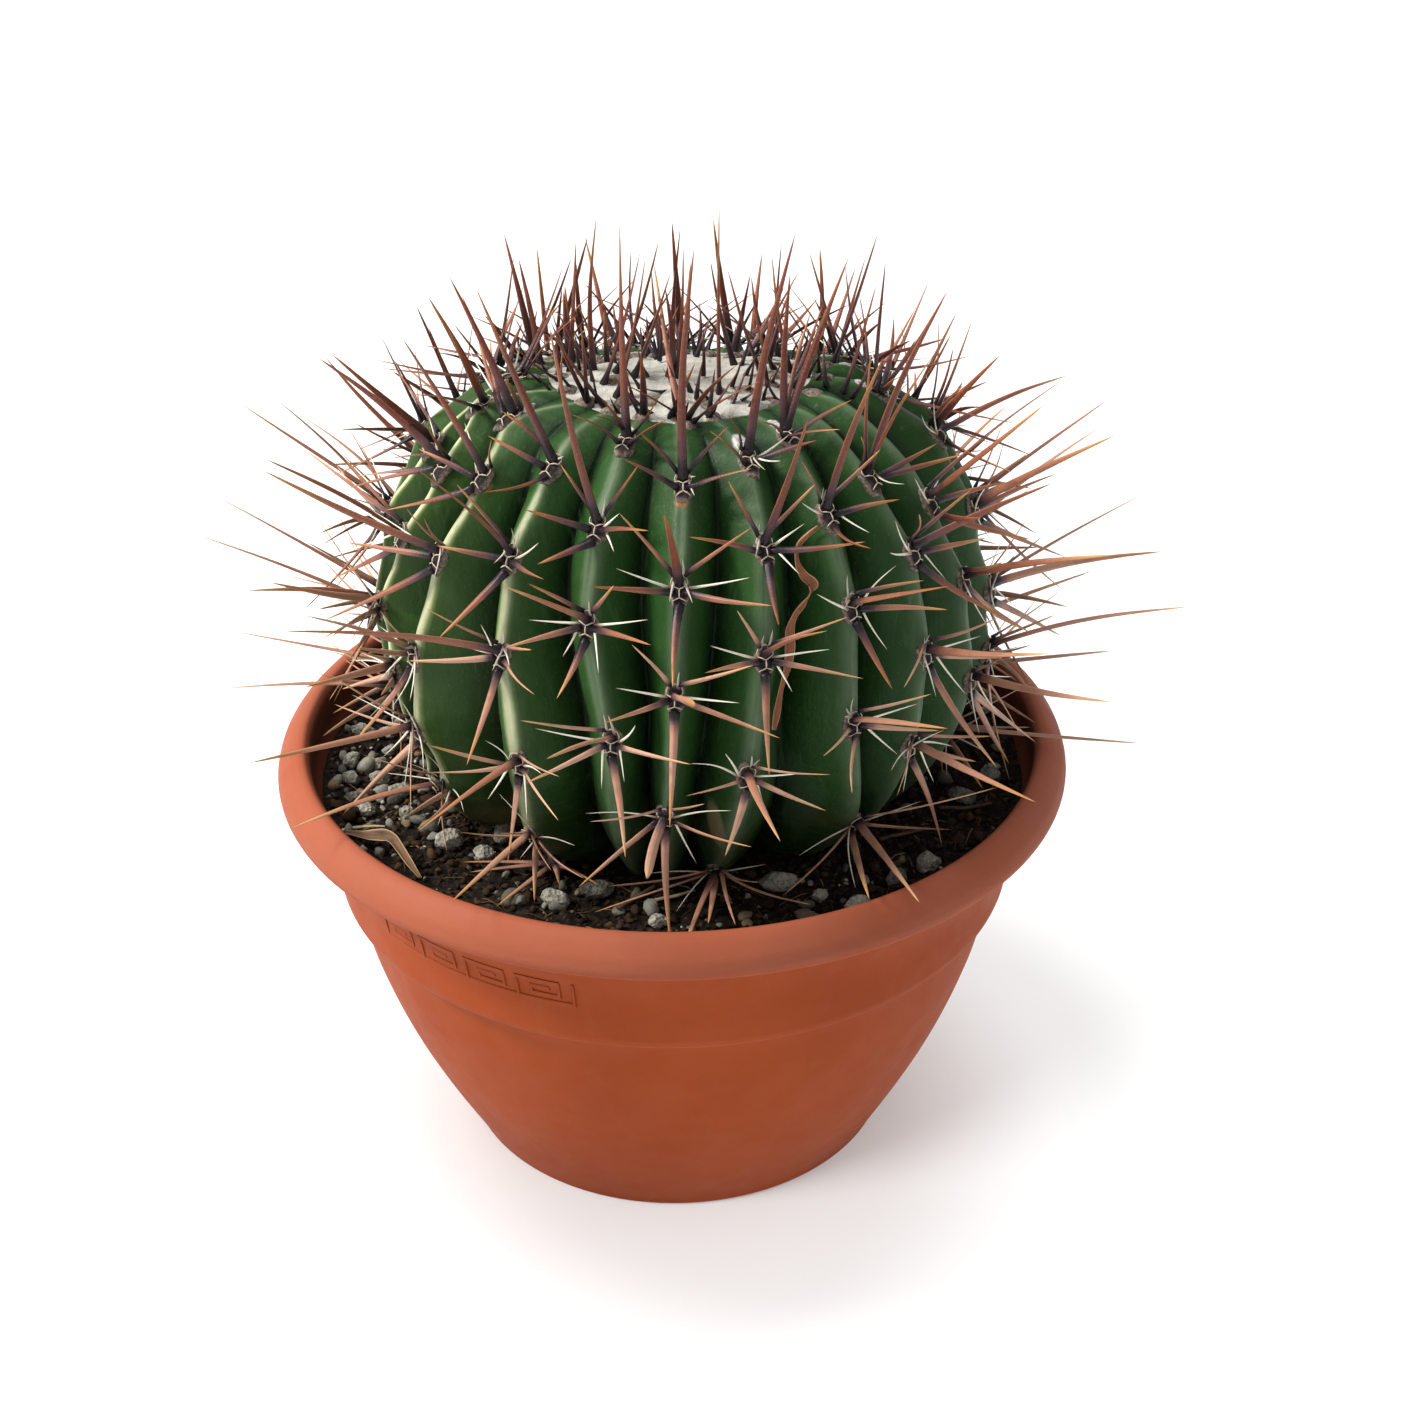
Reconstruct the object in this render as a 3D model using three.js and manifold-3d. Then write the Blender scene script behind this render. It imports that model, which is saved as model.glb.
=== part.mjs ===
import * as THREE from "three";
import { mergeVertices } from "three/addons/utils/BufferGeometryUtils.js";
import Module from "manifold-3d";

const wasm = await Module();
wasm.setup();
const { Manifold, Mesh } = wasm;

// Driving dimensions, millimetres. Origin: centre of the pot's underside, +Z up, front towards -Y.
const GAP = 0.35; // clearance kept between pieces that touch
const POT_RIM_R = 150; // greatest radius of the rolled rim
const POT_RIM_Z = 167.1; // top of the rim
const POT_MOUTH_R = 139.1; // inner edge of the rim
const POT_BASE_R = 82.7; // underside
const POT_FLOOR = 4.5; // thickness of the floor
const POT_SEGMENTS = 60;
const DRAIN_R = 6; // drainage hole
const DRAIN_RING = 46; // radius of the ring of drainage holes
const DRAIN_COUNT = 6;
const SOIL_Z = 147; // surface of the compost
const BODY_X = 4.8; // the plant stands a little off the pot's axis
const BODY_Y = 1.4;
const BODY_MID_Z = 224.6; // height of the centre that the ribs' arcs are measured from
const CROWN_R = 47.7; // sunken felted crown
const CROWN_FLOOR_Z = 307;
const RIBS = 22;
// Inward depth of the furrows at each ring of the body, from the crown's edge to below the soil.
const FURROW = [5, 9, 13.5, 17.5, 20.5, 22.5, 23, 23, 22, 20.5, 17.5, 13.5, 9.5];
const ACROSS = [0, 0.14, 0.33, 0.5, 0.67, 0.86]; // places of the points between one crest and the next
const FURROW_SHARE = [0, 0.07, 0.53, 1, 0.53, 0.07]; // share of the furrow's depth at each of them
const FELT_TOP_Z = 312.6;
// The far side of the crown droops: behind DROOP_Y heights fall at DROOP_SLOPE, eased over DROOP_EASE,
// fully above DROOP_TOP_Z and not at all under DROOP_LOW_Z.
const DROOP_Y = -12;
const DROOP_EASE = 30;
const DROOP_SLOPE = 0.26;
const DROOP_LOW_Z = 230;
const DROOP_TOP_Z = 305;
const PAD_HALF = 4.6; // half length of an areole's pad along its rib
const PAD_WIDE = 3.1; // half width of the pad
const PAD_RISE = 2.5; // height of the pad's middle over the crest
const LINE_HALF = 1.2; // half width of the crest line between pads
const LINE_LOW = 0.5;
const LINE_HIGH = 1.3;

// Crest of the ribs, ring by ring: radius and height, then the azimuth of each rib in degrees (0 is the front, turning to the right).
const CREST_EVEN = -2.04;
const CREST_RZ = [[66.3, 309.4], [80.0, 301.8], [91.7, 291.2], [100.6, 278.1], [106.7, 263.4], [111.0, 246.2], [113.6, 228.5], [113.8, 210.6], [110.1, 193.0], [103.0, 176.5], [93.3, 161.7], [81.1, 148.9], [66.9, 139.0]];
const CREST_AZ = [
  [0.1, 16.9, 32.0, 46.6, 60.8, 79.5, 96.6, 113.2, 129.7, 145.6, 161.0, 178.6, -165.6, -148.9, -133.7, -117.1, -99.6, -83.6, -72.5, -56.8, -34.4, -17.7],
  [-0.0, 17.4, 32.1, 46.5, 59.8, 80.1, 96.6, 113.0, 130.0, 145.3, 161.5, 178.8, -165.5, -148.9, -134.0, -116.9, -100.0, -79.5, -71.5, -54.7, -34.4, -17.8],
  [-0.5, 16.5, 31.7, 46.9, 59.8, 81.1, 96.5, 112.5, 129.9, 144.7, 162.2, 178.6, -165.5, -149.3, -134.0, -116.5, -100.8, -76.2, -65.3, -51.3, -34.8, -18.3],
  [-0.9, 15.6, 31.6, 48.3, 60.1, 79.7, 96.3, 112.1, 129.8, 145.1, 162.4, 177.9, -165.7, -149.6, -133.8, -116.1, -101.1, -79.8, -66.8, -52.6, -35.2, -18.0],
  [-1.3, 14.6, 31.7, 48.7, 61.9, 78.3, 96.1, 111.7, 129.7, 145.5, 162.6, 177.3, -166.3, -149.6, -133.6, -115.7, -100.9, -83.5, -68.8, -53.9, -34.6, -17.7],
  [-1.8, 13.3, 31.0, 48.0, 63.6, 79.1, 95.8, 111.7, 129.5, 145.9, 162.3, 177.9, -166.7, -149.7, -133.0, -116.1, -100.6, -83.6, -72.2, -55.4, -34.0, -15.6],
  [-2.4, 11.8, 30.2, 46.9, 63.8, 79.8, 95.6, 112.7, 129.6, 146.2, 161.7, 178.8, -166.4, -149.7, -132.1, -117.1, -100.0, -83.0, -71.7, -56.9, -32.4, -13.4],
  [-3.2, 10.4, 31.2, 45.1, 64.0, 79.9, 95.7, 113.0, 129.6, 146.2, 161.9, 178.2, -166.1, -149.7, -132.4, -117.1, -99.6, -83.0, -65.1, -58.1, -30.8, -12.7],
  [-3.9, 9.2, 33.5, 44.2, 64.0, 80.0, 96.6, 112.0, 128.9, 145.5, 162.5, 177.2, -166.0, -149.9, -133.4, -116.1, -100.3, -83.2, -65.1, -58.9, -31.6, -12.7],
  [-3.9, 8.0, 35.7, 44.2, 64.0, 80.2, 97.3, 111.4, 128.1, 145.1, 162.8, 177.1, -165.9, -150.1, -133.9, -115.5, -100.8, -83.2, -65.1, -59.1, -33.0, -12.7],
  [-3.9, 6.8, 36.8, 44.2, 64.0, 80.3, 97.3, 111.4, 128.1, 145.1, 162.8, 177.1, -165.9, -150.1, -133.9, -115.5, -100.8, -83.2, -65.1, -59.1, -33.7, -12.7],
  [-3.9, 6.3, 36.8, 44.2, 64.0, 80.3, 97.3, 111.4, 128.1, 145.1, 162.8, 177.1, -165.9, -150.1, -133.9, -115.5, -100.8, -83.2, -65.1, -59.1, -33.7, -12.7],
  [-3.9, 6.3, 36.8, 44.2, 64.0, 80.3, 97.3, 111.4, 128.1, 145.1, 162.8, 177.1, -165.9, -150.1, -133.9, -115.5, -100.8, -83.2, -65.1, -59.1, -33.7, -12.7],
];

// Areoles and crest lines, tenths of a millimetre and hundredths of a unit vector.
// Spine kinds: 0 central, 1 strong radial, 2 downward, 3 upper, 4 thin, 5 stub, 6 blunt, 7 and 8 crown.
const ROWS = [
  [[39,-243,3121,0,-4,100,4,100,4,[7,62,-205,3644]],
   [36,-329,3117,0,-4,100,4,100,4,[8,-15,-322,3260]],
   [33,-414,3112,0,-4,100,4,100,4,[8,13,-485,3257,7,94,-517,3354]],
   [66,-470,3113,0,4,100,-4,100,-4,[1,-33,86,3502,1,306,-694,3362,0,221,-862,3487,3,-169,-530,3302]],
   [44,-585,3111,0,-14,99,1,99,14],
   [52,-690,3078,0,-43,90,-1,90,43],
   [48,-782,3021,0,-59,81,0,81,59,[0,91,-806,3860,1,-144,-830,3150,1,269,-910,3148,3,-91,-763,3213,3,199,-757,3230,5,84,-807,3058,5,80,-857,3011]],
   [43,-872,2945,0,-71,70,0,70,71],
   [36,-948,2854,-1,-82,57,1,57,82],
   [30,-1006,2752,-2,-90,43,1,43,90,[0,-15,-1421,3240,3,-159,-1066,3071,3,263,-1099,3029,4,-173,-1053,2866,4,256,-1079,2839,1,-251,-1158,2855,1,326,-1199,2799,2,4,-1273,2545,5,3,-1077,2736,5,67,-1089,2737,5,35,-1013,2860]],
   [23,-1051,2638,-2,-95,31,1,31,95],
   [16,-1083,2521,-3,-97,23,1,23,97],
   [10,-1106,2402,-3,-99,16,1,16,99,[3,-125,-1251,2693,3,263,-1273,2623,4,-181,-1177,2492,4,220,-1205,2445,6,76,-1338,2519,1,-219,-1256,2408,1,349,-1327,2381,2,-13,-1326,2043,5,21,-1127,2503]],
   [3,-1117,2323,-4,-99,13,1,13,99],
   [-4,-1124,2243,-5,-100,6,0,6,100],
   [-11,-1126,2162,-5,-100,-2,0,-2,100],
   [-17,-1120,2081,-6,-99,-12,-1,-12,99],
   [-23,-1105,2002,-6,-97,-23,-1,-23,97],
   [-28,-1083,1924,-7,-95,-32,-2,-32,95,[3,-276,-1309,2061,4,-292,-1201,2025,3,103,-1343,2145,4,194,-1213,2034,1,-327,-1188,1719,1,257,-1352,1979,6,-92,-1261,1800,2,-17,-1219,1512,4,-83,-1107,1722,4,76,-1112,1760]]],
  [[133,-318,3117,1,-4,100,-25,97,4,[8,124,-297,3279,8,89,-318,3206]],
   [154,-401,3112,1,-4,100,-25,97,4,[8,239,-412,3280,8,162,-413,3290]],
   [173,-475,3116,0,0,100,-25,97,0],
   [204,-549,3112,2,-7,100,-27,96,7],
   [238,-619,3094,9,-29,95,-27,91,30],
   [272,-682,3063,16,-48,86,-26,82,51,[0,418,-623,3840,1,491,-710,3155,1,132,-965,3308,4,404,-620,3136,4,366,-841,3142,5,319,-762,3056,3,193,-883,3327]],
   [287,-747,3020,18,-57,81,-24,77,59],
   [299,-808,2970,19,-64,74,-22,71,67],
   [309,-864,2913,21,-71,68,-19,65,74],
   [316,-914,2850,23,-79,57,-16,54,82,[0,435,-1179,3445,3,190,-985,3144,3,476,-909,3090,4,444,-893,2940,1,61,-1123,3011,1,637,-993,2920,2,348,-1200,2728,4,422,-1004,2812,5,287,-985,2843,5,303,-911,2935]],
   [318,-974,2744,24,-88,42,-11,41,91],
   [316,-1020,2630,24,-92,31,-8,30,95],
   [310,-1054,2514,23,-95,22,-5,22,98,[0,479,-1585,2914,3,212,-1225,2799,3,575,-1146,2726,4,127,-1171,2641,4,520,-1080,2571,1,108,-1206,2560,1,629,-1157,2502,2,317,-1278,2211,4,398,-1112,2431,5,312,-1071,2608,5,329,-1070,2623]],
   [302,-1070,2445,22,-96,18,-4,17,98],
   [293,-1084,2375,22,-97,14,-3,14,99],
   [283,-1095,2305,21,-97,11,-2,11,99],
   [273,-1104,2234,20,-98,5,-1,5,100],
   [262,-1107,2163,19,-98,-1,0,-1,100],
   [250,-1105,2091,18,-98,-11,2,-11,99,[4,173,-1244,2276,5,260,-1139,2188,5,287,-1137,2173,4,57,-1236,2235,3,520,-1265,2202,4,427,-1170,2150,0,329,-1819,2303,1,42,-1401,2213,1,512,-1197,2018,2,173,-1187,1836,4,321,-1144,1942]],
   [238,-1094,2017,17,-96,-22,4,-21,98],
   [226,-1078,1944,15,-94,-29,5,-29,96],
   [213,-1054,1873,14,-92,-37,6,-36,93],
   [199,-1026,1805,13,-89,-44,6,-44,90],
   [185,-992,1739,12,-86,-50,7,-50,86],
   [172,-954,1676,11,-82,-56,7,-56,83],
   [158,-912,1616,9,-78,-62,7,-61,79],
   [145,-865,1560,8,-73,-68,7,-67,73,[1,-280,-1129,1574,1,474,-1113,1581,3,291,-1147,1700,4,319,-1035,1700,4,-92,-1066,1690,3,-224,-1141,1690,0,19,-1318,1519,4,5,-1098,1551,3,206,-1254,1600,2,112,-1314,1647,5,126,-934,1604]]],
  [[179,-207,3121,2,-3,100,-51,86,4,[7,184,-170,3787]],
   [223,-281,3117,2,-3,100,-51,86,4,[8,277,-284,3240,8,326,-320,3192]],
   [261,-344,3108,-5,9,99,-51,86,-10],
   [306,-420,3116,0,0,100,-51,86,0],
   [357,-487,3112,5,-8,100,-52,85,9],
   [409,-550,3094,17,-26,95,-51,80,31,[0,607,-387,3669,1,560,-809,3237,1,287,-817,3272,1,621,-468,3192,3,491,-267,3432,0,412,-418,3627]],
   [444,-611,3058,28,-44,86,-46,72,52],
   [476,-669,3013,32,-51,80,-42,68,60],
   [506,-724,2962,36,-58,73,-38,62,69],
   [533,-773,2904,40,-65,65,-34,55,76,[0,682,-926,3533,1,768,-749,2954,2,630,-1279,3039,4,662,-836,2875,4,432,-917,3028,3,430,-906,3172,3,704,-698,3114,5,523,-765,2992,5,532,-764,2983]],
   [558,-814,2839,44,-71,56,-29,47,83],
   [579,-848,2768,47,-76,44,-23,38,90],
   [597,-876,2694,49,-79,36,-19,31,93],
   [611,-899,2617,50,-81,30,-16,25,96,[0,856,-1498,3016,3,842,-899,2727,1,927,-884,2608,4,751,-861,2764,4,478,-1053,2762,5,582,-955,2635,2,736,-1040,2394,4,721,-966,2505,5,592,-927,2748]],
   [616,-917,2551,51,-83,24,-13,21,97],
   [619,-933,2485,51,-84,20,-10,17,98],
   [620,-946,2418,50,-85,18,-9,15,98],
   [620,-958,2351,50,-85,13,-7,11,99],
   [620,-968,2283,50,-86,9,-5,8,100],
   [617,-975,2214,50,-87,3,-2,3,100,[3,870,-1022,2363,4,833,-946,2282,0,861,-1577,2556,1,911,-962,2184,1,489,-1335,2315,2,573,-1506,2277,4,766,-975,2102,5,589,-1015,2294,5,583,-1030,2269,5,613,-1004,2327]],
   [632,-966,2144,51,-86,-5,2,-4,100],
   [643,-952,2075,52,-85,-12,6,-10,99],
   [651,-933,2006,52,-82,-23,12,-19,97],
   [655,-908,1939,52,-80,-30,16,-25,95],
   [656,-879,1873,52,-77,-37,21,-30,93],
   [654,-847,1810,52,-74,-44,25,-36,90],
   [648,-812,1749,51,-70,-49,29,-40,87],
   [638,-774,1690,50,-67,-55,33,-44,84,[3,1113,-966,1955,4,870,-828,1817,1,1002,-683,1604,1,380,-1103,1618,0,823,-1347,1741,2,655,-1319,1741,4,434,-1016,1722,4,626,-1089,1633]]],
  [[274,-196,3119,3,-3,100,-73,68,4,[8,267,-179,3248]],
   [362,-278,3112,3,-3,100,-73,68,4,[8,322,-270,3234]],
   [418,-330,3116,0,0,100,-73,68,0],
   [509,-420,3103,20,-19,96,-70,66,28],
   [560,-469,3079,31,-29,90,-66,62,43],
   [604,-512,3042,39,-37,84,-61,58,54],
   [647,-554,2999,45,-43,78,-57,54,62],
   [687,-593,2951,51,-48,71,-52,49,70,[0,843,-958,3562,0,916,-582,3620,1,917,-473,3031,1,1000,-498,2999,4,779,-776,3022,3,681,-479,3354,3,628,-808,3211]],
   [730,-619,2897,57,-53,63,-46,43,77],
   [769,-640,2837,62,-56,55,-41,37,83],
   [803,-656,2773,67,-59,45,-34,30,89],
   [834,-668,2707,70,-61,38,-28,25,93,[0,1276,-729,2996,3,935,-623,2812,3,817,-899,2972,4,750,-802,2901,4,729,-871,2817,1,1092,-552,2709,2,1138,-666,2464,4,938,-692,2624]],
   [857,-700,2592,72,-64,27,-21,18,96],
   [872,-726,2474,73,-66,19,-14,13,98],
   [880,-746,2355,73,-67,13,-10,9,99,[3,1136,-681,2472,4,1077,-638,2372,5,887,-774,2440,5,867,-786,2435,0,1206,-1350,2692,1,1156,-638,2285,3,771,-1070,2416,2,1134,-815,1943,4,1019,-745,2203,4,907,-836,2245,5,860,-846,2337]],
   [874,-771,2243,72,-69,6,-4,4,100],
   [859,-788,2129,71,-70,-7,5,-5,100],
   [832,-793,2016,68,-70,-22,15,-16,98,[4,926,-947,2178,3,1118,-748,2032,4,992,-694,1960,4,742,-1025,2066,0,1179,-1426,2183,1,1080,-665,1878,2,966,-727,1562,3,757,-1108,2016,4,785,-1036,1989,4,922,-753,1849]]],
  [[355,-139,3117,4,-2,100,-89,45,4,[8,322,-115,3329]],
   [431,-178,3112,4,-2,100,-89,45,4,[7,549,-157,3330,7,541,-99,3389]],
   [508,-216,3115,0,0,100,-89,45,0,[7,713,-249,3520,7,695,-291,3260]],
   [591,-282,3107,19,-10,98,-86,47,22],
   [656,-325,3082,34,-19,92,-80,45,39],
   [713,-366,3042,47,-27,84,-73,42,54],
   [766,-405,2994,54,-32,78,-67,39,63],
   [818,-435,2939,62,-36,70,-60,35,72],
   [865,-462,2877,70,-41,59,-51,30,81],
   [904,-485,2809,75,-44,50,-43,25,87,[0,1207,-913,3362,3,1079,-337,2979,4,949,-414,2900,4,825,-646,2984,1,1179,-307,2804,2,1021,-895,2951,2,1274,-368,2608]],
   [957,-489,2710,81,-45,38,-33,18,92],
   [1000,-486,2606,85,-45,29,-25,13,96],
   [1035,-477,2499,88,-44,21,-19,9,98,[0,1457,-992,2860,3,1120,-755,2717,4,1172,-322,2478,5,1016,-534,2564,2,1300,-302,2201,1,1159,-451,2340,4,1119,-557,2351]],
   [1047,-481,2434,88,-44,18,-16,8,98],
   [1057,-485,2369,89,-44,14,-12,6,99],
   [1065,-488,2303,89,-44,11,-10,5,99],
   [1071,-489,2237,90,-44,5,-5,2,100],
   [1073,-488,2171,90,-44,0,0,0,100],
   [1071,-486,2104,89,-44,-10,9,-4,100,[3,1148,-727,2337,4,1244,-335,2035,0,1482,-999,2308,2,1249,-334,1664,2,1354,-268,1716,3,1255,-527,1898,4,1079,-717,2024,4,1183,-417,1929]]],
  [[385,-47,3117,4,-1,100,-98,18,4,[7,308,-43,3383,7,214,-68,3515]],
   [470,-62,3112,4,-1,100,-98,18,4,[7,365,-75,3571,8,519,-73,3172]],
   [554,-77,3115,0,0,100,-98,18,0,[7,954,-244,3490,8,526,-53,3302,8,550,-60,3253,7,749,-180,3225]],
   [623,-91,3112,7,-1,100,-98,18,7],
   [689,-104,3097,29,-5,96,-94,17,30],
   [751,-117,3072,46,-9,89,-87,16,47,[0,764,-79,3532,1,818,210,3263,1,761,-498,3283,3,684,105,3368,3,629,-281,3329,2,1227,-218,2985,4,719,85,3214,4,667,-305,3185,4,866,27,3096,4,805,-280,3111]],
   [807,-122,3038,54,-10,84,-82,15,55],
   [861,-125,2999,61,-10,79,-77,13,62],
   [912,-127,2956,69,-11,71,-71,11,70],
   [959,-127,2908,74,-12,66,-65,10,75,[0,1127,-406,3317,1,1469,282,3019,3,1102,97,3031,3,1009,-357,3192,4,1098,41,2879,4,876,-311,3066,4,920,-281,3104,2,1168,-615,2979]],
   [1002,-146,2847,81,-14,56,-56,9,83],
   [1038,-165,2781,88,-16,46,-45,8,89],
   [1067,-184,2712,91,-18,38,-37,7,92],
   [1091,-202,2640,93,-19,32,-31,6,95,[0,1509,-555,3090,1,1430,100,2655,4,1126,-338,2824,3,1218,-38,2677,2,1467,34,2334,4,1123,-445,2643]],
   [1122,-199,2533,95,-19,23,-23,5,97],
   [1146,-194,2423,97,-18,18,-17,3,98],
   [1163,-187,2313,98,-18,12,-12,2,99,[0,1833,55,2341,4,1178,-356,2508,2,1481,94,1969,4,1291,-70,2173,4,1185,-369,2280]],
   [1172,-187,2186,98,-18,1,-1,0,100],
   [1163,-185,2059,97,-17,-15,15,-3,99,[0,1862,-360,2328,1,1382,91,2138,1,1274,-576,2110,3,1451,-53,2246,3,1375,-378,2312,2,1263,-297,1558,4,1291,25,2139,4,1250,-392,2193,4,1243,-59,1952,4,1187,-318,1996]],
   [1134,-177,1933,94,-16,-31,30,-5,95],
   [1112,-172,1872,92,-16,-37,36,-6,93],
   [1087,-166,1812,89,-15,-43,43,-7,90],
   [1025,-153,1700,83,-14,-54,53,-9,84,[0,1746,-296,1721,1,1230,162,1604,1,1128,-518,1674,3,1373,9,1821,3,1320,-326,1816,2,1028,-132,1487,4,1168,38,1739,4,1160,-392,1747,4,1067,-21,1635,4,1026,-279,1586]]],
  [[389,51,3117,4,0,100,-99,-11,4,[7,446,30,3444,8,402,40,3317]],
   [474,60,3112,4,0,100,-99,-11,4,[8,507,60,3261,8,536,40,3267]],
   [559,69,3115,0,0,100,-99,-11,0,[7,738,50,3603]],
   [641,81,3111,13,1,99,-99,-11,13],
   [719,93,3092,32,4,95,-94,-11,32,[0,645,127,3468,1,676,481,3298,1,842,-190,3291,3,586,177,3266,3,581,-96,3332,2,1110,200,3117,4,679,197,3139,4,638,-97,3204,4,764,260,3125,4,854,-23,3106]],
   [818,104,3036,55,6,83,-82,-10,56],
   [908,113,2964,67,8,73,-73,-8,68],
   [987,121,2879,80,9,60,-59,-7,80,[0,1094,110,3262,1,1105,435,2972,1,1097,-202,3045,3,987,289,3245,3,1001,-97,3223,2,1340,188,2702,4,950,293,3028,4,1064,5,2877]],
   [1054,125,2769,89,10,45,-44,-5,90],
   [1104,127,2650,94,10,32,-32,-3,95],
   [1139,127,2526,97,10,23,-23,-2,97,[0,1618,224,2931,1,1282,522,2637,1,1317,-186,2542,3,1245,290,2824,3,1298,-23,2787,2,1499,179,2113,4,1201,-51,2667,4,1180,255,2490,4,1215,5,2499]],
   [1163,127,2405,98,10,17,-17,-2,99],
   [1179,126,2281,99,10,9,-9,-1,100],
   [1184,123,2156,100,10,-3,3,0,100,[0,1791,253,2498,1,1339,441,2142,1,1444,-225,2262,3,1359,303,2370,3,1372,6,2434,2,1389,173,1711,4,1282,345,2281,4,1230,273,2066,4,1245,-1,2083]],
   [1169,134,2030,98,10,-20,19,2,98],
   [1134,141,1907,94,11,-34,33,4,94],
   [1083,146,1791,88,11,-45,45,6,89,[0,1709,226,1828,1,1175,499,1712,1,1365,-160,1736,3,1345,359,1890,3,1365,54,1954,2,1059,180,1487,4,1194,390,1843,4,1262,-59,1846,4,1077,298,1698,4,1150,-3,1697]]],
  [[333,132,3119,4,2,100,-92,-38,4,[7,159,169,3496]],
   [453,182,3110,-9,-4,100,-92,-38,-9],
   [523,211,3115,0,0,100,-92,-38,0,[7,710,180,3503,8,540,215,3154]],
   [589,243,3112,8,3,100,-92,-39,8],
   [652,276,3098,27,12,95,-88,-38,30,[0,522,238,3510,1,566,593,3238,1,762,87,3270,3,446,386,3371,3,522,17,3371,2,1036,442,3148,4,500,445,3229,4,655,152,3158,4,669,419,3128,4,789,196,3151]],
   [754,315,3041,50,21,84,-77,-33,55],
   [847,348,2964,63,26,73,-68,-28,68],
   [928,375,2871,75,31,58,-54,-22,81,[0,1073,400,3245,1,952,708,2974,1,1152,68,3042,3,878,571,3195,3,1030,237,3194,2,1251,554,2612,4,1044,160,2980,4,962,507,2843]],
   [990,395,2761,83,34,44,-41,-16,90],
   [1037,407,2643,88,35,32,-30,-12,95],
   [1070,414,2520,91,36,23,-21,-8,97,[0,1523,646,2942,1,1113,808,2606,1,1357,213,2542,3,1129,635,2841,3,1228,309,2803,2,1343,493,2191,4,1060,604,2687,4,1240,239,2656,4,1072,576,2489,4,1174,333,2434]],
   [1086,435,2405,91,37,17,-16,-6,99],
   [1096,453,2289,92,38,10,-9,-4,100],
   [1096,468,2171,92,40,-1,1,0,100,[0,1667,636,2660,1,1127,835,2176,1,1405,251,2267,3,1187,671,2432,3,1379,425,2434,2,1291,483,1766,4,1081,685,2311,4,1242,336,2296,4,1112,606,2099,4,1209,393,2083]],
   [1092,451,2054,91,38,-16,14,6,99],
   [1072,429,1940,88,36,-30,28,11,95],
   [1038,402,1830,85,33,-42,39,15,91,[0,1684,600,1988,1,1100,793,1800,1,1336,160,1735,3,1275,635,2030,3,1391,370,2000,2,1006,410,1512,4,1060,619,1877,4,1212,254,1912,4,998,527,1729,4,1117,295,1724]]],
  [[315,229,3117,3,3,100,-78,-63,4,[7,477,183,3453,7,427,286,3377]],
   [382,283,3112,3,3,100,-78,-63,4,[7,417,310,3544,8,379,296,3210,8,303,272,3199]],
   [448,337,3115,0,0,100,-78,-63,0,[8,501,313,3127]],
   [497,381,3112,5,4,100,-77,-63,6],
   [587,466,3079,32,27,91,-69,-58,42,[0,573,491,3497,1,441,837,3267,1,801,311,3314,3,378,534,3360,3,612,272,3356,2,1024,804,3013,4,415,635,3204,4,639,400,3128,4,599,632,3104,4,722,434,3111]],
   [670,535,3010,47,39,79,-61,-51,61],
   [744,596,2923,56,47,68,-52,-44,73],
   [776,623,2873,62,52,59,-45,-38,81],
   [804,646,2819,66,55,52,-40,-33,86,[0,1003,782,3336,1,716,1001,2880,1,1137,478,2896,3,713,765,3149,3,938,540,3137,2,1028,928,2547,4,703,843,2936,4,921,487,2989]],
   [847,679,2710,71,59,38,-29,-24,92],
   [879,702,2595,74,61,28,-21,-18,96],
   [902,718,2478,76,62,19,-15,-12,98,[0,1290,1034,2926,1,810,1116,2531,1,1234,594,2554,3,890,964,2799,3,1096,699,2788,2,1090,953,2072,4,797,962,2566,4,1075,582,2649,4,874,876,2427,4,1039,661,2397]],
   [917,731,2363,76,63,14,-11,-9,99],
   [926,740,2246,77,64,6,-5,-4,100],
   [926,742,2128,77,64,-7,5,4,100,[0,1393,1226,2474,1,855,1143,2234,1,1295,611,2101,3,974,1031,2331,3,1194,758,2328,2,1004,862,1697,4,885,958,2212,4,1167,637,2210,4,890,855,2031]],
   [917,722,2000,75,61,-23,18,15,97],
   [893,690,1877,73,58,-36,28,23,93],
   [856,649,1761,69,54,-48,38,30,88,[0,1413,1091,1842,1,791,994,1736,1,1180,495,1668,3,996,976,1932,3,1216,702,1870,2,851,668,1488,4,1060,584,1846,4,803,749,1661,4,984,564,1678]]],
  [[243,296,3117,2,3,100,-57,-82,4,[7,307,318,3428]],
   [292,366,3112,2,3,100,-57,-82,4,[8,277,322,3079]],
   [336,429,3116,0,0,100,-57,-82,0],
   [388,519,3110,10,15,98,-55,-82,18,[0,321,448,3398,1,137,722,3265,1,658,237,3312,3,162,389,3334,3,447,236,3315,2,596,984,3248,4,304,517,3160,4,518,308,3207,4,303,643,3154,4,508,490,3151]],
   [460,614,3065,29,42,86,-49,-71,51],
   [523,697,2993,36,51,78,-45,-64,63],
   [582,768,2905,44,62,65,-38,-53,76,[0,733,904,3373,1,356,1019,3091,1,911,676,3091,3,428,817,3215,3,747,691,3213,2,893,1083,2680,4,397,908,3056,4,778,668,3021,4,536,907,2895,4,731,794,2892]],
   [619,830,2800,50,72,48,-28,-40,88],
   [644,877,2684,53,77,35,-20,-29,93],
   [661,912,2563,55,80,25,-14,-21,97,[0,1001,1227,3169,1,492,1239,2613,1,1062,894,2665,3,585,1108,2890,3,876,937,2827,2,782,1248,2202,4,488,1087,2700,4,837,830,2708,4,596,1057,2530,4,787,895,2516]],
   [672,937,2438,55,81,18,-10,-15,98],
   [679,956,2312,55,82,12,-7,-10,99],
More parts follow.
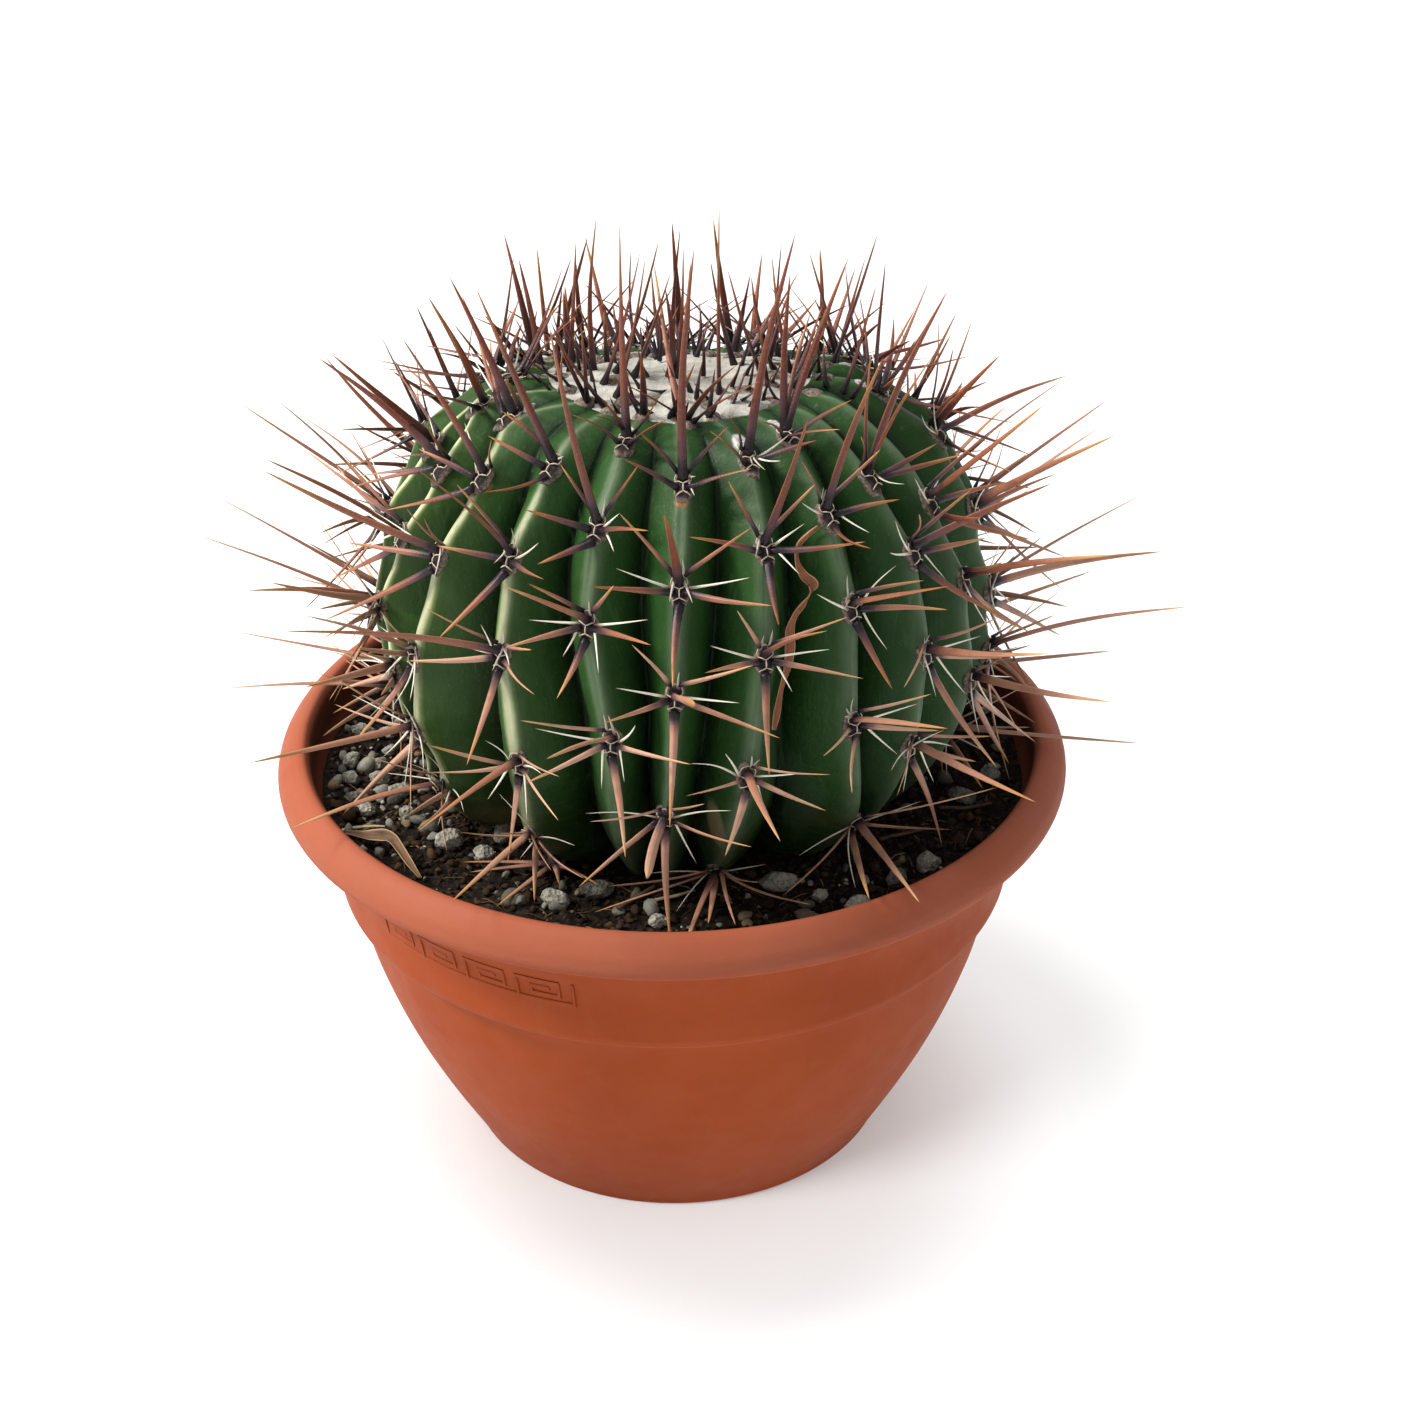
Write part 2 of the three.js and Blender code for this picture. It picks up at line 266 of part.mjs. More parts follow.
   [679,966,2184,55,83,1,0,-1,100,[0,1014,1450,2541,1,547,1313,2259,1,1098,981,2305,3,678,1236,2437,3,884,1064,2428,2,898,1157,1704,4,569,1118,2300,4,899,925,2339,4,622,1096,2113]],
   [681,961,2118,55,83,-8,5,7,100],
   [681,952,2053,55,82,-16,9,13,99],
   [677,938,1989,55,80,-24,14,20,97],
   [671,921,1926,54,78,-32,18,26,95],
   [662,900,1864,53,76,-38,21,31,93],
   [650,875,1804,51,74,-44,25,36,90,[0,1127,1466,1851,1,447,1203,1702,1,1091,874,1791,3,669,1238,1952,3,999,971,1921,2,579,845,1486,4,550,1076,1870,4,891,843,1834,4,557,979,1736,4,756,802,1687]]],
  [[156,339,3117,1,4,100,-32,-95,4,[8,115,333,3154]],
   [179,409,3108,-3,-10,99,-31,-94,-10],
   [207,493,3116,0,0,100,-32,-95,0],
   [254,598,3108,7,20,98,-32,-92,22,[0,178,415,3621,1,170,631,3161,3,41,461,3368,3,292,481,3210,2,438,1051,3194,4,47,615,3188,4,147,716,3167,4,421,630,3144]],
   [286,713,3059,17,49,86,-28,-81,52],
   [312,815,2984,20,61,77,-24,-73,64],
   [323,862,2940,22,68,70,-22,-67,71],
   [332,905,2892,24,75,62,-19,-59,78,[0,380,1114,3413,1,-6,1087,3086,1,638,914,3070,3,192,964,3211,3,489,870,3228,2,536,1292,2648,4,493,824,3036,4,248,1054,2868,4,495,949,2904]],
   [350,968,2792,27,84,47,-14,-45,88],
   [363,1015,2684,28,89,35,-11,-34,93],
   [371,1050,2572,29,92,26,-8,-24,97,[0,573,1420,3068,1,82,1356,2688,1,726,1095,2644,3,218,1262,2846,3,595,1139,2888,2,375,1282,2248,4,201,1144,2714,4,587,1059,2659,4,287,1151,2493,4,498,1095,2525]],
   [386,1073,2454,30,94,18,-6,-17,98],
   [399,1089,2335,31,94,13,-4,-12,99],
   [410,1096,2214,32,95,3,-1,-3,100,[0,569,1680,2590,1,176,1385,2276,1,754,1151,2325,3,302,1307,2480,3,635,1201,2470,2,526,1366,1732,4,205,1249,2303,4,635,1133,2370,4,305,1222,2141,4,550,1115,2160]],
   [400,1095,2089,31,95,-11,3,10,99],
   [385,1074,1965,29,92,-27,8,25,96],
   [364,1036,1847,27,88,-40,12,38,92,[0,590,1626,1981,1,125,1336,1811,1,781,1163,1830,3,270,1369,2024,3,581,1312,2006,2,361,1073,1518,4,188,1188,1875,4,569,1131,1932,4,261,1099,1759,4,482,1030,1737]]],
  [[60,357,3117,0,4,100,-4,-100,4,[7,57,385,3603]],
   [63,442,3112,0,4,100,-4,-100,4,[8,15,505,3289,8,25,513,3250]],
   [66,519,3116,0,0,100,-4,-100,0],
   [60,619,3110,0,16,99,-2,-99,16,[0,26,274,3629,1,-303,687,3313,1,341,628,3323,3,-83,368,3314,3,281,379,3343,2,34,1057,3287,4,-108,505,3204,4,160,557,3189,4,-66,661,3161,4,205,714,3150]],
   [63,731,3072,1,47,88,-2,-88,47],
   [66,828,3007,1,61,79,-2,-79,61],
   [69,917,2929,2,72,69,-2,-69,72,[0,99,1018,3382,1,-305,1012,3144,1,325,982,3068,3,-54,896,3257,3,231,886,3217,2,163,1403,2771,4,-120,931,3047,4,261,877,3073,4,218,1008,2903]],
   [79,994,2827,3,85,53,-2,-53,85],
   [91,1051,2713,4,92,38,-2,-38,92],
   [102,1092,2593,5,96,27,-1,-27,96,[0,57,1614,3096,1,-188,1261,2713,1,471,1295,2726,3,-113,1210,2881,3,250,1164,2885,2,143,1448,2222,4,-79,1161,2752,4,297,1148,2686,4,-19,1196,2518,4,213,1160,2527]],
   [91,1120,2481,4,98,19,-1,-19,98],
   [80,1140,2367,3,99,14,0,-14,99],
   [68,1153,2252,2,100,7,0,-7,100,[0,5,1622,2628,1,-302,1343,2326,1,470,1331,2285,3,-122,1366,2474,3,178,1322,2519,2,90,1364,1908,4,-144,1258,2395,4,251,1231,2409,4,-54,1212,2206,4,213,1238,2196]],
   [80,1154,2138,3,100,-5,0,5,100],
   [92,1140,2025,4,98,-20,1,20,98],
   [103,1109,1914,5,94,-33,2,33,94,[0,199,1773,2162,1,-202,1288,1857,1,469,1349,1960,3,-52,1389,2135,3,238,1357,2132,2,171,1155,1524,4,-84,1235,2026,4,-36,1142,1853,4,211,1136,1821]]],
  [[-37,346,3117,-1,4,100,25,-97,4,[7,-52,368,3450,8,-85,377,3244]],
   [-58,429,3112,-1,4,100,25,-97,4,[8,-47,438,3175]],
   [-79,512,3115,0,0,100,25,-97,0,[8,-139,493,3142]],
   [-126,687,3084,-10,38,92,23,-89,39,[0,-131,751,3467,1,-491,709,3269,1,191,765,3286,3,-300,544,3370,3,-83,650,3159,2,-331,1144,3073,4,-293,594,3195,4,-283,766,3107,4,-5,792,3107]],
   [-152,787,3019,-15,57,81,20,-78,59],
   [-175,878,2939,-18,69,70,17,-68,72],
   [-195,954,2843,-21,80,56,14,-54,83,[0,-317,1312,3474,1,-576,1047,2925,1,66,1121,3031,3,-315,923,3154,3,-56,1029,3132,2,-291,1360,2554,4,-359,929,2952,4,22,1032,2969,4,-356,1015,2814,4,-81,1080,2810]],
   [-203,1012,2733,-22,89,41,10,-40,91],
   [-206,1056,2618,-23,93,30,7,-29,96],
   [-205,1087,2498,-22,95,21,5,-20,98,[0,-267,1556,2996,1,-617,1230,2584,1,120,1346,2509,3,-429,1193,2774,3,-73,1279,2824,2,-284,1312,2126,4,-412,1101,2638,4,-36,1199,2610,4,-350,1137,2416,4,-105,1175,2449]],
   [-214,1107,2382,-23,96,15,3,-14,99],
   [-221,1120,2264,-24,97,8,2,-8,100],
   [-226,1122,2145,-24,97,-4,-1,4,100,[0,-394,1787,2475,1,-568,1230,2191,1,75,1394,2256,3,-418,1302,2431,3,-132,1342,2397,2,-251,1245,1706,4,-448,1178,2277,4,-36,1268,2239,4,-398,1155,2088,4,-121,1199,2063]],
   [-223,1107,2021,-24,95,-21,-5,20,98],
   [-216,1073,1902,-23,91,-34,-8,33,94],
   [-206,1025,1788,-22,86,-45,-11,44,89,[0,-339,1605,1783,1,-562,1136,1744,1,117,1322,1744,3,-406,1264,1962,3,-114,1364,1920,2,-177,982,1492,4,-423,1133,1883,4,-27,1213,1836,4,-337,1017,1736]]],
  [[-110,280,3119,-2,3,100,51,-86,4,[8,-96,292,3238,8,-91,290,3233]],
   [-171,383,3112,-2,3,100,51,-86,4,[8,-196,499,3314,7,-240,465,3327]],
   [-210,448,3116,0,0,100,51,-86,0],
   [-248,508,3112,-3,5,100,51,-86,6],
   [-286,567,3099,-15,25,96,49,-82,29],
   [-322,622,3075,-23,38,89,46,-76,45,[0,-333,535,3453,1,-593,464,3285,1,-56,934,3237,3,-350,418,3349,3,-113,546,3383,2,-576,930,3038,4,-398,554,3120,4,-108,732,3214,4,-267,750,3081]],
   [-371,711,3008,-31,52,79,41,-68,61],
   [-415,792,2925,-37,62,69,35,-59,73],
   [-449,860,2827,-43,73,53,27,-46,85,[0,-500,1123,3454,1,-847,820,2922,1,-246,1121,3037,3,-579,801,3205,3,-292,1018,3117,2,-737,1178,2492,4,-552,820,2914,4,-280,997,2974,4,-614,890,2774]],
   [-475,905,2725,-46,79,40,20,-34,92],
   [-494,939,2617,-48,82,30,15,-25,96],
   [-508,964,2506,-49,84,22,11,-19,98,[0,-788,1331,2984,1,-868,926,2565,1,-332,1305,2615,3,-723,1002,2776,3,-439,1176,2812,2,-618,1167,2139,4,-374,1118,2593,4,-675,970,2459,4,-440,1083,2468]],
   [-520,985,2379,-50,85,14,7,-12,99],
   [-527,997,2250,-50,86,6,3,-6,100],
   [-529,999,2185,-51,86,1,0,-1,100],
   [-528,998,2119,-50,86,-8,-4,7,100,[0,-918,1567,2429,1,-884,978,2122,1,-326,1295,2154,3,-821,1099,2315,3,-496,1234,2377,2,-686,1096,1627,4,-773,977,2241,4,-381,1168,2190,4,-685,976,2061,4,-431,1104,2038]],
   [-516,983,2000,-49,84,-23,-12,20,97],
   [-495,954,1886,-47,81,-35,-18,31,94],
   [-468,913,1777,-44,77,-47,-23,40,88,[0,-781,1501,1802,1,-808,866,1688,1,-247,1254,1679,3,-773,1080,1902,3,-517,1243,1910,2,-427,925,1488,4,-697,945,1853,4,-382,1114,1832,4,-585,847,1657,4,-366,990,1697]]],
  [[-203,248,3117,-3,3,100,73,-68,4,[8,-174,262,3234]],
   [-266,306,3112,-3,3,100,73,-68,4,[8,-336,294,3223]],
   [-328,365,3115,0,0,100,73,-68,0,[8,-328,374,3168]],
   [-380,421,3111,-7,7,100,72,-69,10],
   [-430,476,3096,-22,21,95,68,-66,31,[0,-283,352,3563,1,-711,263,3288,1,-312,657,3244,3,-400,353,3241,3,-165,430,3378,2,-731,773,3140,4,-489,319,3189,4,-244,530,3238,4,-588,448,3146]],
   [-504,548,3040,-39,38,84,60,-58,55],
   [-573,613,2968,-48,47,74,53,-51,67],
   [-632,670,2880,-58,56,60,43,-42,80,[0,-777,755,3298,1,-954,569,2970,1,-453,988,3019,3,-787,511,3219,3,-517,777,3220,2,-898,914,2676,4,-750,524,3009,4,-503,800,3043,4,-772,646,2875,4,-602,828,2845]],
   [-678,711,2781,-64,62,46,33,-32,89],
   [-714,741,2673,-68,65,35,25,-24,94],
   [-741,763,2562,-70,67,25,18,-17,97,[0,-1079,1088,3008,1,-1119,609,2596,1,-646,1052,2626,3,-940,753,2892,3,-704,1028,2848,2,-949,986,2176,4,-922,676,2655,4,-648,952,2748,4,-890,720,2483,4,-701,896,2501]],
   [-766,772,2449,-72,67,18,13,-12,98],
   [-787,776,2335,-73,67,13,9,-9,99],
   [-803,774,2219,-75,67,4,3,-3,100,[0,-1204,1063,2647,1,-1205,619,2220,1,-704,1111,2318,3,-1103,773,2436,3,-854,1026,2497,2,-900,899,1834,4,-1006,683,2359,4,-708,983,2321,4,-766,916,2145]],
   [-791,782,2092,-73,67,-11,-8,7,99],
   [-764,775,1968,-70,66,-26,-19,18,96],
   [-724,756,1848,-66,64,-40,-29,27,92,[0,-1181,1255,1963,1,-1146,620,1790,1,-652,1190,1797,3,-1063,855,2024,3,-810,1044,2004,2,-768,741,1515,4,-983,666,1871,4,-820,708,1747]]],
  [[-259,168,3117,-4,2,100,89,-45,4,[8,-221,188,3308]],
   [-335,206,3112,-4,2,100,89,-45,4,[7,-363,189,3384,7,-359,216,3405]],
   [-412,244,3115,0,0,100,89,-45,0,[8,-537,207,3225]],
   [-470,277,3112,-6,3,100,89,-45,7],
   [-527,311,3102,-26,13,96,85,-44,29,[0,-340,284,3498,1,-579,185,3206,1,-365,607,3318,3,-473,124,3274,3,-245,368,3380,2,-903,475,3144,4,-563,110,3178,4,-426,382,3178,4,-646,255,3142,4,-546,452,3123]],
   [-626,358,3048,-47,24,85,75,-38,53],
   [-715,398,2975,-59,30,75,67,-34,66],
   [-793,432,2886,-71,35,61,55,-27,79,[0,-924,488,3287,1,-995,209,3084,1,-769,737,3050,3,-858,264,3244,3,-727,645,3207,2,-1216,535,2617,4,-708,640,3059,4,-810,574,2896]],
   [-852,455,2788,-80,39,46,42,-20,89],
   [-897,471,2683,-84,41,35,32,-15,94],
   [-932,481,2572,-87,42,26,23,-11,97,[0,-1280,563,3089,1,-1268,264,2675,1,-960,852,2656,3,-1162,348,2840,3,-966,655,2943,2,-1126,599,2236,4,-1078,338,2735,4,-910,650,2715,4,-1046,419,2519]],
   [-950,505,2451,-88,43,18,16,-8,98],
   [-961,526,2329,-88,45,13,11,-6,99],
   [-964,543,2204,-89,46,2,2,-1,100,[0,-1447,860,2718,1,-1318,342,2211,1,-952,964,2335,3,-1192,461,2474,3,-1042,769,2503,2,-1138,598,1711,4,-1134,413,2371,4,-972,757,2341,4,-1087,434,2118,4,-940,705,2135]],
   [-964,528,2077,-89,45,-12,-11,5,99],
   [-947,504,1952,-86,42,-28,-25,13,96],
   [-912,472,1832,-82,39,-42,-37,18,91,[0,-1559,775,1931,1,-1233,282,1812,1,-937,843,1765,3,-1266,412,1941,3,-1091,797,1938,2,-920,460,1518,4,-1109,319,1895,4,-911,733,1892,4,-999,372,1758,4,-899,579,1744]]],
  [[-290,75,3117,-4,1,100,98,-18,4,[8,-344,71,3291,8,-371,92,3244]],
   [-367,89,3109,11,-2,99,98,-18,-11],
   [-458,105,3115,0,0,100,98,-18,0,[7,-561,128,3607,7,-514,134,3513,8,-530,92,3215]],
   [-636,127,3085,-38,6,92,91,-15,38,[0,-537,86,3529,1,-788,-225,3285,1,-547,458,3301,3,-532,-41,3376,3,-504,237,3407,2,-1043,211,3096,4,-592,-87,3195,4,-552,351,3188,4,-712,11,3123,4,-688,281,3135]],
   [-736,153,3021,-58,10,81,80,-14,59],
   [-827,178,2941,-70,13,70,69,-13,71],
   [-903,203,2845,-81,16,56,55,-11,83,[0,-1027,200,3209,1,-1154,-114,2952,1,-945,572,2956,3,-963,30,3163,3,-919,324,3158,2,-1262,199,2636,4,-888,340,2930,4,-1037,115,2809,4,-966,323,2829]],
   [-963,211,2731,-90,17,41,40,-8,91],
   [-987,214,2671,-92,18,34,34,-6,94],
   [-1008,216,2609,-94,18,29,28,-5,96],
   [-1039,218,2484,-96,18,20,19,-4,98,[0,-1562,269,2951,1,-1259,-92,2489,1,-1137,580,2543,3,-1201,108,2795,3,-1163,375,2767,2,-1296,294,2094,4,-1149,14,2626,4,-1084,349,2446]],
   [-1060,215,2366,-97,18,14,14,-2,99],
   [-1074,210,2247,-98,17,6,6,-1,100],
   [-1076,204,2126,-98,17,-7,-7,1,100,[0,-1698,275,2536,1,-1296,-62,2211,1,-1257,567,2205,3,-1341,108,2402,3,-1274,451,2369,2,-1307,171,1679,4,-1206,2,2235,4,-1108,400,2221,4,-1169,95,2025,4,-1100,310,2039]],
   [-1059,209,2012,-96,17,-22,-22,4,98],
   [-1026,211,1903,-93,17,-34,-33,6,94],
   [-981,211,1798,-88,17,-45,-44,8,89,[0,-1693,281,1942,1,-1276,-77,1775,1,-1118,551,1750,3,-1299,127,1930,3,-1295,418,1936,2,-972,217,1486,4,-1143,36,1840,4,-1095,403,1870,4,-1037,78,1697,4,-962,331,1679]]],
  [[-293,-23,3117,-4,0,100,99,11,4,[7,-234,13,3688,7,-384,-25,3365,7,-20,-71,3624]],
   [-378,-32,3112,-4,0,100,99,11,4,[7,-304,-31,3622,8,-386,-14,3242]],
   [-454,-40,3116,0,0,100,99,11,0],
   [-557,-40,3110,-17,-2,98,98,9,17,[0,-362,17,3508,1,-492,-362,3264,1,-517,229,3259,3,-302,-158,3390,3,-390,166,3335,2,-1016,-95,3208,4,-482,-269,3210,4,-524,189,3214,4,-586,-173,3152]],
   [-665,-86,3070,-48,-7,88,87,12,48],
   [-755,-144,3004,-60,-12,79,77,15,61],
   [-832,-208,2924,-71,-18,68,66,17,73,[0,-1092,-618,3443,3,-957,16,3130,4,-946,-19,2958]],
   [-913,-179,2827,-83,-17,53,52,11,85],
   [-946,-161,2774,-88,-15,45,44,8,89],
   [-976,-141,2719,-91,-14,39,39,6,92],
   [-1001,-119,2663,-93,-12,34,33,4,94],
   [-1022,-95,2606,-95,-10,29,28,3,96,[0,-1364,-143,3084,1,-1207,-467,2720,1,-1224,218,2686,3,-1135,-282,2860,3,-1144,34,2904,2,-1338,-181,2264,4,-1058,-318,2773,4,-1090,119,2769,4,-1089,-224,2521]],
   [-1051,-107,2485,-97,-11,20,20,2,98],
   [-1071,-117,2362,-98,-12,14,14,2,99],
   [-1083,-128,2238,-99,-12,5,5,1,100,[0,-1676,-250,2617,1,-1236,-473,2306,1,-1306,129,2341,3,-1219,-259,2413,3,-1282,10,2554,2,-1275,-151,1873,4,-1104,-216,2296,4,-1206,59,2337,4,-1122,-283,2199,4,-1158,6,2200]],
   [-1083,-125,2119,-99,-12,-8,-8,-1,100],
   [-1065,-121,2002,-97,-12,-23,-23,-3,97],
   [-1031,-114,1888,-93,-11,-35,-35,-4,94,[0,-1639,-247,1987,1,-1258,-496,1923,1,-1251,183,1863,3,-1297,-251,2046,3,-1297,20,2040,2,-1026,-159,1583,4,-1106,-377,1923,4,-1186,81,1922,4,-1039,-258,1800,4,-1067,-2,1794]]],
  [[-190,-84,3121,-4,-2,100,92,38,4,[7,-83,-152,3614,7,18,-141,3531]],
   [-348,-150,3112,-4,-2,100,92,38,4,[8,-358,-131,3271]],
   [-419,-179,3116,0,0,100,92,38,0],
   [-503,-188,3112,-7,-3,100,94,34,8],
   [-584,-189,3093,-29,-9,95,91,29,31],
   [-660,-182,3061,-49,-14,86,83,23,51,[0,-778,-526,3599,0,-712,-605,3532,1,-851,-534,3261,4,-768,-105,3064]],
   [-700,-227,3028,-55,-18,82,78,25,57],
   [-735,-274,2991,-59,-22,78,73,27,63],
   [-765,-324,2950,-65,-27,71,65,27,71],
   [-789,-376,2906,-69,-32,65,59,28,76,[0,-1194,-234,3275,4,-830,-221,3049,3,-803,-607,3190,1,-1116,-328,2824,3,-969,-317,2930,1,-1090,-276,2846]],
   [-834,-381,2847,-75,-34,56,51,23,83],
   [-875,-382,2785,-82,-35,46,42,18,89],
   [-910,-380,2719,-85,-35,39,36,15,92],
   [-940,-375,2651,-88,-35,33,30,12,95,[0,-1343,-619,3073,3,-1282,-125,2881,3,-1137,-214,2890,2,-1227,-165,2384,4,-1201,-267,2537,4,-1121,-189,2695,5,-967,-465,2632]],
   [-972,-356,2574,-91,-33,26,24,9,97],
   [-999,-335,2496,-93,-31,21,20,7,98],
   [-1022,-311,2417,-94,-29,18,17,5,98],
   [-1042,-285,2337,-96,-26,13,12,3,99,[0,-1435,-715,2630,0,-1358,-677,2640,4,-1185,-94,2340,4,-1081,-449,2528,1,-1170,-689,2429,2,-1100,-787,2393,3,-1119,-578,2348,4,-1271,-119,2278]],
   [-1021,-378,2254,-94,-34,7,6,2,100],
   [-987,-467,2170,-91,-42,-1,-1,0,100,[0,-1231,-951,2384,1,-1202,-290,2000,3,-1081,-715,2395,4,-1111,-345,2179,4,-1163,-302,2127,2,-980,-939,2341]]],
  [[-286,-255,3112,-3,-3,100,78,63,4,[7,-288,-315,3417,7,-390,-263,3403]],
   [-345,-303,3116,0,0,100,78,63,0],
   [-412,-323,3113,-4,-3,100,81,59,5],
   [-481,-337,3102,-23,-15,96,80,53,28],
   [-549,-343,3083,-34,-20,92,79,47,39,[0,-735,-163,3535,1,-657,-62,3279,1,-613,-78,3276,4,-609,-241,3152,3,-533,-585,3341]],
   [-602,-440,3023,-48,-33,81,67,47,58],
   [-622,-491,2988,-50,-38,78,62,47,63],
   [-637,-542,2950,-55,-44,71,55,45,70,[0,-872,-512,3456,1,-770,-461,2986,4,-691,-402,3098,3,-575,-771,3199,2,-968,-563,2850]],
   [-684,-567,2893,-61,-49,62,49,39,78],
   [-725,-586,2829,-67,-52,54,42,33,84],
   [-761,-600,2761,-72,-54,44,35,27,90],
   [-793,-610,2689,-75,-56,36,29,21,93,[0,-1354,-635,3040,3,-805,-847,2958,3,-863,-822,2983,4,-1033,-442,2801,1,-1114,-463,2681,2,-1213,-545,2418,5,-802,-734,2658]],
   [-817,-615,2627,-77,-56,30,25,18,95],
   [-837,-617,2564,-79,-56,25,20,15,97],
   [-856,-617,2501,-80,-56,21,17,12,98],
   [-872,-615,2437,-81,-56,18,15,10,98],
   [-887,-612,2373,-82,-55,14,12,8,99],
   [-900,-608,2308,-83,-54,12,10,6,99,[3,-977,-808,2597,4,-1027,-487,2367,1,-1047,-957,2537,5,-923,-668,2358,2,-967,-593,2201,4,-995,-569,2215,4,-894,-842,2266,4,-977,-674,2143,5,-880,-688,2303,0,-1194,-1060,2715]],
   [-914,-600,2198,-84,-54,2,2,1,100],
   [-918,-585,2088,-84,-52,-11,-9,-6,99],
   [-908,-562,1979,-83,-50,-25,-21,-13,97,[0,-1426,-1059,2155,1,-1226,-349,1971,3,-1168,-614,2224,4,-1147,-429,2055,4,-943,-697,2184,2,-1230,-376,1510,3,-919,-850,1824,4,-869,-810,1960,4,-971,-572,1741,4,-1048,-458,1813]],
   [-889,-550,1908,-81,-49,-33,-29,-17,94],
   [-866,-535,1839,-78,-47,-41,-35,-21,91],
   [-839,-517,1772,-76,-45,-47,-40,-24,88],
   [-808,-497,1708,-73,-44,-53,-45,-27,85,[3,-1112,-520,1856,4,-1094,-359,1686,4,-868,-697,1964,4,-957,-578,1861,0,-1348,-845,1754,1,-939,-871,1810,2,-888,-969,1824,3,-808,-791,1610,4,-838,-764,1704,4,-746,-717,1731]]],
  [[-148,-268,3117,-2,-3,100,57,82,4,[7,-66,-244,3624]],
   [-196,-338,3112,-2,-3,100,57,82,4,[7,-392,-373,3420]],
   [-240,-401,3116,0,0,100,57,82,0],
   [-296,-485,3110,-10,-14,99,56,81,17],
   [-332,-538,3091,-18,-26,95,54,78,31],
   [-365,-589,3064,-29,-42,86,49,71,51],
   [-395,-635,3028,-32,-47,82,46,68,57,[0,-614,-578,3649,1,-603,-563,3122,2,-581,-1107,3170,3,-519,-531,3180,5,-357,-666,3075,3,-554,-535,3199]],
   [-448,-705,2958,-39,-57,72,41,60,69],
   [-495,-764,2873,-46,-66,59,34,48,81],
   [-533,-810,2777,-51,-73,45,26,37,89,[0,-794,-1112,3261,3,-699,-768,3042,1,-776,-770,2817,1,-403,-1159,2885,2,-771,-957,2566,5,-582,-860,2774,4,-426,-961,2916,5,-498,-837,2913,5,-528,-823,2887]],
   [-553,-851,2674,-54,-77,35,20,28,94],
   [-566,-882,2568,-55,-80,25,14,21,97],
   [-573,-907,2459,-55,-82,18,10,15,98,[3,-810,-921,2660,4,-626,-994,2637,5,-566,-934,2574,4,-714,-863,2494,3,-451,-1176,2638,0,-1256,-1206,2734,1,-886,-874,2437,1,-442,-1269,2524,2,-694,-1067,2138,5,-602,-972,2434,5,-543,-995,2449]],
   [-570,-923,2395,-54,-82,16,9,13,99],
   [-565,-937,2331,-54,-83,13,7,11,99],
   [-558,-949,2266,-53,-84,8,4,7,100],
   [-550,-958,2201,-52,-85,2,1,2,100],
   [-540,-963,2135,-51,-86,-6,-3,-5,100],
   [-527,-964,2070,-50,-85,-13,-7,-11,99,[4,-625,-1079,2242,1,-819,-1025,2194,0,-807,-1662,2259,1,-832,-941,2036,4,-435,-1201,2183,3,-373,-1270,2213,1,-378,-1339,2086,2,-580,-996,1689,4,-639,-949,1929,4,-502,-1038,1899]],
   [-530,-947,2000,-50,-83,-23,-12,-20,97],
   [-529,-925,1932,-50,-81,-31,-16,-26,95],
   [-525,-899,1866,-49,-79,-37,-20,-32,93],
   [-518,-869,1802,-48,-76,-44,-24,-37,90],
   [-508,-836,1740,-47,-72,-50,-27,-42,87],
   [-496,-800,1681,-46,-69,-56,-31,-46,83,[1,-731,-1058,1866,3,-596,-1074,1870,4,-591,-1046,2010,4,-341,-1059,1805,2,-477,-1227,1690,1,-309,-1163,1738,0,-747,-1339,1771,4,-554,-724,1536,3,-420,-1123,1745]]],
  [[-49,-279,3119,-1,-4,100,32,95,4,[8,-90,-283,3166,7,-1,-245,3513]],
   [-87,-393,3112,-1,-4,100,32,95,4,[8,-157,-415,3246,7,-85,-527,3397]],
   [-111,-465,3116,0,0,100,32,95,0],
   [-129,-534,3112,-2,-6,100,31,95,6],
   [-145,-604,3102,-9,-28,96,28,91,29,[0,-146,-471,3833,1,-311,-907,3346,3,-233,-798,3290,1,-4,-871,3306,3,-39,-795,3332,3,-214,-798,3352]],
   [-179,-699,3053,-16,-50,85,26,81,53],
   [-211,-784,2987,-20,-60,77,24,74,63],
   [-241,-860,2909,-24,-71,66,21,63,75,[0,-364,-1001,3684,3,-353,-817,3131,3,-96,-931,3175,4,-162,-889,2984,5,-217,-855,3003,1,-471,-877,2997,1,-65,-1183,3064,2,-430,-992,2855,4,-180,-1029,2915]],
   [-254,-907,2844,-26,-79,56,17,53,83],
   [-264,-946,2774,-28,-85,45,14,43,89],
   [-271,-979,2701,-28,-88,37,11,35,93],
   [-276,-1006,2625,-29,-91,30,9,29,95,[0,-522,-1446,3016,3,-458,-1068,2823,3,-179,-1185,2873,5,-271,-1022,2717,4,-464,-1017,2663,4,-74,-1137,2722,1,-544,-1086,2598,1,-64,-1281,2707,2,-378,-1147,2437,4,-356,-1070,2554,4,-238,-1139,2528]],
   [-267,-1028,2560,-28,-93,25,7,23,97],
   [-256,-1047,2495,-27,-94,21,6,20,98],
   [-244,-1063,2429,-26,-95,18,5,18,98],
   [-232,-1077,2363,-25,-96,14,3,13,99],
   [-218,-1089,2297,-23,-97,11,2,10,99],
   [-203,-1098,2230,-22,-97,5,1,5,100,[5,-221,-1123,2345,5,-215,-1129,2346,3,-496,-1223,2402,4,-452,-1146,2325,4,-120,-1230,2381,0,-389,-1710,2547,1,-406,-1168,2170,1,59,-1370,2313,2,-163,-1273,1892,4,-239,-1163,2099,4,-162,-1173,2128]]]
];

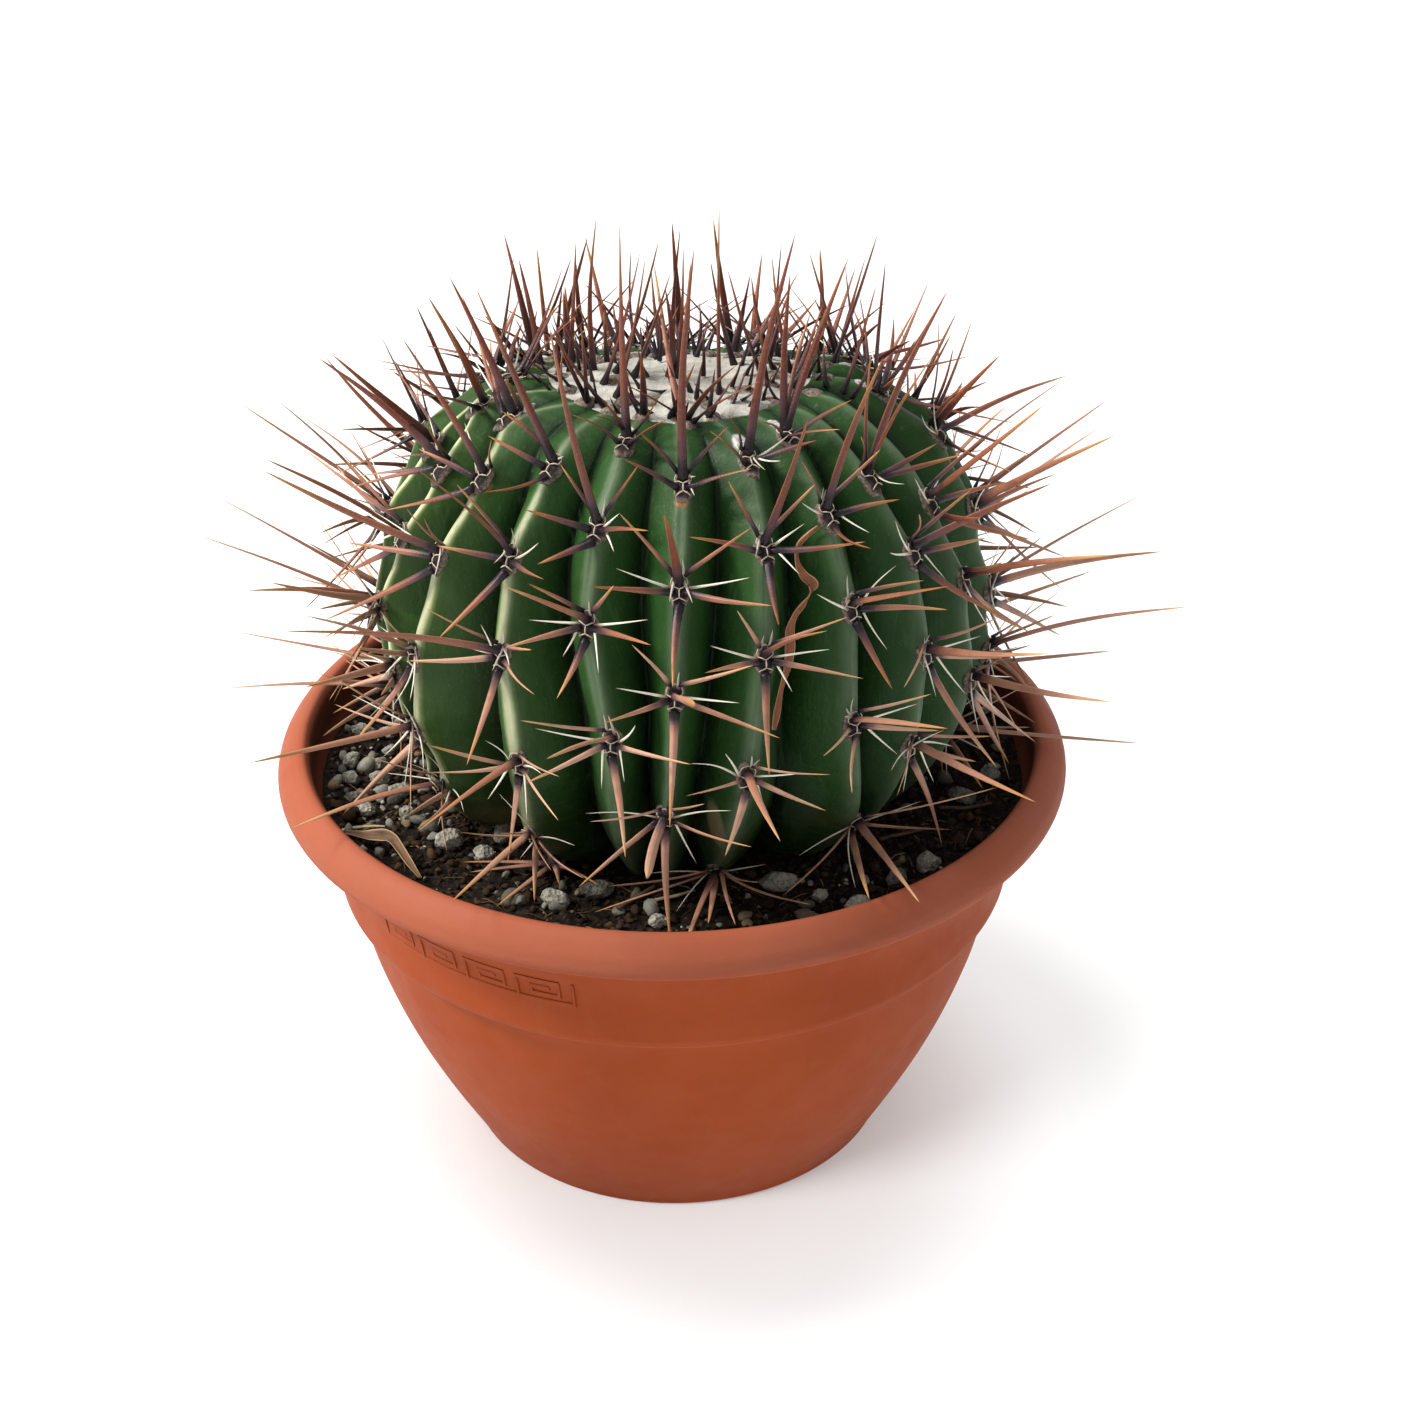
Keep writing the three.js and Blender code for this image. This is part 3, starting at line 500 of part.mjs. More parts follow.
// Curled dry ribbon: path, width and the direction of its width.
const RIBBON = [
  [49.6, -80.8, 288.6, 1.8, -0.47, -0.16, 0.87],
  [46.4, -80.0, 285.2, 2.2, -0.23, -0.41, 0.88],
  [42.9, -82.6, 282.2, 2.6, -0.51, -0.49, 0.71],
  [42.6, -85.7, 278.0, 3.0, -0.85, -0.51, 0.12],
  [44.5, -87.2, 273.9, 3.6, -0.83, -0.31, -0.46],
  [47.5, -88.0, 270.8, 4.4, -0.95, 0.09, -0.31],
  [46.4, -89.8, 267.9, 1.8, -0.09, -0.79, 0.61],
  [44.8, -91.5, 265.6, 2.2, -0.41, -0.52, 0.74],
  [41.7, -93.5, 262.1, 3.0, -0.67, -0.41, 0.62],
  [40.0, -94.6, 257.3, 4.4, -0.9, -0.34, 0.25],
  [39.9, -96.1, 251.7, 4.4, -0.94, -0.3, 0.15],
  [39.1, -97.9, 245.3, 3.6, -0.89, -0.34, 0.29],
  [37.0, -99.9, 238.0, 3.0, -0.85, -0.41, 0.33],
  [35.6, -102.5, 231.4, 2.8, -0.85, -0.41, 0.33],
  [34.2, -106.0, 225.4, 1.8, -0.8, -0.49, 0.34],
];

const rad = (d) => (d * Math.PI) / 180;
const V = (x, y, z) => new THREE.Vector3(x, y, z);

// A closed solid from rings of points (each ring turns the same way) with a fan at each end.
function skin(rings, first, last) {
  const pos = [];
  const idx = [];
  const n = rings[0].length;
  rings.forEach((r) => r.forEach((p) => pos.push(p.x, p.y, p.z)));
  for (let i = 0; i + 1 < rings.length; i++)
    for (let j = 0; j < n; j++) {
      const a = i * n + j,
        b = i * n + ((j + 1) % n),
        c = a + n,
        d = b + n;
      idx.push(a, c, b, b, c, d);
    }
  const cap = (at, base, flip) => {
    const m = pos.length / 3;
    pos.push(at.x, at.y, at.z);
    for (let j = 0; j < n; j++) {
      const a = base + j,
        b = base + ((j + 1) % n);
      flip ? idx.push(m, b, a) : idx.push(m, a, b);
    }
  };
  cap(first, 0, false);
  cap(last, (rings.length - 1) * n, true);
  const g = new THREE.BufferGeometry();
  g.setAttribute("position", new THREE.BufferAttribute(new Float32Array(pos), 3));
  g.setIndex(idx);
  return g;
}

function solid(geometry) {
  const g = geometry.index ? geometry.toNonIndexed() : geometry.clone();
  const bare = new THREE.BufferGeometry().setAttribute("position", g.getAttribute("position"));
  const m = mergeVertices(bare, 1e-3);
  let s = new Manifold(
    new Mesh({
      numProp: 3,
      vertProperties: m.attributes.position.array,
      triVerts: new Uint32Array(m.index.array),
    }),
  );
  if (s.volume() < 0) {
    const t = new Uint32Array(m.index.array);
    for (let i = 0; i < t.length; i += 3) [t[i + 1], t[i + 2]] = [t[i + 2], t[i + 1]];
    s = new Manifold(new Mesh({ numProp: 3, vertProperties: m.attributes.position.array, triVerts: t }));
  }
  return s;
}

function geometryOf(s) {
  const m = s.getMesh();
  const n = m.numProp;
  const v = new Float32Array(m.numVert * 3);
  for (let i = 0; i < m.numVert; i++) v.set(m.vertProperties.subarray(i * n, i * n + 3), i * 3);
  const g = new THREE.BufferGeometry();
  g.setAttribute("position", new THREE.BufferAttribute(v, 3));
  g.setIndex(new THREE.BufferAttribute(new Uint32Array(m.triVerts), 1));
  return g;
}

function droop(geometry) {
  const p = geometry.attributes.position;
  for (let i = 0; i < p.count; i++) {
    const behind = Math.max(0, p.getY(i) - DROOP_Y);
    const far = behind < DROOP_EASE ? (behind * behind) / (2 * DROOP_EASE) : behind - DROOP_EASE / 2;
    const share = THREE.MathUtils.smoothstep(p.getZ(i), DROOP_LOW_Z, DROOP_TOP_Z);
    p.setZ(i, p.getZ(i) - DROOP_SLOPE * far * share);
  }
  return geometry;
}

const group = new THREE.Group();
function piece(name, geometry, colour, roughness) {
  geometry.computeVertexNormals();
  const mesh = new THREE.Mesh(
    geometry,
    new THREE.MeshStandardMaterial({ color: colour, roughness, metalness: 0 }),
  );
  mesh.name = name;
  group.add(mesh);
}

function lathe(profile, segments) {
  const g = new THREE.LatheGeometry(profile.map(([r, z]) => new THREE.Vector2(r, z)), segments);
  g.rotateX(Math.PI / 2);
  return g;
}

// Pot: foot, flaring wall, step under the patterned band, rolled rim, inner wall, floor.
const potProfile = [
  [0, 0],
  [POT_BASE_R - 0.9, 0],
  [POT_BASE_R + 1.3, 1],
  [85.2, 4.2],
  [89.9, 13],
  [97.3, 27.1],
  [106.1, 45.5],
  [113.8, 65],
  [120.5, 86.7],
  [123.6, 103],
  [124.9, 107],
  [127.6, 109.4],
  [129.1, 110.8],
  [129.7, 113.5],
  [130.5, 128],
  [131.5, 134],
  [134.9, 144],
  [137, 149],
  [138.4, 151.6],
  [147.6, 152.8],
  [149.3, 154.4],
  [POT_RIM_R - 0.2, 156.8],
  [148.5, 161],
  [144.6, 165.3],
  [141.6, POT_RIM_Z],
  [POT_MOUTH_R, POT_RIM_Z],
  [137.4, 165],
  [136.6, 153.5],
  [132.6, 148.6],
  [127.2, 138],
  [125.6, 128],
  [124.6, 113],
  [119.6, 105],
  [116, 84.6],
  [101.8, 46.6],
  [84, 12],
  [80, POT_FLOOR],
  [0, POT_FLOOR],
];
let pot = solid(lathe(potProfile, POT_SEGMENTS));
for (let i = 0; i < DRAIN_COUNT; i++) {
  const a = rad((360 / DRAIN_COUNT) * i + 30);
  const g = new THREE.CylinderGeometry(DRAIN_R, DRAIN_R, POT_FLOOR * 4, 16);
  g.rotateX(Math.PI / 2);
  g.translate(DRAIN_RING * Math.cos(a), DRAIN_RING * Math.sin(a), 0);
  pot = pot.subtract(solid(g));
}
piece("pot", geometryOf(pot), 0xb5583a, 0.55);

// Cactus body: crests follow CREST_AZ, furrows lie between them.
function bodyRings(grow) {
  const rings = [];
  const at = (r, z, depth, azimuths) => {
    const ring = [];
    const rho = Math.hypot(r, z - BODY_MID_Z);
    const cr = r / rho,
      cz = (z - BODY_MID_Z) / rho;
    for (let k = 0; k < RIBS; k++)
      for (const t of ACROSS) {
        let a1 = azimuths[(k + 1) % RIBS];
        while (a1 < azimuths[k]) a1 += 360;
        const a = rad(azimuths[k] + (a1 - azimuths[k]) * t);
        const q = rho + grow - depth * FURROW_SHARE[ACROSS.indexOf(t)];
        ring.push(V(BODY_X + q * cr * Math.sin(a), BODY_Y - q * cr * Math.cos(a), BODY_MID_Z + q * cz));
      }
    rings.push(ring);
  };
  const even = CREST_AZ[0].map((_, k) => CREST_EVEN + (k * 360) / RIBS);
  at(CROWN_R, CROWN_FLOOR_Z, 0, even);
  at(CROWN_R + 1.2, 310.3, 0, even);
  at(50.6, 311.3, 1, even);
  at(58.2, 311, 3, even);
  CREST_RZ.forEach(([r, z], i) => at(r, z, FURROW[i], CREST_AZ[i]));
  return rings;
}
const bodyOf = (grow) => {
  const low = CREST_RZ[CREST_RZ.length - 1][1];
  return solid(skin(bodyRings(grow), V(BODY_X, BODY_Y, CROWN_FLOOR_Z), V(BODY_X, BODY_Y, low - grow)));
};
piece("cactus_body", droop(geometryOf(bodyOf(0))), 0x35643a, 0.5);

// Felt on the crown.
const felt = lathe(
  [
    [0, CROWN_FLOOR_Z + GAP],
    [CROWN_R - 0.9, CROWN_FLOOR_Z + GAP],
    [CROWN_R - 0.1, 309.4],
    [CROWN_R - 0.3, 310.6],
    [43, 311.2],
    [36, 311.6],
    [26, 312],
    [14, 312.4],
    [0, FELT_TOP_Z],
  ],
  32,
);
felt.translate(BODY_X, BODY_Y, 0);
piece("crown_wool", droop(felt), 0xcfc6b4, 0.95);

// Compost: fills the pot, with a close bed for the plant's foot.
const soilProfile = [
  [0, POT_FLOOR + GAP],
  [79.4, POT_FLOOR + GAP],
  [83.4, 12],
  [101.2, 46.8],
  [115.3, 84.8],
  [118.9, 105.4],
  [123.9, 113.4],
  [124.9, 128.2],
  [126.5, 138.2],
  [131.1, SOIL_Z],
  [0, SOIL_Z],
];
let soil = solid(lathe(soilProfile, POT_SEGMENTS)).subtract(bodyOf(0.45));
piece("soil", geometryOf(soil), 0x2b221c, 0.95);

// Spine rows. Each list runs along one rib from the crown down. A long entry is an areole:
// place, outward direction, direction up the rib and its spines (kind and tip). A short entry is a
// point of the crest line between areoles.
function spineRow(list) {
  const pos = [];
  const idx = [];
  const push = (p) => pos.push(p.x, p.y, p.z) / 3 - 1;
  const tri = (a, b, c) => idx.push(a, b, c);
  let prev = null;
  const corner = (q, n, l, side, high) =>
    push(q.clone().addScaledVector(n, high ? LINE_HIGH : LINE_LOW).addScaledVector(l, side * LINE_HALF));
  const section = (q, n, l) => [corner(q, n, l, -1, 0), corner(q, n, l, 1, 0), corner(q, n, l, 1, 1), corner(q, n, l, -1, 1)];
  const join = (s, t) => {
    for (let i = 0; i < 4; i++) {
      const a = s[i],
        b = s[(i + 1) % 4],
        c = t[i],
        d = t[(i + 1) % 4];
      tri(a, b, c);
      tri(b, d, c);
    }
  };
  const close = (s, flip) => {
    const [a, b, c, d] = s;
    if (flip) {
      tri(a, b, c);
      tri(a, c, d);
    } else {
      tri(a, c, b);
      tri(a, d, c);
    }
  };
  list.forEach((e, i) => {
    const q = V(e[0], e[1], e[2]).multiplyScalar(0.1);
    const n = V(e[3], e[4], e[5]).normalize();
    const u0 = V(e[6], e[7], e[8]);
    const u = u0.addScaledVector(n, -u0.dot(n)).normalize();
    const l = u.clone().cross(n).normalize();
    if (e.length === 9) {
      const s = section(q, n, l);
      if (prev) join(prev, s);
      prev = s;
      return;
    }
    const crown = q.z > 311 && Math.hypot(q.x - BODY_X, q.y - BODY_Y) < 49;
    const half = crown ? 1.9 : PAD_HALF;
    const wide = crown ? 1.9 : PAD_WIDE;
    // The strip runs down the rib: its first section is on the upper side.
    const top = section(q.clone().addScaledVector(u, half), n, l);
    if (prev) join(prev, top);
    else close(top, false);
    const low = section(q.clone().addScaledVector(u, -half), n, l);
    const apex = push(q.clone().addScaledVector(n, crown ? 1.9 : PAD_RISE));
    const spines = [];
    for (let j = 0; j < e[9].length; j += 4) {
      const tip = V(e[9][j + 1], e[9][j + 2], e[9][j + 3]).multiplyScalar(0.1);
      const d = tip.clone().sub(q);
      const across = d.dot(l),
        along = d.dot(u),
        out = d.dot(n);
      if (out < 2.6 && Math.hypot(across, along) < 8) continue;
      spines.push({ kind: e[9][j], tip, across, along, angle: Math.atan2(across, along), len: d.length() });
    }
    // The strongest upward and downward spines stand on the pad's ends, the others on its sides.
    const take = (score) => {
      let best = null;
      for (const s of spines) {
        const v = score(s);
        if (v !== null && (best === null || v > best.v)) best = { v, s };
      }
      if (!best) return null;
      spines.splice(spines.indexOf(best.s), 1);
      return best.s;
    };
    const upper = take((s) => (Math.abs(s.angle) < 0.75 || s.kind === 0 || s.kind > 5 ? s.len : null));
    const lower = take((s) => (Math.abs(s.angle) > 2.3 ? s.len : null));
    const face = (a, b, s) => {
      if (!s) return tri(apex, a, b);
      const t = push(s.tip);
      tri(apex, a, t);
      tri(a, b, t);
      tri(b, apex, t);
    };
    // sections are [low left, low right, high right, high left]
    face(top[2], top[3], upper);
    face(low[3], low[2], lower);
    for (const side of [1, -1]) {
      const own = spines.filter((s) => Math.sign(s.across || 1) === side).sort((a, b) => Math.abs(a.angle) - Math.abs(b.angle));
      while (own.length > 5) {
        let w = 0;
        own.forEach((s, j) => {
          if (s.len < own[w].len) w = j;
        });
        own.splice(w, 1);
      }
      const m = Math.max(own.length, 2);
      const start = side > 0 ? top[2] : top[3];
      const end = side > 0 ? low[2] : low[3];
      const line = [start];
      for (let j = 1; j < m; j++) {
        const f = j / m;
        const across = side * (LINE_HALF + (wide - LINE_HALF) * Math.sin(Math.PI * f));
        line.push(push(q.clone().addScaledVector(u, half * (1 - 2 * f)).addScaledVector(l, across).addScaledVector(n, LINE_HIGH - 0.1)));
      }
      line.push(end);
      for (let j = 0; j < m; j++) {
        const s = own.length === m ? own[j] : own[j] || null;
        side > 0 ? face(line[j + 1], line[j], s) : face(line[j], line[j + 1], s);
      }
      // side wall of the pad, a fan from the lower corner
      const b0 = side > 0 ? top[1] : top[0];
      const b1 = side > 0 ? low[1] : low[0];
      for (let j = 0; j < m; j++) side > 0 ? tri(b0, line[j], line[j + 1]) : tri(b0, line[j + 1], line[j]);
      side > 0 ? tri(b0, end, b1) : tri(b0, b1, end);
    }
    tri(top[0], low[1], low[0]);
    tri(top[0], top[1], low[1]);
    prev = low;
    if (i === list.length - 1) {
      close(low, true);
      prev = null;
    }
  });
  const g = new THREE.BufferGeometry();
  g.setAttribute("position", new THREE.BufferAttribute(new Float32Array(pos), 3));
  g.setIndex(idx);
  return g;
}
ROWS.forEach((list, k) => {
  const g = geometryOf(solid(spineRow(list)));
  piece("spine_row_" + String(k + 1).padStart(2, "0"), droop(g), 0x8a4a36, 0.45);
});

// Loose stones: x, y, length, width, turn, height; each has its own lumps and a flat underside.
const STONES = [
  [-122, 26.5, 9.5, 6.5, 20, 5.5],
  [-112, 25.5, 8, 5.5, -15, 4.5],
  [-110, 13, 6.5, 5, 40, 3.5],
  [-124.2, 4.5, 7.6, 7.4, 5, 5.5],
  [-113.5, 1.8, 9, 6, 10, 5],
  [-122.5, -9, 8.6, 6.6, -20, 5],
  [-111.8, -8.6, 7.6, 6.4, 15, 5],
  [-121, -21, 7.4, 5.4, 25, 4],
  [-115.5, -30.5, 9, 6.4, -35, 5],
  [-103.5, -19, 10.5, 6.6, 5, 6],
  [-99.6, -35, 5.6, 8, 10, 5.5],
  [-82, -54, 11, 9, 25, 7],
  [-68.8, -63.5, 8.5, 7, 15, 5.5],
  [-62.5, -50, 8.5, 8, 0, 6.5],
  [-42.5, -91.6, 11.5, 8, -20, 5],
  [-27.4, -87, 13.5, 8.5, 5, 5.5],
  [-6, -106.5, 8, 5.5, 10, 4],
  [37.3, -83.5, 13, 10, 0, 6],
  [51.5, -91.6, 7, 5, 30, 4],
  [64, -98.6, 11, 6.5, 25, 5],
  [91.5, -74, 9.5, 9, 0, 7],
  [79.5, -83.5, 9, 7, 30, 6],
  [121.4, -12, 9.5, 8.5, 60, 6],
  [109, -27.4, 12, 7.6, -20, 5],
];
STONES.forEach(([x, y, a, b, turn, h], i) => {
  const g = new THREE.IcosahedronGeometry(1, 1);
  const p = g.attributes.position;
  const seen = new Map();
  for (let j = 0; j < p.count; j++) {
    const key = [p.getX(j), p.getY(j), p.getZ(j)].map((v) => v.toFixed(3)).join();
    if (!seen.has(key)) {
      const w = Math.sin(12.9898 * p.getX(j) + 78.233 * p.getY(j) + 37.719 * p.getZ(j) + 7.3 * i) * 43758.5453;
      seen.set(key, 0.88 + 0.24 * (w - Math.floor(w)));
    }
    const k = seen.get(key);
    let z = p.getZ(j) * k;
    p.setXYZ(j, (p.getX(j) * k * a) / 2, (p.getY(j) * k * b) / 2, Math.max(z, -0.55) * h * 0.62);
  }
  g.rotateZ(rad(turn));
  g.computeBoundingBox();
  g.translate(x, y, SOIL_Z + GAP - g.boundingBox.min.z);
  piece("stone_" + String(i + 1).padStart(2, "0"), geometryOf(solid(g)), 0x8d8a84, 0.9);
});

// A thin sheet that follows a path: width and thickness given at each point.
function strip(points, thick) {
  const path = points.map((p) => V(p[0], p[1], p[2]));
  const rings = path.map((p, i) => {
    const t = path[Math.min(i + 1, path.length - 1)].clone().sub(path[Math.max(i - 1, 0)]).normalize();
    const side = V(points[i][4], points[i][5], points[i][6]);
    side.addScaledVector(t, -side.dot(t)).normalize();
    const n = t.clone().cross(side);
    const w = points[i][3] / 2,
      h = thick / 2;
    return [
      p.clone().addScaledVector(side, -w).addScaledVector(n, -h),
      p.clone().addScaledVector(side, w).addScaledVector(n, -h),
      p.clone().addScaledVector(side, w).addScaledVector(n, h),
      p.clone().addScaledVector(side, -w).addScaledVector(n, h),
    ];
  });
  return geometryOf(solid(skin(rings, path[0], path[path.length - 1])));
}

const level = (p, thick, side = [0, 0, 1]) => strip(p.map((q) => [q[0], q[1], q[2], q[3], ...side]), thick);
piece(
  "dry_leaf",
  strip(
    [
      [-121, -47.4, 149.6, 1.6, 0.4, 1, 0.1],
      [-115.2, -51, 150.6, 4.4, 0.43, 0.9, 0.3],
      [-110.5, -53.2, 151.4, 6, 0.4, 0.9, 0.45],
      [-106, -54.6, 151.9, 6.6, 0.5, 0.9, 0.4],
      [-102.5, -57.2, 152, 6, 0.85, 0.6, 0.25],
      [-99.4, -62.8, 151.5, 4.9, 0.95, 0.42, 0.12],
      [-95.6, -70.6, 150.8, 3.8, 0.95, 0.42, 0.05],
      [-91, -79.6, 150.3, 2, 0.95, 0.42, -0.05],
    ],
    1,
  ),
  0x6f4a2c,
  0.8,
);
piece("dry_ribbon", strip(RIBBON, 0.9), 0xb07a45, 0.6);

// A cluster of spines that fell on the compost.
let fallen = new THREE.IcosahedronGeometry(3.2, 1);
fallen.translate(-43.1, -73.3, 151.9);
fallen = solid(fallen);
for (const t of [
  [-76, -71, 151.5],
  [-73, -80, 153],
  [-62.8, -96.8, 149.6],
  [-40.6, -95, 157.5],
  [-26.5, -97, 158],
  [-49, -77, 164],
]) {
  const from = V(-43.1, -73.3, 151.9);
  const to = V(...t);
  const g = new THREE.ConeGeometry(1.7, to.distanceTo(from), 8);
  g.translate(0, to.distanceTo(from) / 2, 0);
  g.applyQuaternion(new THREE.Quaternion().setFromUnitVectors(V(0, 1, 0), to.clone().sub(from).normalize()));
  g.translate(from.x, from.y, from.z);
  fallen = fallen.add(solid(g));
}
piece("fallen_spines", geometryOf(fallen), 0x8a5a3c, 0.5);

piece("stem_brown", level([[-20, -98.4, 149.2, 2.2], [-13, -92, 149.4, 2.2], [-7, -86.6, 150.4, 1.6]], 2), 0x5d3d26, 0.85);
piece("straw_pale", level([[-7, -93, 148.6, 1.6], [0, -92, 149.4, 1.6], [7, -90, 150.6, 1.2]], 1.4), 0xc9b48a, 0.8);
piece("straw_dark_1", level([[75.5, -56, 148.6, 1.8], [84, -53.4, 149, 1.8], [92, -50, 148.8, 1.4]], 1.6), 0x4a3325, 0.85);
piece("straw_dark_2", level([[99.5, -34.5, 148.5, 1.8], [109, -36.4, 149.2, 1.8], [119, -35, 150.4, 1.4]], 1.6), 0x4a3325, 0.85);
piece("needle", level([[-122.7, -43.8, 148.5, 1.6], [-114, -42.6, 149, 1.6], [-106.8, -42.2, 148.8, 1.2]], 1.4), 0xa9825a, 0.8);

export default group;
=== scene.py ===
import math
import bpy
import numpy as np
from mathutils import Matrix, Vector


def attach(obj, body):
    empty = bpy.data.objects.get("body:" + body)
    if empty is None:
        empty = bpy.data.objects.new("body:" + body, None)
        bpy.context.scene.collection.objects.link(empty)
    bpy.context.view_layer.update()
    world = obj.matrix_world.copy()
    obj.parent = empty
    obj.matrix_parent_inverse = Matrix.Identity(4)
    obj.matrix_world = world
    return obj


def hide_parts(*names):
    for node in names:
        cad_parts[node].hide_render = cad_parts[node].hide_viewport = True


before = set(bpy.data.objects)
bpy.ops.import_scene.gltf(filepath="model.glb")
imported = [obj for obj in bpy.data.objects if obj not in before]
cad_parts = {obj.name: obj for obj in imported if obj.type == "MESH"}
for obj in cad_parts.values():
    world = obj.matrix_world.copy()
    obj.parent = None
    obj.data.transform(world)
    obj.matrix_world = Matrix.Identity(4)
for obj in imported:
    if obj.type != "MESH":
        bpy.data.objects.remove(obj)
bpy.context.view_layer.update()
MM = 0.001
rng = np.random.default_rng(20)

# ---------------------------------------------------------------- dimensions, millimetres
BODY_X, BODY_Y, MID_Z = 4.793, 1.412, 224.57
RIBS = 22
SOIL_Z = 147.0

# Radius of the crests from the body's centre, each 5 degrees from straight up down to -65.
RHO = [85.46, 85.96, 87.28, 89.15, 91.29, 94.92, 100.26, 105.54, 108.99, 110.88, 112.48, 113.6, 114.02, 113.87, 113.54, 113.21, 113.07, 113.34, 113.95, 114.56, 114.84, 114.67, 114.25, 113.67, 113.04, 112.36, 111.52, 110.51, 109.29, 107.66, 105.5, 103.02]
# Each rib's azimuth, and its sideways shift in degrees at given heights (degrees of arc).
RIB_PATH = [
    [-2.039, [-16.3, 7.9, 26.4, 44.2, 60.8], [-1.9, 0.08, 1.02, 2.03, 4.13]],
    [14.325, [-37.8, -7.7, 13.7, 32.0, 48.2], [-8.0, -4.09, -0.56, 1.76, 3.55]],
    [30.688, [-29.4, -1.6, 19.1, 35.5, 51.7], [6.15, -0.8, 0.98, 0.93, 1.89]],
    [47.052, [-11.5, 5.5, 23.9, 38.7], [-2.87, 0.54, 2.0, -0.59]],
    [63.416, [-7.1, 12.9, 29.6], [0.55, 0.12, -3.67]],
    [79.779, [-28.8, -9.4, 3.4, 20.3, 35.7, 49.1], [0.52, 0.12, -0.02, -1.46, 1.4, -0.33]],
    [96.143, [-23.6, -4.5, 14.3, 33.8, 51.4], [1.13, -0.65, -0.24, 0.36, 0.59]],
    [112.507, [-21.3, -3.7, 14.0, 33.3, 52.4], [-1.13, 0.89, -1.13, -0.19, 0.94]],
    [128.87, [-25.2, -5.9, 11.8, 30.2, 49.8], [-0.74, 0.78, 0.61, 1.01, 1.15]],
    [145.234, [-22.8, -3.1, 16.3, 35.5, 54.8], [-0.16, 1.19, 0.45, -0.52, 0.77]],
    [161.597, [-20.4, -1.6, 16.7, 34.6, 54.3], [1.19, -0.08, 1.07, 0.7, -1.02]],
    [177.961, [-16.8, 0.3, 17.8, 37.1, 55.0], [-0.84, 1.03, -0.84, 0.73, 0.95]],
    [-165.675, [-23.7, -5.1, 12.9, 31.6, 50.3], [-0.25, -0.44, -1.04, 0.18, 0.16]],
    [-149.312, [-24.3, -6.3, 13.3, 30.6, 49.4], [-0.81, -0.36, -0.35, -0.26, 0.64]],
    [-132.948, [-20.4, -1.4, 16.2, 33.9, 52.0], [-0.92, 1.18, -0.58, -1.01, -1.09]],
    [-116.584, [-21.3, -2.1, 16.7, 34.3, 52.9], [1.07, -1.02, 1.09, 0.16, -0.74]],
    [-100.221, [-23.2, -6.0, 12.2, 31.7, 50.5], [-0.61, 0.65, -0.4, -1.02, 0.81]],
    [-83.857, [-18.2, -0.4, 18.5, 36.8, 54.9], [0.65, 1.0, -0.3, 8.0, -1.02]],
    [-67.493, [-3.8, 4.6, 20.9, 35.6, 48.0], [2.43, -7.15, -1.02, 2.47, -7.07]],
    [-51.13, [-28.4, -13.4, 3.1, 22.9, 38.6, 50.3], [-8.0, -7.76, -5.62, -2.28, 0.2, -8.0]],
    [-34.766, [-29.9, -8.8, 10.9, 27.8, 44.9], [1.03, 4.34, 0.78, -0.42, 0.45]],
    [-18.403, [-0.8, 19.5, 35.8, 52.9], [5.67, 0.76, 0.1, 1.08]],
]
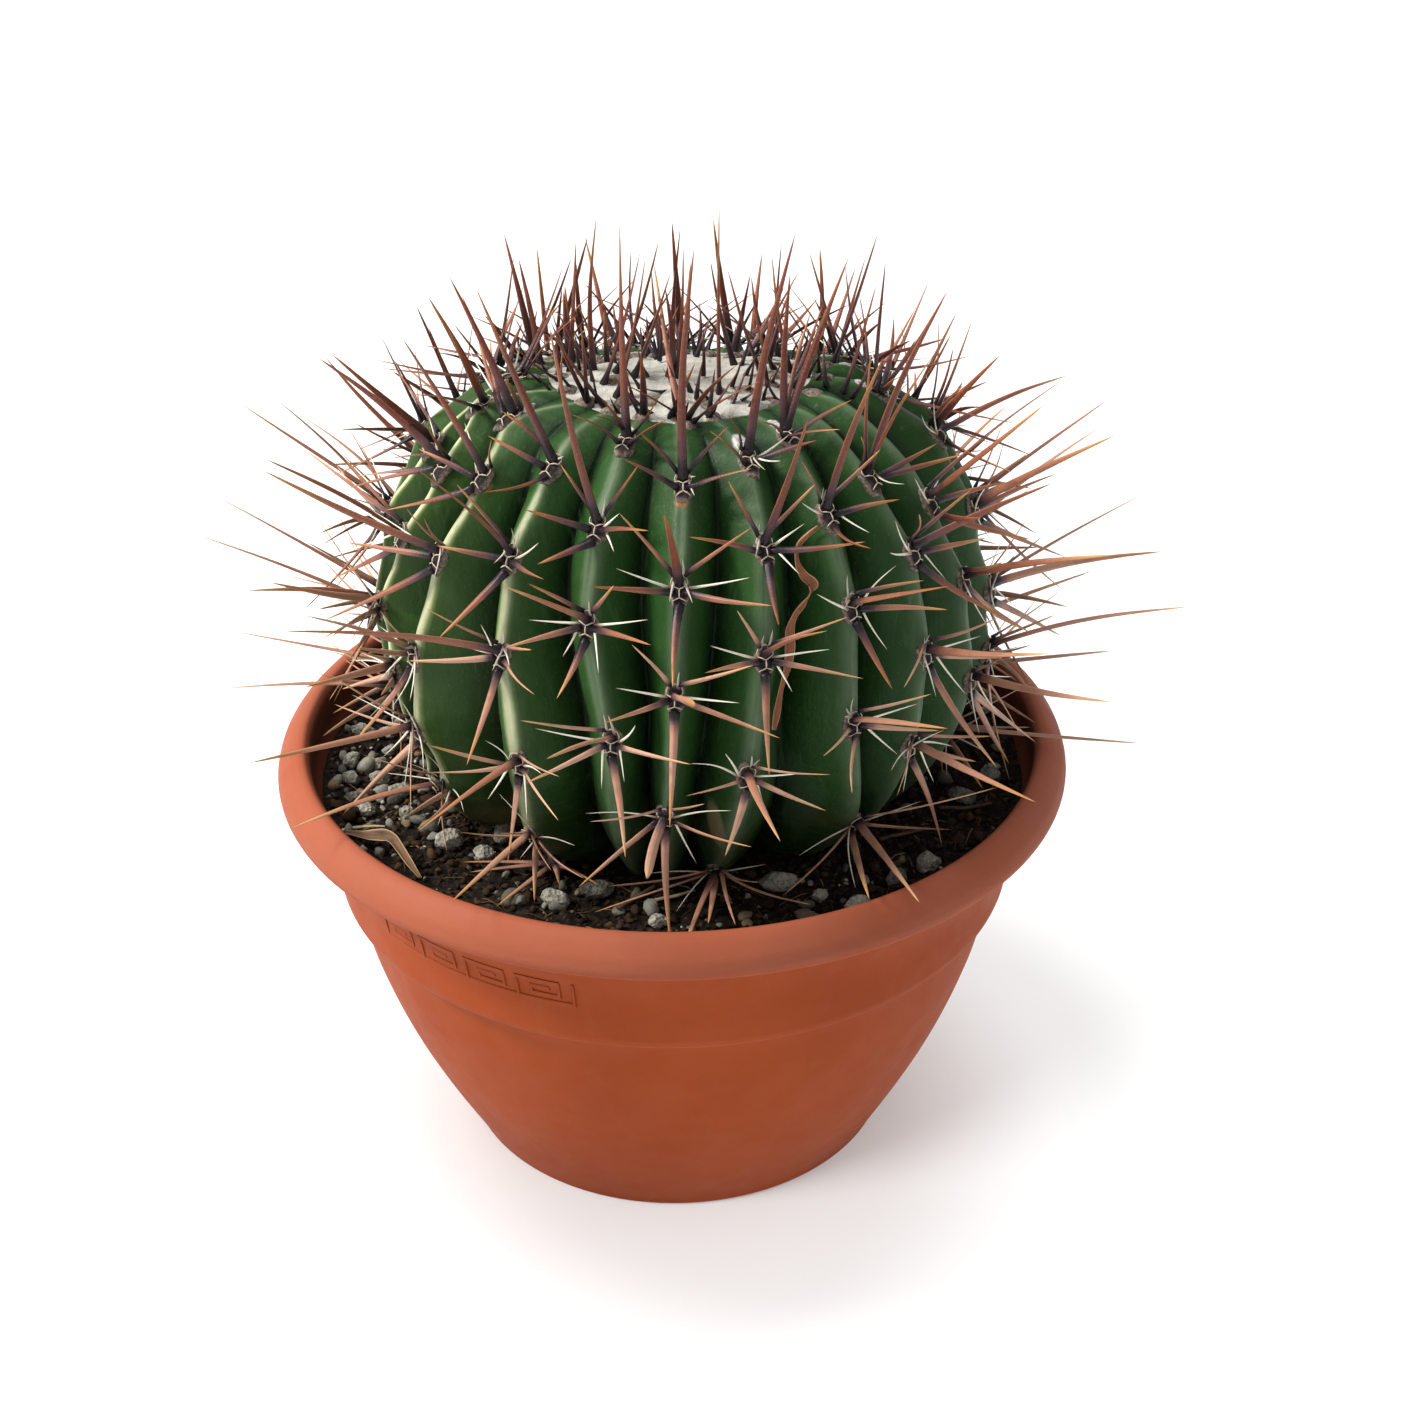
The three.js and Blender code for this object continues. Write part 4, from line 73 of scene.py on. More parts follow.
# Areoles, rib by rib from the crown down: on the crown or not, place (tenths of a millimetre), outward
# direction, direction up the rib, then seven numbers for each spine: kind, tip, base.
AREOLES = [
    [[1,[39,-243,3121],[-0.0,-0.04,1.0],[0.04,1.0,0.04],[7,62,-205,3644,32,-89,3120]],
     [1,[36,-329,3117],[-0.0,-0.04,1.0],[0.04,1.0,0.04],[8,-15,-322,3260,57,-305,3110]],
     [1,[33,-414,3112],[-0.0,-0.04,1.0],[0.04,1.0,0.04],[8,13,-485,3257,38,-414,3115,7,94,-517,3354,12,-413,3115]],
     [0,[66,-470,3113],[-0.0,0.04,1.0],[-0.04,1.0,-0.04],[1,-41,86,3504,45,-470,3118,1,306,-694,3362,86,-469,3118,0,221,-862,3487,64,-439,3116,3,-169,-530,3302,48,-414,3115]],
     [0,[48,-782,3021],[-0.0,-0.59,0.81],[0.0,0.81,0.59],[0,91,-806,3860,48,-761,3043,1,-144,-830,3150,27,-785,3025,1,269,-910,3148,68,-785,3025,3,-91,-763,3213,32,-740,3058,3,199,-757,3230,63,-740,3058,5,89,-794,3069,61,-750,3050,5,85,-844,3022,61,-750,3050]],
     [0,[30,-1006,2752],[-0.02,-0.9,0.43],[0.01,0.43,0.9],[0,-15,-1421,3240,30,-998,2781,3,-159,-1066,3071,15,-987,2804,3,263,-1099,3029,46,-988,2804,4,-173,-1053,2866,4,-1005,2766,4,256,-1079,2839,56,-1006,2766,1,-251,-1158,2855,9,-1011,2754,1,326,-1199,2799,50,-1012,2754,2,4,-1273,2545,29,-1028,2719,5,-2,-1072,2752,17,-993,2793,5,72,-1084,2753,43,-993,2793,5,41,-1008,2876,43,-993,2793]],
     [0,[10,-1106,2402],[-0.03,-0.99,0.16],[0.01,0.16,0.99],[3,-125,-1251,2693,-6,-1101,2457,3,263,-1273,2623,25,-1102,2457,4,-181,-1177,2492,-16,-1108,2415,4,220,-1205,2445,35,-1109,2415,6,76,-1338,2519,9,-1108,2419,1,-219,-1256,2408,-11,-1110,2402,1,349,-1327,2381,30,-1111,2402,2,-13,-1326,2043,9,-1117,2364,5,26,-1126,2520,22,-1104,2445]],
     [0,[-28,-1083,1924],[-0.07,-0.95,-0.32],[-0.02,-0.32,0.95],[3,-276,-1309,2061,-45,-1104,1975,4,-292,-1201,2025,-54,-1090,1934,3,103,-1343,2145,-14,-1106,1975,4,194,-1213,2034,-3,-1094,1934,1,-327,-1188,1719,-48,-1086,1922,1,257,-1352,1979,-7,-1089,1922,6,-92,-1261,1800,-28,-1093,1938,2,-17,-1219,1512,-27,-1076,1885,4,-83,-1107,1722,-54,-1090,1934,4,76,-1112,1760,-3,-1094,1934]]],
    [[1,[133,-318,3117],[0.01,-0.04,1.0],[-0.25,0.97,0.04],[8,124,-297,3279,99,-291,3111,8,89,-318,3206,154,-283,3110]],
     [1,[154,-401,3112],[0.01,-0.04,1.0],[-0.25,0.97,0.04],[8,239,-412,3280,134,-406,3115,8,162,-413,3290,139,-405,3115]],
     [0,[272,-682,3063],[0.16,-0.48,0.86],[-0.26,0.82,0.51],[0,418,-623,3840,265,-660,3083,1,491,-710,3155,293,-678,3068,1,132,-965,3308,253,-691,3068,4,404,-620,3136,294,-666,3074,4,366,-841,3142,294,-666,3074,5,320,-748,3067,274,-645,3090,3,193,-883,3327,244,-643,3096]],
     [0,[316,-914,2850],[0.23,-0.79,0.57],[-0.16,0.54,0.82],[0,435,-1179,3445,312,-902,2878,3,190,-985,3144,293,-892,2899,3,476,-909,3090,323,-884,2899,4,444,-893,2940,339,-904,2864,1,61,-1123,3011,297,-924,2853,1,637,-993,2920,336,-912,2853,2,348,-1200,2728,323,-939,2821,4,422,-1004,2812,339,-904,2864,5,280,-979,2859,298,-899,2889,5,296,-905,2950,298,-899,2889]],
     [0,[310,-1054,2514],[0.23,-0.95,0.22],[-0.05,0.22,0.98],[0,479,-1585,2914,309,-1052,2544,3,212,-1225,2799,293,-1051,2569,3,575,-1146,2726,323,-1043,2569,4,127,-1171,2641,285,-1062,2527,4,520,-1080,2571,335,-1050,2527,1,108,-1206,2560,291,-1063,2515,1,629,-1157,2502,331,-1054,2515,2,317,-1278,2211,313,-1067,2477,4,398,-1112,2431,335,-1050,2527,5,306,-1071,2624,296,-1053,2556,5,334,-1067,2639,321,-1047,2556]],
     [0,[250,-1105,2091],[0.18,-0.98,-0.11],[0.02,-0.11,0.99],[4,173,-1244,2276,226,-1116,2103,5,265,-1141,2204,264,-1112,2133,5,292,-1140,2189,264,-1112,2133,4,57,-1236,2235,226,-1116,2103,3,520,-1265,2202,267,-1113,2146,4,427,-1170,2150,276,-1107,2103,0,329,-1819,2303,251,-1113,2121,1,42,-1401,2213,231,-1114,2091,1,512,-1197,2018,271,-1107,2091,2,173,-1187,1836,250,-1106,2052,4,321,-1144,1942,276,-1107,2103]],
     [0,[145,-865,1560],[0.08,-0.73,-0.68],[0.07,-0.67,0.73],[1,-280,-1129,1574,125,-871,1557,1,474,-1113,1581,166,-867,1557,3,291,-1147,1700,165,-905,1598,4,319,-1035,1700,172,-875,1566,4,-92,-1066,1690,121,-880,1566,3,-224,-1141,1690,135,-908,1598,0,19,-1318,1519,148,-889,1579,4,5,-1098,1551,121,-880,1566,3,206,-1254,1600,165,-905,1598,2,112,-1314,1647,143,-843,1528,5,123,-948,1616,136,-899,1588]]],
    [[1,[179,-207,3121],[0.02,-0.03,1.0],[-0.51,0.86,0.04],[7,184,-170,3787,179,-239,3110]],
     [1,[223,-281,3117],[0.02,-0.03,1.0],[-0.51,0.86,0.04],[8,277,-284,3240,215,-323,3104,8,326,-320,3192,240,-286,3106]],
     [0,[409,-550,3094],[0.17,-0.26,0.95],[-0.51,0.8,0.31],[0,607,-387,3669,394,-528,3110,1,560,-809,3237,392,-563,3099,1,287,-817,3272,392,-563,3099,1,621,-468,3192,427,-541,3099,3,491,-267,3432,394,-499,3118,0,412,-418,3627,394,-528,3110]],
     [0,[533,-773,2904],[0.4,-0.65,0.65],[-0.34,0.55,0.76],[0,682,-926,3533,524,-760,2931,1,768,-749,2954,552,-766,2908,2,630,-1279,3039,548,-798,2879,4,662,-836,2875,552,-756,2918,4,432,-917,3028,508,-783,2918,3,430,-906,3172,503,-754,2950,3,704,-698,3114,529,-738,2950,5,513,-760,3006,509,-760,2940,5,522,-759,2997,509,-760,2940]],
     [0,[611,-899,2617],[0.5,-0.81,0.3],[-0.16,0.25,0.96],[0,856,-1498,3016,609,-895,2647,3,842,-899,2727,618,-881,2671,1,927,-884,2608,631,-892,2618,4,751,-861,2764,634,-886,2630,4,478,-1053,2762,590,-913,2630,5,576,-955,2652,596,-899,2659,2,736,-1040,2394,620,-912,2581,4,721,-966,2505,634,-886,2630,5,586,-927,2765,596,-899,2659]],
     [0,[617,-975,2214],[0.5,-0.87,0.03],[-0.02,0.03,1.0],[3,870,-1022,2363,631,-970,2270,4,833,-946,2282,641,-966,2227,0,861,-1577,2556,619,-979,2245,1,911,-962,2184,637,-969,2215,1,489,-1335,2315,601,-990,2215,2,573,-1506,2277,620,-981,2176,4,766,-975,2102,641,-966,2227,5,585,-1019,2312,607,-985,2257,5,579,-1034,2286,607,-985,2257,5,609,-1008,2344,607,-985,2257]],
     [0,[638,-774,1690],[0.5,-0.67,-0.55],[0.33,-0.44,0.84],[3,1113,-966,1955,672,-793,1734,4,870,-828,1817,666,-768,1698,1,1002,-683,1604,658,-765,1687,1,380,-1103,1618,625,-790,1687,0,823,-1347,1741,651,-791,1712,2,655,-1319,1741,629,-761,1655,4,434,-1016,1722,625,-799,1698,4,626,-1089,1633,625,-799,1698]]],
    [[1,[274,-196,3119],[0.03,-0.03,1.0],[-0.73,0.68,0.04],[8,267,-179,3248,227,-151,3114]],
     [1,[362,-278,3112],[0.03,-0.03,1.0],[-0.73,0.68,0.04],[8,322,-270,3234,389,-283,3099]],
     [0,[687,-593,2951],[0.51,-0.48,0.71],[-0.52,0.49,0.7],[0,843,-958,3562,674,-580,2975,0,916,-582,3620,674,-580,2975,1,917,-473,3031,703,-580,2954,1,1000,-498,2999,703,-580,2954,4,779,-776,3022,700,-570,2963,3,681,-479,3354,671,-557,2993,3,628,-808,3211,650,-579,2993]],
     [0,[834,-668,2707],[0.7,-0.61,0.38],[-0.28,0.25,0.93],[0,1276,-729,2996,829,-664,2737,3,1027,-581,2908,832,-645,2760,3,817,-899,2972,811,-669,2760,4,750,-802,2901,817,-687,2721,4,729,-871,2817,817,-687,2721,1,1092,-552,2709,851,-655,2709,2,1138,-666,2464,848,-680,2673,4,938,-692,2624,851,-648,2721]],
     [0,[880,-746,2355],[0.73,-0.67,0.13],[-0.1,0.09,0.99],[3,1136,-681,2472,889,-733,2411,4,1077,-638,2372,900,-730,2368,5,884,-777,2457,871,-755,2398,5,864,-790,2452,871,-755,2398,0,1206,-1350,2692,881,-747,2385,1,1156,-638,2285,898,-735,2356,3,771,-1070,2416,868,-756,2411,2,1134,-815,1943,888,-754,2318,4,1019,-745,2203,900,-730,2368,4,907,-836,2245,866,-768,2368,5,857,-849,2354,871,-755,2398]],
     [0,[832,-793,2016],[0.68,-0.7,-0.22],[0.15,-0.16,0.98],[4,926,-947,2178,819,-816,2028,3,1118,-748,2032,855,-794,2070,4,992,-694,1960,856,-780,2028,4,742,-1025,2066,819,-816,2028,0,1179,-1426,2183,840,-801,2044,1,1080,-665,1878,850,-782,2015,2,966,-727,1562,830,-790,1977,3,757,-1108,2016,833,-815,2070,4,785,-1036,1989,819,-816,2028,4,922,-753,1849,856,-780,2028]]],
    [[1,[355,-139,3117],[0.04,-0.02,1.0],[-0.89,0.45,0.04],[8,322,-115,3329,352,-161,3107]],
     [1,[431,-178,3112],[0.04,-0.02,1.0],[-0.89,0.45,0.04],[7,549,-157,3330,430,-180,3115,7,541,-99,3389,428,-183,3115]],
     [1,[508,-216,3115],[0.0,-0.0,1.0],[-0.89,0.45,0.0],[7,713,-249,3520,615,-205,3106,7,695,-291,3260,640,-240,3106]],
     [0,[904,-485,2809],[0.75,-0.44,0.5],[-0.43,0.25,0.87],[0,1207,-913,3362,895,-480,2838,3,1079,-337,2979,892,-460,2860,4,949,-414,2900,890,-507,2823,4,825,-646,2984,890,-507,2823,1,1179,-307,2804,918,-470,2812,2,1021,-895,2951,924,-497,2778,2,1274,-368,2608,924,-497,2778]],
     [0,[1035,-477,2499],[0.88,-0.44,0.21],[-0.19,0.09,0.98],[0,1457,-992,2860,1034,-477,2530,3,1120,-755,2717,1022,-488,2555,4,1172,-322,2478,1048,-455,2513,5,1013,-538,2582,1026,-487,2542,2,1300,-302,2201,1046,-483,2463,1,1159,-451,2340,1030,-498,2500,4,1119,-557,2351,1026,-501,2513]],
     [0,[1071,-486,2104],[0.89,-0.44,-0.1],[0.09,-0.04,1.0],[3,1148,-727,2337,1073,-504,2159,4,1244,-335,2035,1088,-465,2116,0,1482,-999,2308,1078,-489,2133,2,1249,-334,1664,1072,-486,2065,2,1354,-268,1716,1072,-486,2065,3,1255,-527,1898,1087,-476,2159,4,1079,-717,2024,1065,-511,2116,4,1183,-417,1929,1088,-465,2116]]],
    [[1,[385,-47,3117],[0.04,-0.01,1.0],[-0.98,0.18,0.04],[7,308,-43,3383,383,-4,3108,7,214,-68,3515,332,-39,3112]],
     [1,[470,-62,3112],[0.04,-0.01,1.0],[-0.98,0.18,0.04],[7,365,-75,3571,439,-19,3107,8,519,-73,3172,490,-68,3100]],
     [1,[554,-77,3115],[0.0,-0.0,1.0],[-0.98,0.18,0.0],[7,954,-244,3490,744,-209,3106,8,526,-53,3302,539,-16,3106,8,550,-60,3253,556,-150,3106,7,749,-180,3225,723,-200,3106]],
     [0,[751,-117,3072],[0.46,-0.09,0.89],[-0.87,0.16,0.47],[0,757,-78,3538,728,-113,3092,1,818,210,3263,757,-97,3077,1,761,-498,3283,750,-138,3077,3,684,105,3368,709,-93,3104,3,629,-281,3329,703,-124,3104,2,1227,-218,2985,787,-124,3058,4,719,85,3214,747,-90,3083,4,667,-305,3185,738,-141,3083,4,866,27,3096,747,-90,3083,4,805,-280,3111,738,-141,3083]],
     [0,[959,-127,2908],[0.74,-0.12,0.66],[-0.65,0.1,0.75],[0,1124,-406,3322,943,-125,2934,1,1469,282,3019,966,-107,2911,3,1102,97,3031,929,-107,2953,3,1009,-357,3192,924,-137,2953,4,1098,41,2879,958,-101,2921,4,876,-311,3066,950,-152,2921,4,920,-281,3104,950,-152,2921,2,1168,-615,2979,987,-132,2882]],
     [0,[1091,-202,2640],[0.93,-0.19,0.32],[-0.31,0.06,0.95],[0,1509,-555,3090,1086,-201,2670,1,1430,100,2655,1100,-182,2642,4,1126,-338,2824,1086,-227,2654,3,1218,-38,2677,1075,-214,2695,2,1467,34,2334,1107,-205,2605,4,1123,-445,2643,1086,-227,2654]],
     [0,[1163,-187,2313],[0.98,-0.18,0.12],[-0.12,0.02,0.99],[0,1833,55,2341,1165,-188,2343,4,1178,-356,2508,1162,-213,2326,2,1481,94,1969,1173,-189,2275,4,1291,-70,2173,1171,-163,2326,4,1185,-369,2280,1162,-213,2326]],
     [0,[1163,-185,2059],[0.97,-0.17,-0.15],[0.15,-0.03,0.99],[0,1862,-360,2328,1173,-186,2087,1,1382,91,2138,1172,-165,2058,1,1274,-576,2110,1165,-206,2058,3,1451,-53,2246,1180,-172,2113,3,1375,-378,2312,1174,-202,2113,2,1263,-297,1558,1162,-185,2020,4,1291,25,2139,1175,-161,2071,4,1250,-392,2193,1166,-211,2071,4,1243,-59,1952,1175,-161,2071,4,1187,-318,1996,1166,-211,2071]],
     [0,[1025,-153,1700],[0.83,-0.14,-0.54],[0.53,-0.09,0.84],[0,1746,-296,1721,1045,-156,1722,1,1230,162,1604,1033,-133,1697,1,1128,-518,1674,1026,-174,1697,3,1373,9,1821,1062,-144,1744,3,1320,-326,1816,1056,-174,1744,2,1028,-132,1487,1009,-150,1664,4,1168,38,1739,1041,-129,1708,4,1160,-392,1747,1032,-180,1708,4,1067,-21,1635,1041,-129,1708,4,1026,-279,1586,1032,-180,1708]]],
    [[1,[389,51,3117],[0.04,0.0,1.0],[-0.99,-0.11,0.04],[7,446,30,3444,354,49,3111,8,402,40,3317,355,42,3111]],
     [1,[474,60,3112],[0.04,0.0,1.0],[-0.99,-0.11,0.04],[8,507,60,3261,475,51,3115,8,536,40,3267,472,76,3115]],
     [1,[559,69,3115],[0.0,0.0,1.0],[-0.99,-0.11,0.0],[7,738,50,3603,595,101,3106]],
     [0,[719,93,3092],[0.32,0.04,0.95],[-0.94,-0.11,0.32],[0,633,126,3475,693,90,3108,1,676,481,3298,718,114,3097,1,842,-190,3291,723,73,3097,3,528,213,3342,668,103,3117,3,581,-96,3332,671,72,3117,2,1110,200,3117,756,98,3083,4,640,298,3185,706,118,3102,4,638,-97,3204,712,67,3102,4,764,260,3125,706,118,3102,4,854,-23,3106,712,67,3102]],
     [0,[987,121,2879],[0.8,0.09,0.6],[-0.59,-0.07,0.8],[0,1089,109,3271,973,119,2906,1,1105,435,2972,989,142,2882,1,1097,-202,3045,993,101,2882,3,987,289,3245,956,133,2926,3,1001,-97,3223,959,102,2926,2,1340,188,2702,1014,124,2852,4,950,293,3028,980,146,2892,4,1064,5,2877,986,95,2892]],
     [0,[1139,127,2526],[0.97,0.1,0.23],[-0.23,-0.02,0.97],[0,1618,224,2931,1137,127,2556,1,1282,522,2637,1142,148,2527,1,1317,-186,2542,1146,107,2527,3,1245,290,2824,1130,141,2582,3,1298,-23,2787,1133,111,2582,2,1499,179,2113,1152,128,2490,4,1201,-51,2667,1143,101,2540,4,1180,255,2490,1138,153,2540,4,1215,5,2499,1143,101,2540]],
     [0,[1184,123,2156],[1.0,0.1,-0.03],[0.03,0.0,1.0],[0,1791,253,2498,1190,124,2186,1,1339,441,2142,1187,144,2156,1,1444,-225,2262,1191,103,2156,3,1359,303,2370,1189,139,2212,3,1372,6,2434,1192,109,2212,2,1389,173,1711,1188,124,2118,4,1282,345,2281,1187,149,2169,4,1230,273,2066,1187,149,2169,4,1245,-1,2083,1192,98,2169]],
     [0,[1083,146,1791],[0.88,0.11,-0.45],[0.45,0.06,0.89],[0,1709,226,1828,1101,149,1815,1,1175,499,1712,1085,167,1788,1,1365,-160,1736,1090,126,1788,3,1345,359,1890,1111,165,1838,3,1365,54,1954,1115,135,1838,2,1059,180,1487,1070,145,1754,4,1194,390,1843,1090,173,1800,4,1262,-59,1846,1097,122,1800,4,1077,298,1698,1090,173,1800,4,1150,-3,1697,1097,122,1800]]],
    [[1,[333,132,3119],[0.04,0.02,1.0],[-0.92,-0.38,0.04],[7,159,169,3496,240,77,3116]],
     [1,[523,211,3115],[0.0,0.0,1.0],[-0.92,-0.38,0.0],[7,710,180,3503,610,166,3106,8,540,215,3154,510,188,3106]],
     [0,[652,276,3098],[0.27,0.12,0.95],[-0.88,-0.38,0.3],[0,511,233,3516,627,265,3112,1,566,593,3238,645,295,3103,1,762,87,3270,661,258,3103,3,446,386,3371,598,270,3120,3,522,17,3371,610,241,3120,2,1036,442,3148,687,291,3092,4,500,445,3229,631,295,3107,4,658,62,3202,652,248,3107,4,669,419,3128,631,295,3107,4,789,196,3151,652,248,3107]],
     [0,[928,375,2871],[0.75,0.31,0.58],[-0.54,-0.22,0.81],[0,1067,398,3258,915,370,2898,1,952,708,2974,924,396,2874,1,1152,68,3042,940,358,2874,3,878,571,3195,895,379,2919,3,1030,237,3194,907,350,2919,2,1251,554,2612,953,386,2843,4,1044,160,2980,935,350,2884,4,962,507,2843,915,398,2884]],
     [0,[1070,414,2520],[0.91,0.36,0.23],[-0.21,-0.08,0.97],[0,1523,646,2942,1069,414,2550,1,1113,808,2606,1067,435,2521,1,1357,213,2542,1082,397,2521,3,1129,635,2841,1058,426,2575,3,1228,309,2803,1069,397,2575,2,1343,493,2191,1083,419,2483,4,1060,604,2687,1063,439,2534,4,1240,239,2656,1082,391,2534,4,1072,576,2489,1063,439,2534,4,1174,333,2434,1082,391,2534]],
     [0,[1096,468,2171],[0.92,0.4,-0.01],[0.01,0.0,1.0],[0,1667,636,2660,1101,470,2201,1,1127,835,2176,1092,488,2171,1,1405,251,2267,1109,451,2171,3,1187,671,2432,1095,484,2227,3,1379,425,2434,1107,456,2227,2,1291,483,1766,1100,469,2133,4,1081,685,2311,1090,493,2184,4,1242,336,2296,1111,446,2184,4,1112,606,2099,1090,493,2184,4,1209,393,2083,1111,446,2184]],
     [0,[1038,402,1830],[0.85,0.33,-0.42],[0.39,0.15,0.91],[0,1684,600,1988,1054,408,1856,1,1100,793,1800,1034,422,1828,1,1336,160,1735,1049,384,1828,3,1275,635,2030,1058,426,1879,3,1391,370,2000,1069,397,1879,2,1006,410,1512,1027,397,1793,4,1060,619,1877,1038,429,1840,4,1212,254,1912,1056,381,1840,4,998,527,1729,1038,429,1840,4,1117,295,1724,1056,381,1840]]],
    [[1,[315,229,3117],[0.03,0.03,1.0],[-0.78,-0.63,0.04],[7,477,183,3453,286,210,3111,7,427,286,3377,280,217,3111]],
     [1,[382,283,3112],[0.03,0.03,1.0],[-0.78,-0.63,0.04],[7,417,310,3544,404,229,3104,8,379,296,3210,385,305,3100,8,303,272,3199,359,299,3103]],
     [1,[448,337,3115],[0.0,0.0,1.0],[-0.78,-0.63,0.0],[8,501,313,3127,488,313,3106]],
     [0,[587,466,3079],[0.32,0.27,0.91],[-0.69,-0.58,0.42],[0,565,485,3505,568,451,3098,1,441,837,3267,575,484,3084,1,801,311,3314,602,452,3084,3,378,534,3360,541,448,3110,3,612,272,3356,561,425,3110,2,1024,804,3013,615,490,3065,4,415,635,3204,563,481,3090,4,714,304,3200,597,441,3090,4,599,632,3104,563,481,3090,4,722,434,3111,597,441,3090]],
     [0,[804,646,2819],[0.66,0.55,0.52],[-0.4,-0.33,0.86],[0,1002,782,3337,796,639,2847,1,716,1001,2880,794,665,2822,1,1137,478,2896,821,633,2822,3,713,765,3149,776,643,2870,3,938,540,3137,796,619,2870,2,1028,928,2547,823,662,2788,4,703,843,2936,786,665,2833,4,921,487,2989,819,625,2833]],
     [0,[902,718,2478],[0.76,0.62,0.19],[-0.15,-0.12,0.98],[0,1290,1034,2926,902,717,2508,1,810,1116,2531,893,737,2479,1,1234,594,2554,919,705,2479,3,890,964,2799,888,726,2534,3,1096,699,2788,908,702,2534,2,1090,953,2072,912,726,2441,4,797,962,2566,888,739,2492,4,1075,582,2649,921,700,2492,4,874,876,2427,888,739,2492,4,1039,661,2397,921,700,2492]],
     [0,[926,742,2128],[0.77,0.64,-0.07],[0.05,0.04,1.0],[0,1393,1226,2474,931,746,2157,1,855,1143,2234,917,761,2127,1,1295,611,2101,943,729,2127,3,974,1031,2331,923,759,2183,3,1194,758,2328,942,735,2183,2,1004,862,1697,928,744,2089,4,885,958,2212,914,765,2140,4,1167,637,2210,947,726,2140,4,890,855,2031,914,765,2140]],
     [0,[856,649,1761],[0.69,0.54,-0.48],[0.38,0.3,0.88],[0,1413,1091,1842,871,660,1785,1,791,994,1736,847,668,1759,1,1180,495,1668,873,635,1759,3,996,976,1932,872,680,1807,3,1216,702,1870,891,656,1807,2,851,668,1488,845,640,1725,4,1060,584,1846,881,635,1770,4,803,749,1661,849,676,1770,4,984,564,1678,881,635,1770]]],
    [[1,[243,296,3117],[0.02,0.03,1.0],[-0.57,-0.82,0.04],[7,307,318,3428,246,303,3107]],
     [1,[292,366,3112],[0.02,0.03,1.0],[-0.57,-0.82,0.04],[8,277,322,3079,277,344,3106]],
     [0,[388,519,3110],[0.1,0.15,0.98],[-0.55,-0.82,0.18],[0,313,436,3402,372,495,3119,1,137,722,3265,372,531,3115,1,658,237,3312,406,508,3115,3,162,389,3334,345,482,3123,3,447,236,3315,371,465,3123,2,596,984,3248,410,551,3109,4,162,513,3244,360,523,3117,4,518,308,3207,403,495,3117,4,303,643,3154,360,523,3117,4,559,478,3169,403,495,3117]],
     [0,[582,768,2905],[0.44,0.62,0.65],[-0.38,-0.53,0.76],[0,730,900,3380,573,756,2931,1,356,1019,3091,567,784,2908,1,911,676,3091,601,760,2908,3,428,817,3215,551,751,2951,3,747,691,3213,576,733,2951,2,893,1083,2680,599,792,2879,4,397,908,3056,558,780,2918,4,778,668,3021,600,750,2918,4,536,907,2895,558,780,2918,4,731,794,2892,600,750,2918]],
     [0,[661,912,2563],[0.55,0.8,0.25],[-0.14,-0.21,0.97],[0,1001,1227,3169,660,910,2593,1,492,1239,2613,647,928,2564,1,1062,894,2665,681,905,2564,3,585,1108,2890,643,914,2618,3,876,937,2827,669,896,2618,2,782,1248,2202,669,924,2527,4,488,1087,2700,641,928,2577,4,837,830,2708,683,899,2577,4,596,1057,2530,641,928,2577,4,787,895,2516,683,899,2577]],
     [0,[679,966,2184],[0.55,0.83,0.01],[-0.0,-0.01,1.0],[0,1014,1450,2541,682,970,2214,1,547,1313,2259,665,981,2184,1,1098,981,2305,699,958,2184,3,678,1236,2437,669,978,2239,3,884,1064,2428,695,961,2239,2,898,1157,1704,682,970,2145,4,569,1118,2300,661,984,2196,4,899,925,2339,704,955,2196,4,622,1096,2113,661,984,2196]],
     [0,[650,875,1804],[0.51,0.74,-0.44],[0.25,0.36,0.9],[0,1127,1466,1851,660,890,1829,1,447,1203,1702,635,891,1802,1,1091,874,1791,669,867,1802,3,669,1238,1952,654,908,1852,3,999,971,1921,679,890,1852,2,579,845,1486,642,865,1768,4,550,1076,1870,634,898,1814,4,891,843,1834,676,869,1814,4,557,979,1736,634,898,1814,4,756,802,1687,676,869,1814]]],
    [[1,[156,339,3117],[0.01,0.04,1.0],[-0.32,-0.95,0.04],[8,115,333,3154,149,369,3105]],
     [0,[254,598,3108],[0.07,0.2,0.98],[-0.32,-0.92,0.22],[0,175,408,3623,244,571,3118,1,-30,710,3286,235,606,3113,1,532,559,3278,273,592,3113,3,41,461,3368,221,552,3123,3,326,376,3302,250,542,3123,2,438,1051,3194,267,634,3106,4,47,615,3188,226,595,3115,4,147,716,3167,226,595,3115,4,421,630,3144,274,578,3115]],
     [0,[332,905,2892],[0.24,0.75,0.62],[-0.19,-0.59,0.78],[0,379,1110,3418,328,891,2918,1,-6,1087,3086,314,915,2895,1,638,914,3070,353,903,2895,3,192,964,3211,308,880,2938,3,489,870,3228,338,871,2938,2,536,1292,2648,341,932,2865,4,493,824,3036,356,893,2905,4,248,1054,2868,307,909,2905,4,495,949,2904,356,893,2905]],
     [0,[371,1050,2572],[0.29,0.92,0.26],[-0.08,-0.24,0.97],[0,573,1420,3068,370,1048,2602,1,82,1356,2688,353,1061,2573,1,726,1095,2644,392,1049,2573,3,218,1262,2846,354,1046,2627,3,595,1139,2888,383,1037,2627,2,375,1282,2248,376,1064,2536,4,201,1144,2714,347,1059,2585,4,587,1059,2659,396,1044,2585,4,287,1151,2493,347,1059,2585,4,498,1095,2525,396,1044,2585]],
